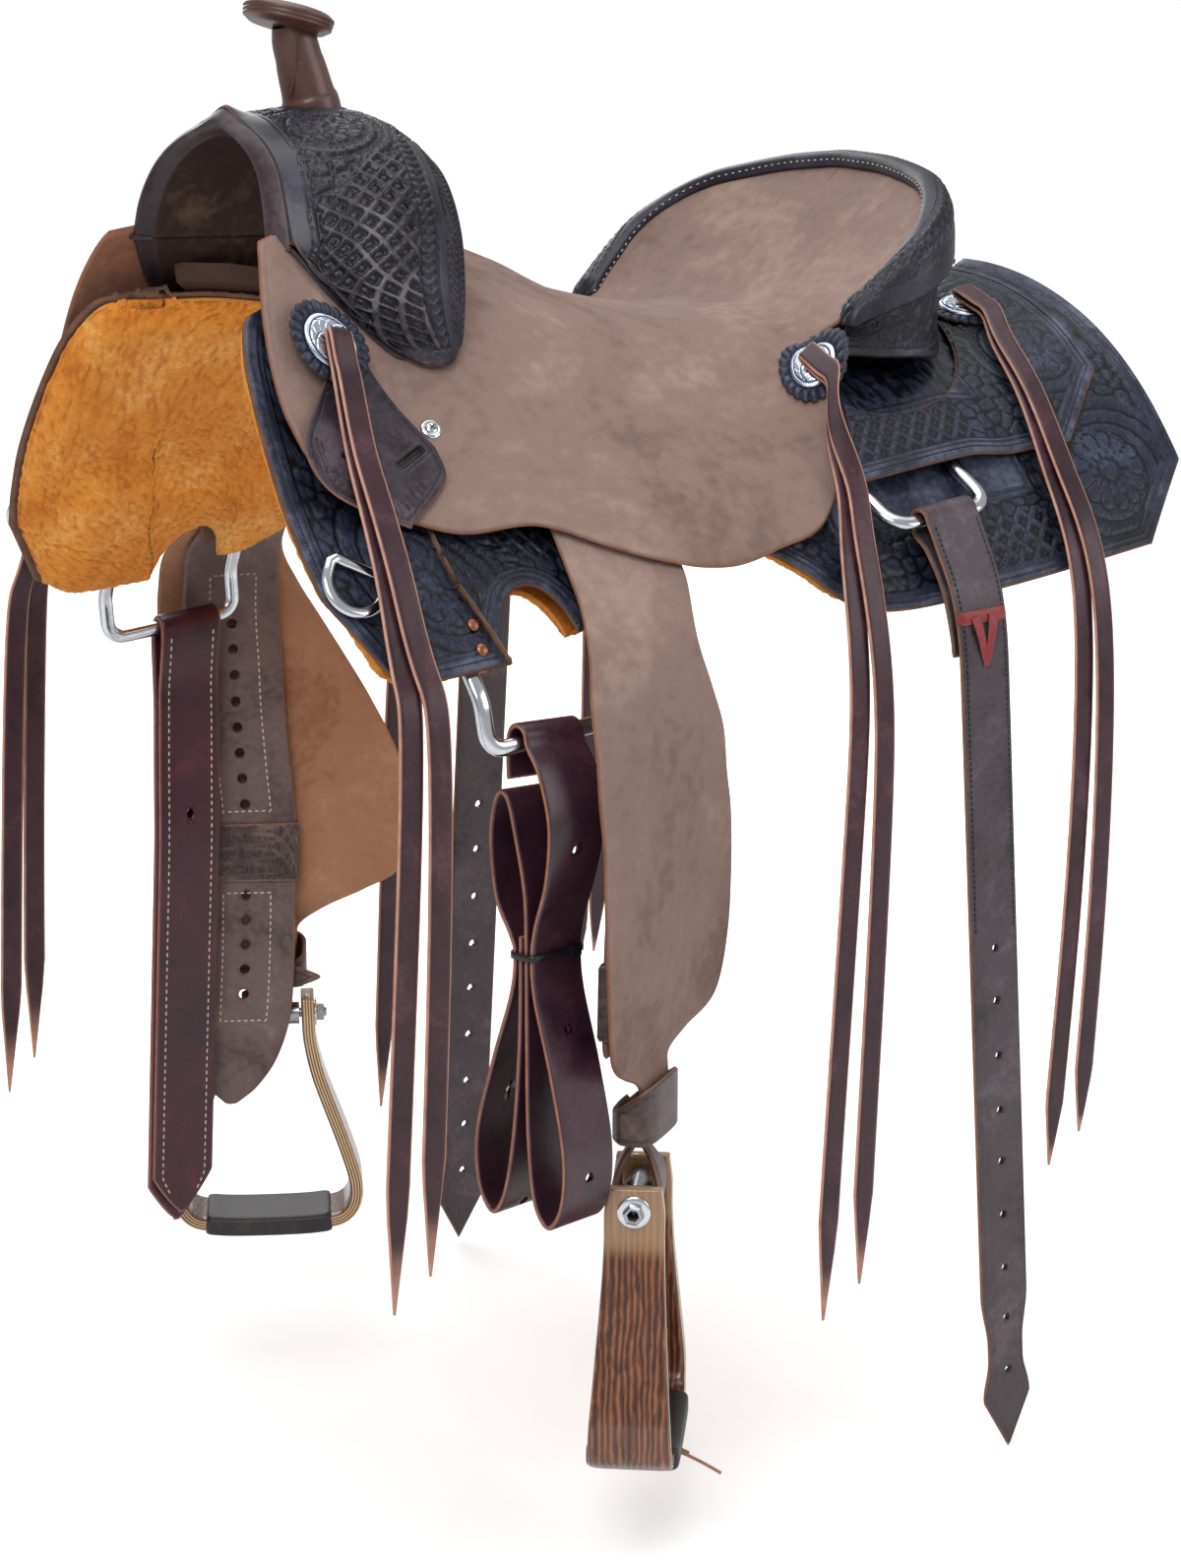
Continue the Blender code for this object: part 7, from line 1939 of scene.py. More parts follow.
def dress_horn():
    """Horn: neck and cap turned from profiles of radius and height, and a seam."""
    lean = Matrix.Translation(HORN_FOOT) @ Matrix.Rotation(HORN_LEAN, 4, "Y")
    top = HORN_HEIGHT
    neck = [(0.0125, top + 0.012), (0.0150, top + 0.002), (0.0156, top - 0.010), (0.0162, 0.026)]
    neck += [(HORN_NECK_R + 0.0004, 0.018), (HORN_NECK_R + 0.0008, 0.011),
             (HORN_NECK_R + 0.0014, 0.0050), (HORN_NECK_R + 0.0026, 0.0016),
             (HORN_NECK_R + 0.0030, -0.0040), (HORN_NECK_R + 0.0028, -0.0100)]
    keep(lathe("horn_neck", smooth_run(neck, 5), lean, horn_look, 96), BODY, "horn_neck")
    seam = []
    for t in np.linspace(0, 1, 60):
        angle = math.radians(205 + 50 * t)
        radius = np.interp(0.010 + 0.034 * t, [0.010, 0.018, 0.03, 0.05], [0.0205, 0.0175, 0.0164,
                                                                          0.0152])
        seam.append(tuple(lean @ Vector((radius * math.cos(angle), radius * math.sin(angle),
                                         0.010 + 0.034 * t))))
    keep(tube("horn_wrap_seam", np.array(seam), 0.0006, horn_look, steps=8), BODY)
    top_point = lean @ Vector((0, 0, HORN_HEIGHT + 0.0166))
    tilt = Matrix.Translation(top_point) @ Matrix.Rotation(CAP_TILT, 4, "Y")
    half = CAP_THICK / 2
    cap = [(0.0, half + 0.0002), (CAP_R * 0.40, half + 0.0001), (CAP_R * 0.72, half - 0.0004),
           (CAP_R * 0.88, half - 0.0016), (CAP_R * 0.965, half - 0.0034)]
    cap = list(smooth_run(cap, 4))
    for k, z in enumerate((0.0022, -0.0006, -0.0032)):
        cap += [(CAP_R * (1.0 - 0.012 * k), z + 0.0012), (CAP_R * (1.012 - 0.012 * k), z),
                (CAP_R * (1.0 - 0.014 * k), z - 0.0010), (CAP_R * (0.975 - 0.014 * k), z - 0.0013)]
    cap += [(CAP_R * 0.84, -half * 0.92), (CAP_R * 0.60, -half * 1.05), (0.0, -half * 1.05)]
    keep(lathe("horn_cap", cap, tilt, horn_look, 120), BODY, "horn_cap")


# Conchos, strings and fittings

def round_piece(name, points, side, look, values):
    """Rows of points round a centre, joined to a surface that faces outwards."""
    rows = np.array(points)
    faces = quads(closed_grid(*rows.shape[:2]), side == OFF).tolist()
    return mesh_object(name, rows, faces, look, {k: np.array(v) for k, v in values.items()})


def dress_concho(key, side):
    """A scalloped rosette, radius R (0.925 + 0.075 |cos(11 t)|^0.6), and a silver dome on it."""
    name = key + "_" + SIDE_NAME[side]
    t = np.linspace(0, 2 * math.pi, 264, endpoint=False)
    lobes = np.abs(np.cos(ROSETTE_PETALS * t / 2))
    shares = np.concatenate([np.linspace(0.62, 0.94, 14), [0.97, 0.99, 1.0, 1.0, 0.985]])
    points, carve, face = [], [], []
    for k, share in enumerate(shares):
        reach = ROSETTE_R * (0.925 + 0.075 * lobes**0.6) * share
        swell = math.sin(math.pi * min(max((share - 0.66) / 0.34, 0), 1))**0.7
        high = ROSETTE_THICK * (0.45 + 0.65 * swell * lobes**0.5)
        left = len(shares) - k
        if left <= 2:
            high = high * 0 + (0.0012 if left == 2 else 0.0)
        points.append(concho_point(key, side, ROSETTE_LIFT + high, reach * np.cos(t),
                                   reach * np.sin(t)))
        carve.append(0.25 + 0.75 * swell * lobes**0.5)
        face.append(np.full(len(t), 1.0 if left > 2 else 0.1))
    keep(round_piece("rosette_" + name, points, side, tooled_look,
                     {"carve": carve, "face": face}), BODY, "concho_" + name)
    points, carve = [], []
    for share in np.concatenate([[0.0], np.linspace(0.03, 0.93, 46),
                                 [0.955, 0.975, 0.99, 1.0, 0.995]]):
        r = share * CONCHO_R
        dome = CONCHO_HEIGHT * (1 - share**2)**0.5 if share < 1 else 0.0
        swirl = share * 1.7 + 0.16 * np.sin(t * 5 + share * 14) + t * 4 / (2 * math.pi)
        band = np.abs(swirl - np.round(swirl))
        curl = smoothstep(band, 0.05, 0.11) * smoothstep(
            np.abs(np.sin(t * 5.0 - share * 11)), 0.05, 0.16)
        rope = smoothstep(np.abs(np.sin(t * 32 + share * 40)), 0.15, 0.6)
        h = np.where(share > 0.87, rope, curl)
        h = np.where(abs(share - 0.85) < 0.022, 0.0, h)
        lift = ROSETTE_LIFT + ROSETTE_THICK * 0.55 + dome + 0.0006 * h
        points.append(concho_point(key, side, lift, r * np.cos(t), r * np.sin(t)))
        carve.append(h)
    keep(round_piece("silver_" + name, points, side, silver_look, {"carve": carve}), BODY)


def dress_strings(key, side):
    """One string folded over its concho: a smooth run down, back up and down again, with the
    two halves parting by the square of the share down their length."""
    lying, hung = STRINGS[key]
    low, normals, across = [], [], []
    top = 0.0024
    over = ROSETTE_LIFT + ROSETTE_THICK + CONCHO_HEIGHT + STRING_THICK / 2 + 0.0010
    start = concho_point(key, side, over)
    normal = unit(concho_point(key, side, over + 0.001) - start)
    for v, lower in ((0.0, 0.0), (CONCHO_R, 0.0022), (ROSETTE_R + 0.001, 0.0030)):
        low.append(concho_point(key, side, over - lower, 0.0, v))
        normals.append(normal)
        across.append((concho_point(key, side, over, 0.001, v)
                       - concho_point(key, side, over, 0.0, v)) * 1000)
    for x, y, surface, lift in lying:
        for rows, row in zip((low, normals, across), side_frame(x, y, lift, side, surface)):
            rows.append(np.array(row))
    for x, y, z in hung:
        low.append(np.array([x, y * side, z]))
        normals.append(np.array([0.0, side, 0.0]))
        across.append(np.array([1.0, 0.0, 0.0]))
    low, normals = np.array(low), np.array(normals)
    count = len(low)
    gap = np.linspace(0, 1, count)**2 * STRING_SPREAD[key]
    high = low + normals * 2 * top
    high[:, 0] += gap
    low[:, 0] -= gap
    high[-1, 2] += 0.022
    fold = low[0] - unit(low[1] - low[0]) * top * 1.3 + normals[0] * top
    path = smooth_run(np.vstack([low[::-1], fold[None], high]), 14)
    across = smooth_run(np.vstack([across[::-1], across[:1], across]), 14)
    along = lengths(path)
    from_end = np.minimum(along, along[-1] - along)
    width = STRING_WIDTH * np.clip(from_end / 0.030, 0.06, 1.0)**0.9
    # the bends of the path are eased by a moving mean, but not the fold or the tips
    fold_at = along[count * 14]
    ease = (smoothstep(np.abs(along - fold_at), 0.014, 0.034)
            * smoothstep(from_end, 0.004, 0.03))[:, None]
    weights = np.hanning(27)[1:-1]
    weights /= weights.sum()
    for rows in (path, across):
        wide = np.pad(rows, ((12, 12), (0, 0)), mode="edge")
        soft = np.stack([np.convolve(wide[:, k], weights, "valid") for k in range(3)], 1)
        rows += (soft - rows) * ease
    sway = np.sin(along * 9.0 + side * 1.7) * 0.0006 * smoothstep(from_end, 0.0, 0.05)
    path = path + unit(across) * sway[:, None]
    grid = strap_grid(path, across, width, 9)
    outward = unit(np.cross(across, np.gradient(path, axis=0)))
    if np.dot(outward[-len(outward) // 5], [0, side, 0]) < 0:
        outward = -outward
    name = "strings_" + key + "_" + SIDE_NAME[side]
    made = leather(name, grid, STRING_THICK, string_look, outward[:, None], offset=0.0,
                   round_share=0.3)
    keep(made, name, name)


def cap_screw(name, matrix, radius):
    """A low turned head with a cross of two dark slots."""
    profile = [(0.0, 0.0022), (radius * 0.5, 0.0021), (radius * 0.8, 0.0015), (radius, 0.0004),
               (radius, -0.0006)]
    keep(lathe(name, smooth_run(profile, 4), matrix, steel_look, 40), BODY)
    reach = radius * 0.5
    for k in range(2):
        angle = k * math.pi / 2 + 0.5
        ends = [matrix @ Vector((reach * math.cos(angle) * s, reach * math.sin(angle) * s, 0.0021))
                for s in (-1, 1)]
        keep(tube(name + "_slot_%d" % k, np.array([ends[0], (ends[0] + ends[1]) / 2, ends[1]]),
                  0.0005, black_look, start_up=(0.3, 0.5, 0.8), steps=6), BODY)


def dress_fittings(side):
    """Turned pieces set square to the leather: a washer and cap screw, and two rivets."""
    name = SIDE_NAME[side]
    point, normal, along = side_frame(*SCREW_AT, 0.0004, side, on_seat)
    ring = [(0.0040, 0.0006), (0.0052, 0.0012), (0.0066, 0.0010), (0.0072, 0.0)]
    keep(lathe("screw_washer_" + name, ring, axis_matrix(point, normal, along), steel_look, 48),
         BODY)
    cap_screw("screw_" + name, axis_matrix(point + normal * 0.0006, normal, along), 0.0046)
    dome = [(0.0, 0.0019), (0.0024, 0.0016), (0.0041, 0.0006), (0.0045, -0.0006)]
    for k, (x, y) in enumerate(RIVETS_AT):
        point, normal, along = side_frame(x, y, 0.0001, side)
        keep(lathe("copper_rivet_%d_" % k + name, smooth_run(dome, 4),
                   axis_matrix(point, normal, along), copper_look, 40), BODY)


def rigging_dee(name, frame_of, half, flat, top, drop, bend, crank):
    """A dee's outline, cranked at its bend and softened, with a rounded oval bar along it."""
    corners = dee_outline(half, flat, top, drop, 14)
    outline = []
    for (a, b), (c, d) in zip(corners[:-1], corners[1:]):
        steps = max(int(math.hypot(c - a, d - b) / 0.003), 1)
        outline += [(a + (c - a) * t, b + (d - b) * t) for t in np.arange(steps) / steps]
    outline.append(corners[-1])
    points = np.array([cranked(frame_of, a, b, bend, crank) for a, b in outline])
    for _ in range(4):
        points[1:-1] = points[1:-1] * 0.5 + (points[:-2] + points[2:]) * 0.25
    side_dir, up = carried(points, np.array(frame_of[2]))
    a, b = squarish(24, 0.8, 0.8)
    made = sweep(name, points, side_dir, up, np.stack([a * 0.0055, b * DEE_WIRE * 0.92], -1),
                 steel_look)
    keep(made, BODY, name)


def dress_dees(side):
    """The two rigging dees, and the breast collar dee: a half ring and its straight bar."""
    name = SIDE_NAME[side]
    rigging_dee("front_dee_" + name, front_dee_frame(side), FRONT_DEE_HALF, FRONT_DEE_FLAT,
                FRONT_DEE_TOP, FRONT_DEE_DROP, FRONT_DEE_BEND, FRONT_DEE_CRANK)
    rigging_dee("rear_dee_" + name, rear_dee_frame(side), REAR_DEE_HALF, REAR_DEE_FLAT,
                REAR_DEE_TOP, REAR_DEE_DROP, REAR_DEE_BEND, REAR_DEE_CRANK)
    point, normal, along = side_frame(*BREAST_DEE_AT, BREAST_DEE_WIRE + 0.0009, side)
    up = normal.cross(along).normalized()
    if up.z < 0:
        up = -up
    bar = (along * math.cos(BREAST_DEE_LEAN) - up * math.sin(BREAST_DEE_LEAN)).normalized()
    out = (along * math.sin(BREAST_DEE_LEAN) + up * math.cos(BREAST_DEE_LEAN)).normalized()
    half = BREAST_DEE_HALF
    outline = [(half - 0.003, 0.012), (half, 0.008)]
    outline += [(half * math.cos(t), -half * 1.05 * math.sin(t)) for t in
                np.linspace(0.0, math.pi, 41)]
    outline += [(-half, 0.008), (-half + 0.003, 0.012)]
    outline += [(-half + 0.003 + (2 * half - 0.006) * t, 0.012) for t in
                np.linspace(0, 1, 12)[1:-1]]
    points = np.array([point + bar * a + out * b for a, b in outline])
    t = np.linspace(0, 2 * math.pi, 20, endpoint=False)
    tangent = unit(np.roll(points, -1, axis=0) - np.roll(points, 1, axis=0))
    ups = np.broadcast_to(np.array(normal), points.shape)
    section = np.stack([np.cos(t) * 0.0037, np.sin(t) * BREAST_DEE_WIRE * 0.85], -1)
    made = sweep("breast_dee_" + name, points, np.cross(tangent, ups), ups, section, steel_look,
                 closed=True)
    keep(made, "breast_dee_" + name, "breast_dee_" + name)


# Hanging leathers

def dress_fender(side):
    """Fender: rows across it, down over the skirt and then hanging, smoothed between."""
    name = "fender_" + SIDE_NAME[side]
    grid = leather_grid(FENDER_TOP_Y, FENDER_LIFT, 0.084, FENDER[side], 7, side)
    fine, _ = even_rows(grid, shares_with_edges(200, 0.45))
    fine = spline_rows(fine.swapaxes(0, 1), shares_with_edges(56, 0.16)).swapaxes(0, 1)
    edge = edge_field(fine)
    soft = bump_noise(fine[..., 0], fine[..., 2], 0.05, 6) - 0.5
    relief = 0.0006 * soft - 0.0004 * np.exp(-((edge - 0.0045) / 0.0007)**2)
    made = leather(name, fine, FENDER_THICK, seat_look if side == NEAR else fender_off_look,
                   OUT[side], offset=0.0, relief=relief)
    keep(made, name, name)


def dress_stirrup_leather(side):
    """Stirrup leather: the same rows, with buckle holes and two stitched panels where it shows."""
    name = SIDE_NAME[side]
    grid = leather_grid(LEATHER_TOP_Y, LEATHER_LIFT, LEATHER_WIDTH, LEATHER[side], 4, side,
                        LEATHER_THICK / 2 + 0.0009)
    fine, _ = even_rows(grid, shares_with_edges(200 if side == OFF else 150, 0.55))
    fine = spline_rows(fine.swapaxes(0, 1), shares_with_edges(46, 0.076)).swapaxes(0, 1)
    centre = fine[:, fine.shape[1] // 2]
    holes = []
    if side == OFF:
        holes = [(0.0, float(np.interp(-z, -centre[:, 2], lengths(centre))), LEATHER_HOLE_R)
                 for z in [-0.170 - 0.020 * k for k in range(9)]
                 + [-0.402 - 0.020 * k for k in range(5)]]
    made = leather("stirrup_leather_" + name, fine, LEATHER_THICK, worn_look, OUT[side],
                   offset=0.0, holes=holes)
    keep(made, "fender_" + name, "stirrup_leather_" + name)
    if side == NEAR:
        return
    # the stitched panels show on the leather's inner face, towards the horse
    n, _ = grid_normals(fine, -OUT[side])
    a, b = fine.shape[1] // 2 - 11, fine.shape[1] // 2 + 11
    for tag, z0, z1 in (("upper", -0.150, -0.338), ("lower", -0.398, -0.505)):
        rows = np.nonzero((centre[:, 2] < z0) & (centre[:, 2] > z1))[0]
        line, ups = (np.vstack([g[rows, a], g[rows[-1], a:b], g[rows[::-1], b],
                                g[rows[0], b:a:-1]]) for g in (fine, n))
        row = stitches("leather_stitch_" + tag, line, ups, 0.0, 0.0052, pale_thread_look,
                       0.0034, 0.0006, LEATHER_THICK / 2)
        keep(row, "fender_" + name)


def dress_sleeve(side):
    """Sleeve round the leather: a rounded rectangle carried down between two heights."""
    name = "leather_sleeve_" + SIDE_NAME[side]
    half_a = LEATHER_WIDTH / 2 + 0.0006 + SLEEVE_WALL / 2
    half_b = LEATHER_THICK / 2 + 0.0006 + SLEEVE_WALL / 2
    high, low = SLEEVE_Z[side]
    ring_a, ring_b = squarish(120, 0.22, 0.22)
    rows = []
    for z in np.linspace(high, low, 24):
        centre, turn = leather_station(side, z)
        rear, out = turn_frame(turn, side)
        rows.append(centre + rear * (ring_a * half_a)[:, None] + out * (ring_b * half_b)[:, None])
    rows = np.array(rows)
    rows = np.concatenate([rows, rows[:, :1]], 1)
    h = 1.0
    if side == OFF:
        net = lattice(np.linspace(0, 0.17, rows.shape[1])[None] + 0 * rows[..., 0],
                      np.linspace(0, high - low, 24)[:, None] + 0 * rows[..., 0], 0.012, 0.012)
        h = 0.7 + 0.3 * net
    made = leather(name, rows, SLEEVE_WALL, brown_look, rows - rows.mean(axis=1, keepdims=True),
                   offset=0.0, sides="tb", values={"carve": h})
    keep(made, "fender_" + SIDE_NAME[side], name)


def between_edges(grid, shares):
    """Columns at the given shares between the two edges of a strap's rows."""
    return grid[:, :1] + (grid[:, 1:] - grid[:, :1]) * shares[None, :, None]


def dress_hobble(side):
    """Hobble strap: a band along its path, between a lower and an upper edge, to a point."""
    name = SIDE_NAME[side]
    rear, out = turn_frame(HOBBLE_TURN[side], side)
    path = hobble_path(side)
    x, y = HOBBLE_AT[side]
    high, low = HOBBLE_Z[side]
    centre = np.array([x, y * side, 0.0])
    count = len(path)
    share = np.clip((path[:, 1] / HOBBLE_HALF[1] + 1) / 2, 0, 1)
    top = low + 0.020 + (high - low - 0.020) * share
    bottom = np.full(count, low)
    tip = np.zeros(count)
    tip[-4:] = (0.15, 0.35, 0.65, 1.0)
    middle = (top + bottom) / 2
    top = top + (middle + 0.001 - top) * tip
    bottom = bottom + (middle - 0.001 - bottom) * tip
    flat = centre + path[:, :1] * rear + path[:, 1:] * out
    grid = np.stack([flat, flat], 1)
    grid[:, 0, 2], grid[:, 1, 2] = bottom, top
    fine = spline_rows(grid, np.linspace(0, 1, 240))
    fine = between_edges(fine, shares_with_edges(22, 0.03))
    toward = unit(np.cross(np.gradient(fine, axis=0), np.gradient(fine, axis=1)))
    check = fine[:60] - centre
    check[..., 2] = 0
    if np.sum(toward[:60] * check) < 0:
        toward = -toward
    h = 0.25 + 0.75 * beveled(edge_field(fine, "lr"), 0.0035, 0.0005)
    made = leather("hobble_strap_" + name, fine, HOBBLE_WALL, brown_look, toward, offset=0.0,
                   relief=-0.0004 * (1 - h), values={"carve": h})
    keep(made, "fender_" + name, "hobble_strap_" + name)


def upright_path(centre, along, out, rows):
    """Points at (along, height) rows in the stirrup's plane, and the section's up direction."""
    path = centre + rows[:, :1] * along + rows[:, 1:2] * UP
    tangent = unit(np.gradient(path, axis=0))
    return path, unit(np.cross(np.broadcast_to(out, tangent.shape), tangent))


def dress_stirrup(side):
    """Bent wood stirrup: a rounded plank's section carried round the stirrup's profile."""
    name = "stirrup_" + SIDE_NAME[side]
    centre, along, out = stirrup_frame(side)
    half = np.array([(s, z, w) for (s, z), w in zip(STIRRUP_PROFILE, STIRRUP_WIDTHS)])
    rows = np.vstack([half[:-1], half[::-1] * (-1, 1, 1)])
    rows = smooth_run(smooth_run(rows, 2), 6)
    path, up = upright_path(centre, along, out, rows)
    ring_a, ring_b = squarish(56, 0.16, 0.30)
    section = np.stack([ring_a[None] * rows[:, 2:3] / 2, np.broadcast_to(
        ring_b[None] * STIRRUP_THICK / 2, (len(rows), len(ring_b)))], -1)
    cut = smoothstep(np.abs(ring_a), 0.955, 0.99)[None]
    # pale is painted light on the stirrup's top: stronger on the near stirrup than on the off one
    pale = smoothstep(rows[:, 1:2], -0.034, -0.022) * (0.8 if side == NEAR else 0.35)
    made = sweep(name, path, out, up, section, wood_look, values={"cut": cut, "pale": pale})
    keep(made, name, name)


def dress_stirrup_bolt(side):
    """One bolt through both arms in a spacer sleeve, with a washer and a hex nut at each end."""
    name = SIDE_NAME[side]
    body = "stirrup_" + name
    centre, along, _ = stirrup_frame(side)
    face = STIRRUP_TOP_HALF + 0.0006 + STIRRUP_THICK / 2
    matrix = axis_matrix(centre, along)
    rod = [(0.0, face + 0.0095), (0.0030, face + 0.0095), (BOLT_R - 0.0008, face + 0.0085),
           (BOLT_R - 0.0008, face + 0.001), (BOLT_R, -face), (0.0, -face - 0.002)]
    keep(lathe("stirrup_bolt_" + name, rod, matrix, dark_steel_look, 32), body,
         "stirrup_bolt_" + name)
    reach = face - STIRRUP_THICK - 0.0018
    keep(lathe("bolt_sleeve_" + name, [(BOLT_SLEEVE_R, reach), (BOLT_SLEEVE_R, -reach)], matrix,
               dark_steel_look, 40), body)
    washer = [(0.0050, 0.0016), (0.0095, 0.0016), (0.0108, 0.0011), (0.0112, 0.0004),
              (0.0112, -0.0004)]
    for way in (-1, 1):
        disc = axis_matrix(centre + along * way * face, along * way)
        keep(lathe("bolt_washer_%s_%d" % (name, way + 1), washer, disc, steel_look, 56), body)
        rings = [[tuple(disc @ Vector((r * math.cos(a), r * math.sin(a), z)))
                  for a in np.radians(np.arange(6) * 60 + 12)] for z, r in NUT_RINGS]
        nut = mesh_object("bolt_nut_%s_%d" % (name, way + 1), np.array(rings),
                          quads(closed_grid(4, 6), True).tolist(), dark_steel_look, smooth=False)
        keep(nut, body)


def dress_stirrup_loop(side):
    """The leather loop from the hobble strap round the bolt's sleeve, of changing width."""
    name = SIDE_NAME[side]
    centre, along, out = stirrup_frame(side)
    wide, top = LOOP_HALF[side], LOOP_TOP[side] - centre[2]
    radius = BOLT_SLEEVE_R + 0.0005 + LEATHER_THICK / 2
    leg = [(0.0027, top, 0.008), (0.0029, top - 0.019, 0.008),
           (wide * 0.60, 0.5 * (top - 0.003), 0.020), (wide * 0.92, 0.016, LOOP_WIDTH[side]),
           (wide, 0.004, LOOP_WIDTH[side])]
    bottom = [(wide * math.cos(a), -radius * math.sin(a), LOOP_WIDTH[side])
              for a in np.linspace(0.35, math.pi - 0.35, 7)]
    rows = smooth_run(np.array(leg + bottom + [(-a, z, w) for a, z, w in leg[::-1]]), 10)
    path = centre + rows[:, :1] * out + rows[:, 1:2] * UP
    grid = strap_grid(path, along, rows[:, 2], 17)
    toward = path - np.array([centre[0], centre[1], 0])
    toward[:, 2] = np.minimum(path[:, 2] - centre[2] - 0.012, 0)
    made = leather("stirrup_loop_" + name, grid, LEATHER_THICK, worn_look, toward[:, None])
    keep(made, "loop_" + name, "stirrup_loop_" + name)


def dress_tread(side):
    """Leather wrapped round the tread, its lacing below, and two loose ends on the near side."""
    name = SIDE_NAME[side]
    body = "stirrup_" + name
    centre, along, out = stirrup_frame(side)
    fine = smooth_run([(0.0500, -0.1677), (0.030, -0.1695), (0.0, -0.1700), (-0.030, -0.1695),
                       (-0.0500, -0.1677)], 14)
    path, up = upright_path(centre, along, out, fine)
    wrap_a = STIRRUP_TREAD_WIDTH / 2 + 0.0008 + TREAD_WRAP * 0.9
    wrap_b = STIRRUP_THICK / 2 + 0.0008 + TREAD_WRAP * 0.9
    ring_a, ring_b = squarish(56, 0.22, 0.40)
    from_end = np.minimum(np.arange(len(fine)), np.arange(len(fine))[::-1])
    swell = 1 - 0.10 * np.exp(-from_end / 1.2)
    section = np.stack([ring_a[None] * (wrap_a * swell)[:, None],
                        ring_b[None] * (wrap_b * swell)[:, None]], -1)
    made = sweep("tread_cover_" + name, path, out, up, section, black_leather_look,
                 values={"face": 1.0, "carve": 1.0})
    keep(made, body, "tread_cover_" + name)
    if side == NEAR:
        t = np.linspace(0, 1, 30)[:, None]
        for k, (ahead, drop) in enumerate(((0.052, 0.020), (0.030, 0.009))):
            ends = (centre + along * (0.004 + 0.006 * k) + out * (0.004 + ahead * t)
                    - UP * (0.1705 + wrap_b + 0.0012 + drop * t**1.6))
            keep(tube("tread_thong_near_%d" % k, ends, 0.0015, thong_look, steps=12, flat=0.7),
                 body)
    laces = [centre + along * (-0.040 + 0.010 * k) - UP * (0.1700 + wrap_b - 0.0003)
             for k in range(9)]
    keep(beads("tread_lacing_" + name, laces, np.broadcast_to(out + along * 0.4, (9, 3)),
               np.broadcast_to([0, 0, -1.0], (9, 3)), 0.016, 0.0012, black_leather_look), body)


# Latigo and billets

def dress_latigo():
    """Latigo: its folded path beside the dee turned with depth, its holes, and its tie."""
    bar = front_bar(NEAR)
    origin = np.array([LATIGO_X, bar.y, bar.z])
    path = smooth_run(LATIGO_PATH, 12)
    depth = smoothstep(-path[:, 1], 0.02, 0.11)
    rears = np.array([turn_frame(LATIGO_TURN * share, NEAR)[0] for share in depth])
    rear, out = turn_frame(LATIGO_TURN, NEAR)
    line = origin + path[:, :1] * out + path[:, 1:] * UP
    grid = between_edges(strap_grid(line, rears, LATIGO_WIDTH, 2),
                         shares_with_edges(24, LATIGO_WIDTH))
    run = lengths(line)
    holes = [(0.0, float(run[min(k * 6, len(run) - 2)]), HOLE_R) for k in (15, 23, 27, 38, 61, 67)]
    n = unit(np.cross(np.gradient(grid, axis=0), np.gradient(grid, axis=1)))
    toward = n * (1 if (n[len(n) // 4] * out).sum() > 0 else -1)
    made = leather("latigo", grid, LATIGO_THICK, strap_look, toward, offset=0.0, holes=holes,
                   values={"carve": 1.0})
    keep(made, "latigo", "latigo")
    centre = origin + UP * LATIGO_TIE_Z + out * 0.001
    a, b = squarish(96, 0.35, 0.35)
    ring = (centre + rear * (a * (LATIGO_WIDTH / 2 + 0.0016))[:, None]
            + out * (b * 0.0118)[:, None])
    section = np.array([(-0.0022, -0.0008), (-0.0022, 0.0008), (0.0022, 0.0008),
                        (0.0022, -0.0008)])
    made = sweep("latigo_tie", ring, np.broadcast_to(UP, ring.shape), unit(ring - centre),
                 section, black_look, closed=True)
    keep(made, "latigo", "latigo_tie")
    head = centre + out * 0.0128 + rear * 0.012
    rows = np.array([[head + rear * a + out * b + UP * z for a, b in
                      ((-0.004, -0.002), (0.004, -0.002), (0.004, 0.0025), (-0.004, 0.0025))]
                     for z in (-0.0034, 0.0034)])
    faces = quads(closed_grid(2, 4), False).tolist() + [[0, 1, 2, 3], [7, 6, 5, 4]]
    keep(mesh_object("latigo_tie_head", rows, faces, black_look, smooth=False), "latigo")


def hung_grid(origin, path, slant, turn, widths, side, bar_along, columns):
    """A strap that hangs from a dee's bar: level with the bar above, turned and slanted below."""
    rear, out = turn_frame(turn, side)
    free = smoothstep(-path[:, 1], 0.015, 0.10)[:, None]
    rears = np.array(bar_along) * (1 - free) + rear * free
    line = origin + path[:, :1] * out + path[:, 1:] * UP
    line[:, 0] -= slant * np.minimum(path[:, 1], 0.0)
    grid = between_edges(strap_grid(line, rears, widths, 2), shares_with_edges(columns, 0.05))
    n = unit(np.cross(np.gradient(grid, axis=0), np.gradient(grid, axis=1)))
    return grid, n, out


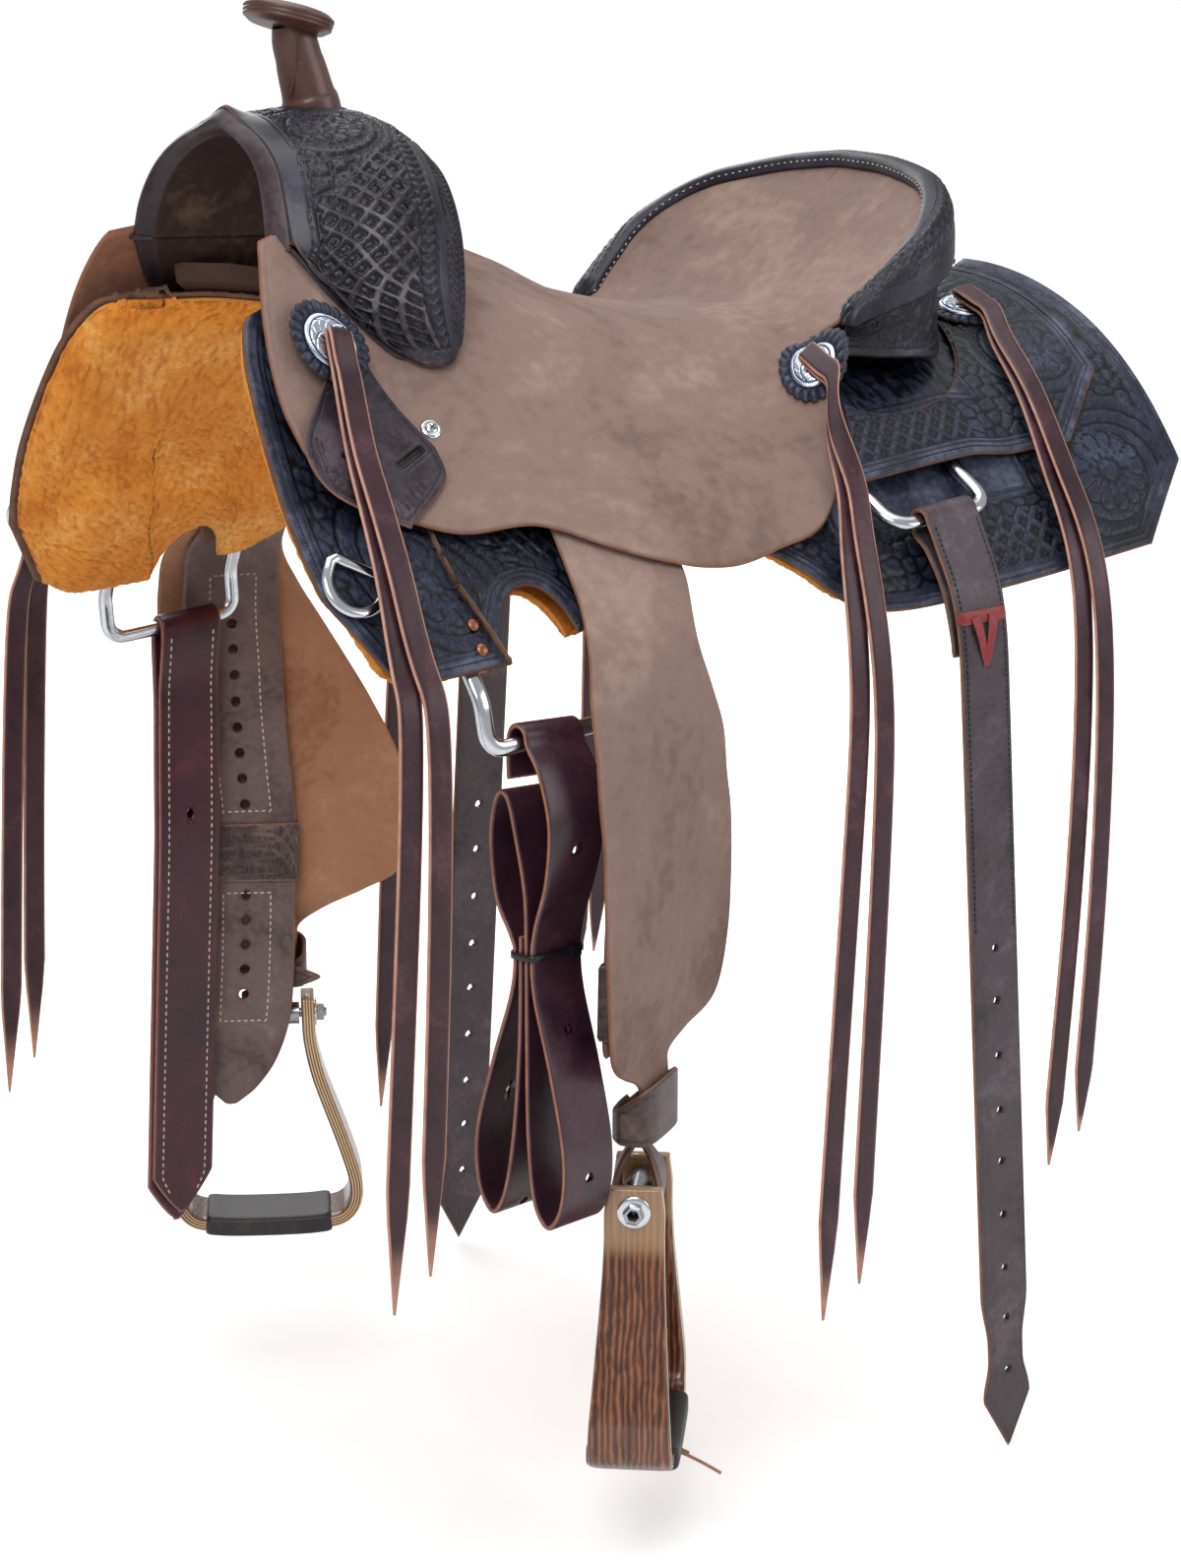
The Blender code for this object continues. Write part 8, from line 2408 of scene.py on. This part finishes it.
def dress_off_billet():
    """Off billet: two plies that meet over the dee's bar, with pointed ends and stitched edges."""
    bar = front_bar(OFF)
    origin = np.array([OFF_BILLET_X, bar.y, bar.z])
    runs = {}
    for ply, way, length in (("inner", -1, 0.465), ("outer", 1, 0.474)):
        runs[ply] = [(way * 0.0042 - 0.0085 * min(z / 0.17, 1.0) - 0.004 * z, -z) for z in
                     (0.075, 0.120, 0.170, 0.260, 0.360, length - 0.040, length - 0.016, length)]
    fold = [(-0.0065, -0.045), (-0.0084, -0.016), (-0.0084, -0.003), (-0.0060, 0.0056),
            (0.0, 0.0086), (0.0060, 0.0056), (0.0084, -0.003), (0.0080, -0.016),
            (0.0035, -0.045)]
    path = smooth_run(runs["inner"][::-1] + fold + runs["outer"], 12)
    run = lengths(path)
    ends = np.minimum(run, run[-1] - run)
    widths = OFF_BILLET_WIDTH * np.clip((ends / 0.030)**0.75, 0.10, 1.0)
    grid, n, out = hung_grid(origin, path, -0.055, 2.0, widths, OFF, front_dee_frame(OFF)[3], 30)
    split = int(np.argmax(path[:, 1]))
    full = lengths(grid[:, grid.shape[1] // 2])
    holes = [(0.0, float(full[int(np.argmin(np.abs(path[:split, 1] - z)))]), HOLE_R)
             for z in (-0.148, -0.222, -0.299, -0.377)]
    toward = n * (1 if (n[-20] * out).sum() > 0 else -1)
    made = leather("off_billet", grid, 0.0048, billet_look, toward, offset=0.0, holes=holes)
    keep(made, "off_billet", "off_billet")
    n, _ = grid_normals(grid, toward)
    last = grid.shape[1] - 1
    for ply, rows in (("inner", slice(12, split - 26)), ("outer", slice(split + 26, -12))):
        for tag, column in (("front", 6), ("rear", last - 6)):
            row = stitches("billet_stitch_%s_%s" % (ply, tag), grid[rows, column],
                           n[rows, column], 0.0, 0.0058, pale_thread_look, 0.0036, 0.0006, 0.0024)
            keep(row, "off_billet")


def billet_path():
    """A rear billet's path and widths: over the bar, straight down, a waist and an arrow."""
    back = [(0.0285, -0.092), (0.0275, -0.078), (0.0205, -0.045), (0.0070, -0.020),
            (-0.0030, -0.011), (-0.0076, -0.002), (-0.0052, 0.0058)]
    front = [(0.0, 0.0078), (0.0056, 0.0058), (0.0095, -0.001), (0.0175, -0.018),
             (0.0290, -0.045), (0.0350, -0.080)]
    front += [(0.0360, z) for z in (-0.130, -0.200, -0.340, -0.500, -0.628, -0.656, -0.680)]
    path = smooth_run(back + front, 4)
    gap = lengths(path)
    at = np.linspace(0, gap[-1], 380)
    path = np.column_stack([np.interp(at, gap, path[:, k]) for k in (0, 1)])
    z = path[:, 1]
    in_front = np.arange(len(path)) > int(np.argmax(z))
    waist = smoothstep(-z, 0.560, 0.600) * (1 - smoothstep(-z, 0.612, 0.640))
    widths = BILLET_WIDTH * 0.9 * (1 - 0.26 * waist * in_front)
    arrow = np.clip((0.680 + z) / 0.038, 0.03, 1.0)
    return path, np.where(in_front, widths * arrow, widths), in_front


def billet_carving(across, down, edge, on_front):
    """A basket panel of crosses in a frame, then scallops down both sides to the arrow."""
    h = np.ones(across.shape)
    panel = box_mask(across, down, -0.0150, 0.0150, 0.120, 0.285, 0.0012) * on_front
    cross_row = (down / 0.0122) - np.floor(down / 0.0122) - 0.5
    cross = np.minimum(np.abs(cross_row - across / 0.022), np.abs(cross_row + across / 0.022))
    weave = np.maximum(1 - smoothstep(cross, 0.10, 0.20), 0.55 * smoothstep(
        np.abs(across), 0.010, 0.0125) * smoothstep(np.abs(np.sin(down * 900)), 0.2, 0.6))
    h = h * (1 - panel) + weave * panel
    frame_line = box_mask(across, down, -0.0165, 0.0165, 0.1185, 0.2865, 0.0008) - box_mask(
        across, down, -0.0152, 0.0152, 0.1198, 0.2852, 0.0008)
    h = h - 0.8 * frame_line * on_front
    zone = smoothstep(down, 0.292, 0.300) * on_front
    wave = 0.0125 + 0.0030 * np.abs(np.sin(math.pi * down / 0.0155))
    scallop = smoothstep(np.abs(across) - wave, -0.0012, -0.0002) * (
        0.35 + 0.5 * smoothstep(np.abs(np.sin(down * 2600)), 0.1, 0.5))
    band = (np.abs(across) > wave - 0.0010) & (edge > 0.0030)
    h = np.where(band & (zone > 0.5), scallop, h)
    return np.clip(h * (0.2 + 0.8 * beveled(edge, 0.0030, 0.0005)), 0, 1)


def billet_lace(name, grid, face_n, at, low):
    """The red lace: a band round the strap, and two ends that meet in a V below it."""
    last = grid.shape[1] - 1
    over = LEATHER_THICK / 2 + 0.0010
    spots = np.array([grid[at, j] + face_n * over for j in
                      (0, 6, last // 3, last // 2, 2 * last // 3, last - 6, last)])
    spots[0] -= face_n * 0.0024
    spots[-1] -= face_n * 0.0024
    band = smooth_run(spots, 6)
    lace = strap_grid(band, grid[at + 4, 0] - grid[at, 0], 0.0085, 5)
    keep(leather("lace_band_" + name, lace, 0.0014, red_look, face_n, offset=0.0), name)
    end = grid[low, last // 2] + face_n * over
    for tag, j in (("a", last // 3), ("b", 2 * last // 3)):
        start = grid[at, j] + face_n * (over + 0.0016)
        run = smooth_run(np.array([start, start * 0.65 + end * 0.35 + face_n * 0.0012,
                                   start * 0.3 + end * 0.7 + face_n * 0.0006, end]), 6)
        lace = strap_grid(run, np.cross(unit(end - start), face_n),
                          np.linspace(0.0078, 0.0046, len(run)), 5)
        keep(leather("lace_v_%s_%s" % (tag, name), lace, 0.0014, red_look, face_n, offset=0.0),
             name)


def dress_rear_billet(side):
    """Rear billet: the strap over its dee's bar, carved on its front, holed, stitched, laced."""
    name = "rear_billet_" + SIDE_NAME[side]
    path, widths, in_front = billet_path()
    z = path[:, 1]
    grid, n, out = hung_grid(np.array(rear_bar(side)), path, REAR_BILLET[side][0], 3.0, widths,
                             side, rear_dee_frame(side)[3], 34)
    full = lengths(grid[:, grid.shape[1] // 2])
    split = int(np.argmax(z))

    def row_at(depth):
        return split + int(np.argmin(np.abs(z[split:] + depth)))
    holes = [(0.0, float(full[row_at(0.300 + 0.040 * k)]), HOLE_R * 0.9) for k in range(9)]
    across = cross_lengths(grid)
    across -= across[:, -1:] / 2
    uv = np.stack([across, np.broadcast_to(full[:, None], across.shape)], -1)
    on_front = in_front[:, None] * np.ones(across.shape)
    h = billet_carving(across, np.broadcast_to(-z[:, None], across.shape),
                       edge_field(grid, "lr"), on_front)
    toward = n * (1 if (n[-30] * out).sum() > 0 else -1)
    made = leather(name, grid, LEATHER_THICK, rear_billet_look, toward, offset=0.0, uv=uv,
                   holes=holes, relief=-0.0009 * (1 - h) * on_front, values={"carve": h})
    keep(made, name, name)
    n, _ = grid_normals(grid, toward)
    last = grid.shape[1] - 1
    rows = slice(split + 8, row_at(0.290))
    for tag, column in (("front", 5), ("rear", last - 5)):
        row = stitches(name + "_stitch_" + tag, grid[rows, column], n[rows, column], 0.0, 0.0040,
                       thread_look, 0.0030, 0.0006, LEATHER_THICK / 2)
        keep(row, name)
    at = row_at(0.066)
    billet_lace(name, grid, n[at, last // 2], at, row_at(0.099))


def seat_stamp(x, y):
    """A place of the plan in the keeper's own measures, along the seat's surface."""
    return np.array([x, float(girth(np.float64(x), np.float64(y), seat_height))])


def dress_keeper():
    """Latigo keeper: a ruled strip over the seat jockey, with a cut sprig and two sunk slots."""
    u = shares_with_edges(110, 0.11)
    v = shares_with_edges(70, 0.05)
    inner = curve_at([KEEPER_INNER], u)
    outer = curve_at([KEEPER_OUTER], u)
    plan = inner[:, None] + (outer - inner)[:, None] * v[None, :, None]
    x, y = plan[..., 0], plan[..., 1]
    grid = place(on_seat(x, y, KEEPER_THICK + LOFT_GAP), NEAR)
    pu, pv = x, girth(x, y, seat_height)
    edge = edge_field(grid)
    h = 0.15 + 0.85 * beveled(edge, 0.0042, 0.0006)
    sprig = smoothstep(edge, 0.006, 0.0065) * (1 - smoothstep(edge, 0.0135, 0.0150))
    sprig = sprig * smoothstep(pv, seat_stamp(-0.24, 0.1890)[1], seat_stamp(-0.24, 0.1930)[1])
    cuts = smoothstep(np.abs(np.sin(pu * 720 + edge * 330)), 0.12, 0.55)
    h = h * (1 - sprig) + sprig * (0.25 + 0.75 * cuts)
    near = []
    for start, end in (((-0.2700, 0.1830), (-0.2560, 0.1900)),
                       ((-0.2330, 0.1875), (-0.2120, 0.1800))):
        a, way = seat_stamp(*start), seat_stamp(*end) - seat_stamp(*start)
        t = np.clip(((pu - a[0]) * way[0] + (pv - a[1]) * way[1]) / (way**2).sum(), 0, 1)
        near.append(np.hypot(pu - a[0] - t * way[0], pv - a[1] - t * way[1]))
    near = np.minimum(*near)
    cut = 1 - smoothstep(near, 0.0016, 0.0026)
    h = h * (1 - cut)
    rim = np.exp(-((near - 0.0045) / 0.0007)**2)
    relief = -0.0006 * (1 - h) - 0.0026 * cut - 0.0003 * rim
    made = leather("latigo_keeper", grid, KEEPER_THICK, keeper_look, OUT[NEAR], relief=relief,
                   values={"carve": h})
    keep(made, BODY, "latigo_keeper")


def dress_gullet_thongs():
    """Two thong loops that come through the fork's wall, each with a nail's head below."""
    for k, z in enumerate((0.142, 0.113)):
        centre = np.array([-0.222, -0.071 - 0.006 * k, z])
        t = np.linspace(-0.3, 1.15 * math.pi, 26)
        loop = centre + np.stack([-0.010 * np.sin(t) * 0.6, 0.011 * np.sin(t),
                                  0.012 * np.cos(t)], -1)
        lace = strap_grid(loop, np.broadcast_to([1.0, 0.0, 0.1], loop.shape), 0.0060, 5)
        toward = unit(loop - centre)
        made = leather("gullet_thong_%d" % k, lace, 0.0020, thong_look, toward[:, None],
                       offset=0.0)
        keep(made, BODY)
        head = axis_matrix(centre + np.array([0.004, -0.003, -0.002]), (-0.4, 1.0, 0.2))
        keep(lathe("gullet_nail_%d" % k, [(0.0, 0.0012), (0.0020, 0.0010), (0.0030, 0.0)], head,
                   steel_look, 24), BODY)


black_leather_look = leather_look("black_wrap_leather", srgb(20, 16, 20), srgb(38, 32, 36),
                                  srgb(62, 52, 54), srgb(70, 50, 42), srgb(30, 22, 22), 0.45, 26.0)
fender_off_look = leather_look("fender_with_tan_back", srgb(140, 98, 74), srgb(160, 118, 92),
                               srgb(176, 134, 106), srgb(164, 122, 96), srgb(150, 108, 82), 0.88,
                               12.0, grain_depth=0.0006, specular=0.2)

for this_side in (NEAR, OFF):
    dress_skirt(this_side)
    dress_fleece(this_side)
    dress_rear_jockey(this_side)
    dress_dees(this_side)
    dress_fittings(this_side)
    dress_fender(this_side)
    dress_stirrup_leather(this_side)
    dress_sleeve(this_side)
    dress_hobble(this_side)
    dress_stirrup(this_side)
    dress_stirrup_bolt(this_side)
    dress_stirrup_loop(this_side)
    dress_tread(this_side)
    dress_rear_billet(this_side)
    for place_key in CONCHOS:
        dress_concho(place_key, this_side)
        dress_strings(place_key, this_side)
dress_seat()
dress_swell()
dress_gullet()
dress_gullet_thongs()
dress_binding()
dress_cantle_back()
dress_horn()
dress_keeper()
dress_latigo()
dress_off_billet()

# the tree's parts take the dark tree colour, a painted shade for the inside of the gullet
for inner_name in ("tree_bar_near", "tree_bar_off", "cantle_board", "ground_seat", "fork"):
    inner_node = frame["nodes"][inner_name]
    inner_node.data.materials.clear()
    inner_node.data.materials.append(shaded_tree_look)
core = frame["nodes"]["horn_core"]
core.data.materials.clear()
core.data.materials.append(dark_steel_look)


# Floor, light and camera

def soft_light(name, at, size, power, colour=(1.0, 1.0, 1.0)):
    """A soft lamp that looks at the saddle."""
    lamp = bpy.data.lights.new(name, "AREA")
    lamp.shape = "RECTANGLE"
    lamp.size, lamp.size_y = size
    lamp.energy = power
    lamp.color = colour
    made = bpy.data.objects.new(name, lamp)
    bpy.context.scene.collection.objects.link(made)
    made.location = at
    toward = Vector((0.0, 0.0, -0.15)) - Vector(at)
    made.rotation_euler = toward.to_track_quat("-Z", "Y").to_euler()
    return made


def make_floor():
    """A pale floor below the saddle that glows evenly to the camera."""
    low = cad_low.z - 0.004
    mesh = bpy.data.meshes.new("floor")
    reach = 6.0
    mesh.from_pydata([(-reach, -reach, low), (reach, -reach, low), (reach, reach, low),
                      (-reach, reach, low)], [], [(0, 1, 2, 3)])
    floor = bpy.data.objects.new("floor", mesh)
    bpy.context.scene.collection.objects.link(floor)
    look, tree, shader, where = new_look("pale_floor")
    seen = node(tree, "LightPath").outputs["Is Camera Ray"]
    away = node(tree, "VectorMath", {0: where}, operation="LENGTH").outputs["Value"]
    glow = maths(tree, "MULTIPLY", seen, spread(tree, away, 0.6, 2.4, 0.28, 0.9))
    put(tree, shader, Base_Color=(0.92, 0.92, 0.92, 1.0), Roughness=0.9, Specular_IOR_Level=0.1,
        Emission_Color=(1.0, 1.0, 1.0, 1.0), Emission_Strength=glow)
    mesh.materials.append(look)


make_floor()
soft_light("key_light", (-1.9, -1.7, 1.9), (1.6, 1.6), 50.0)
soft_light("fill_light", (1.7, -2.4, 0.9), (2.0, 1.6), 24.0)
soft_light("top_light", (0.2, 0.2, 2.6), (2.4, 2.4), 40.0)
soft_light("back_light", (0.6, 2.4, 1.1), (2.0, 1.4), 24.0)

world = bpy.data.worlds.new("studio")
bpy.context.scene.world = world
world.use_nodes = True
sky = world.node_tree
sky.nodes.clear()
path_kind = node(sky, "LightPath")
shown = maths(sky, "MAXIMUM", path_kind.outputs["Is Camera Ray"],
              path_kind.outputs["Is Transmission Ray"])
strength = maths(sky, "ADD", maths(sky, "MULTIPLY", shown, 0.60), 0.46)
background = node(sky, "Background", {"Color": (1.0, 1.0, 1.0, 1.0), "Strength": strength})
world_out = node(sky, "OutputWorld")
sky.links.new(background.outputs["Background"], world_out.inputs["Surface"])

# The camera fitted to the photograph: its place, its focal length and the picture's height
# in pixels, how far round it stands from square on, and how far down it looks.
CAMERA_AT = (-1.27657, -1.86536, 0.210)
FOCAL, PICTURE_HIGH = 3200, 1593
CAMERA_ROUND, CAMERA_DOWN = math.radians(35.4), math.radians(12.27)
camera_data = bpy.data.cameras.new("photo_camera")
camera_data.sensor_fit = "VERTICAL"
camera_data.sensor_height = 36.0
camera_data.lens = 36.0 * FOCAL / PICTURE_HIGH
camera = bpy.data.objects.new("photo_camera", camera_data)
bpy.context.scene.collection.objects.link(camera)
camera.location = CAMERA_AT
forward = Vector((math.sin(CAMERA_ROUND) * math.cos(CAMERA_DOWN),
                  math.cos(CAMERA_ROUND) * math.cos(CAMERA_DOWN), -math.sin(CAMERA_DOWN)))
camera.rotation_euler = forward.to_track_quat("-Z", "Y").to_euler()
bpy.context.scene.camera = camera
bpy.context.scene.view_settings.view_transform = "Standard"
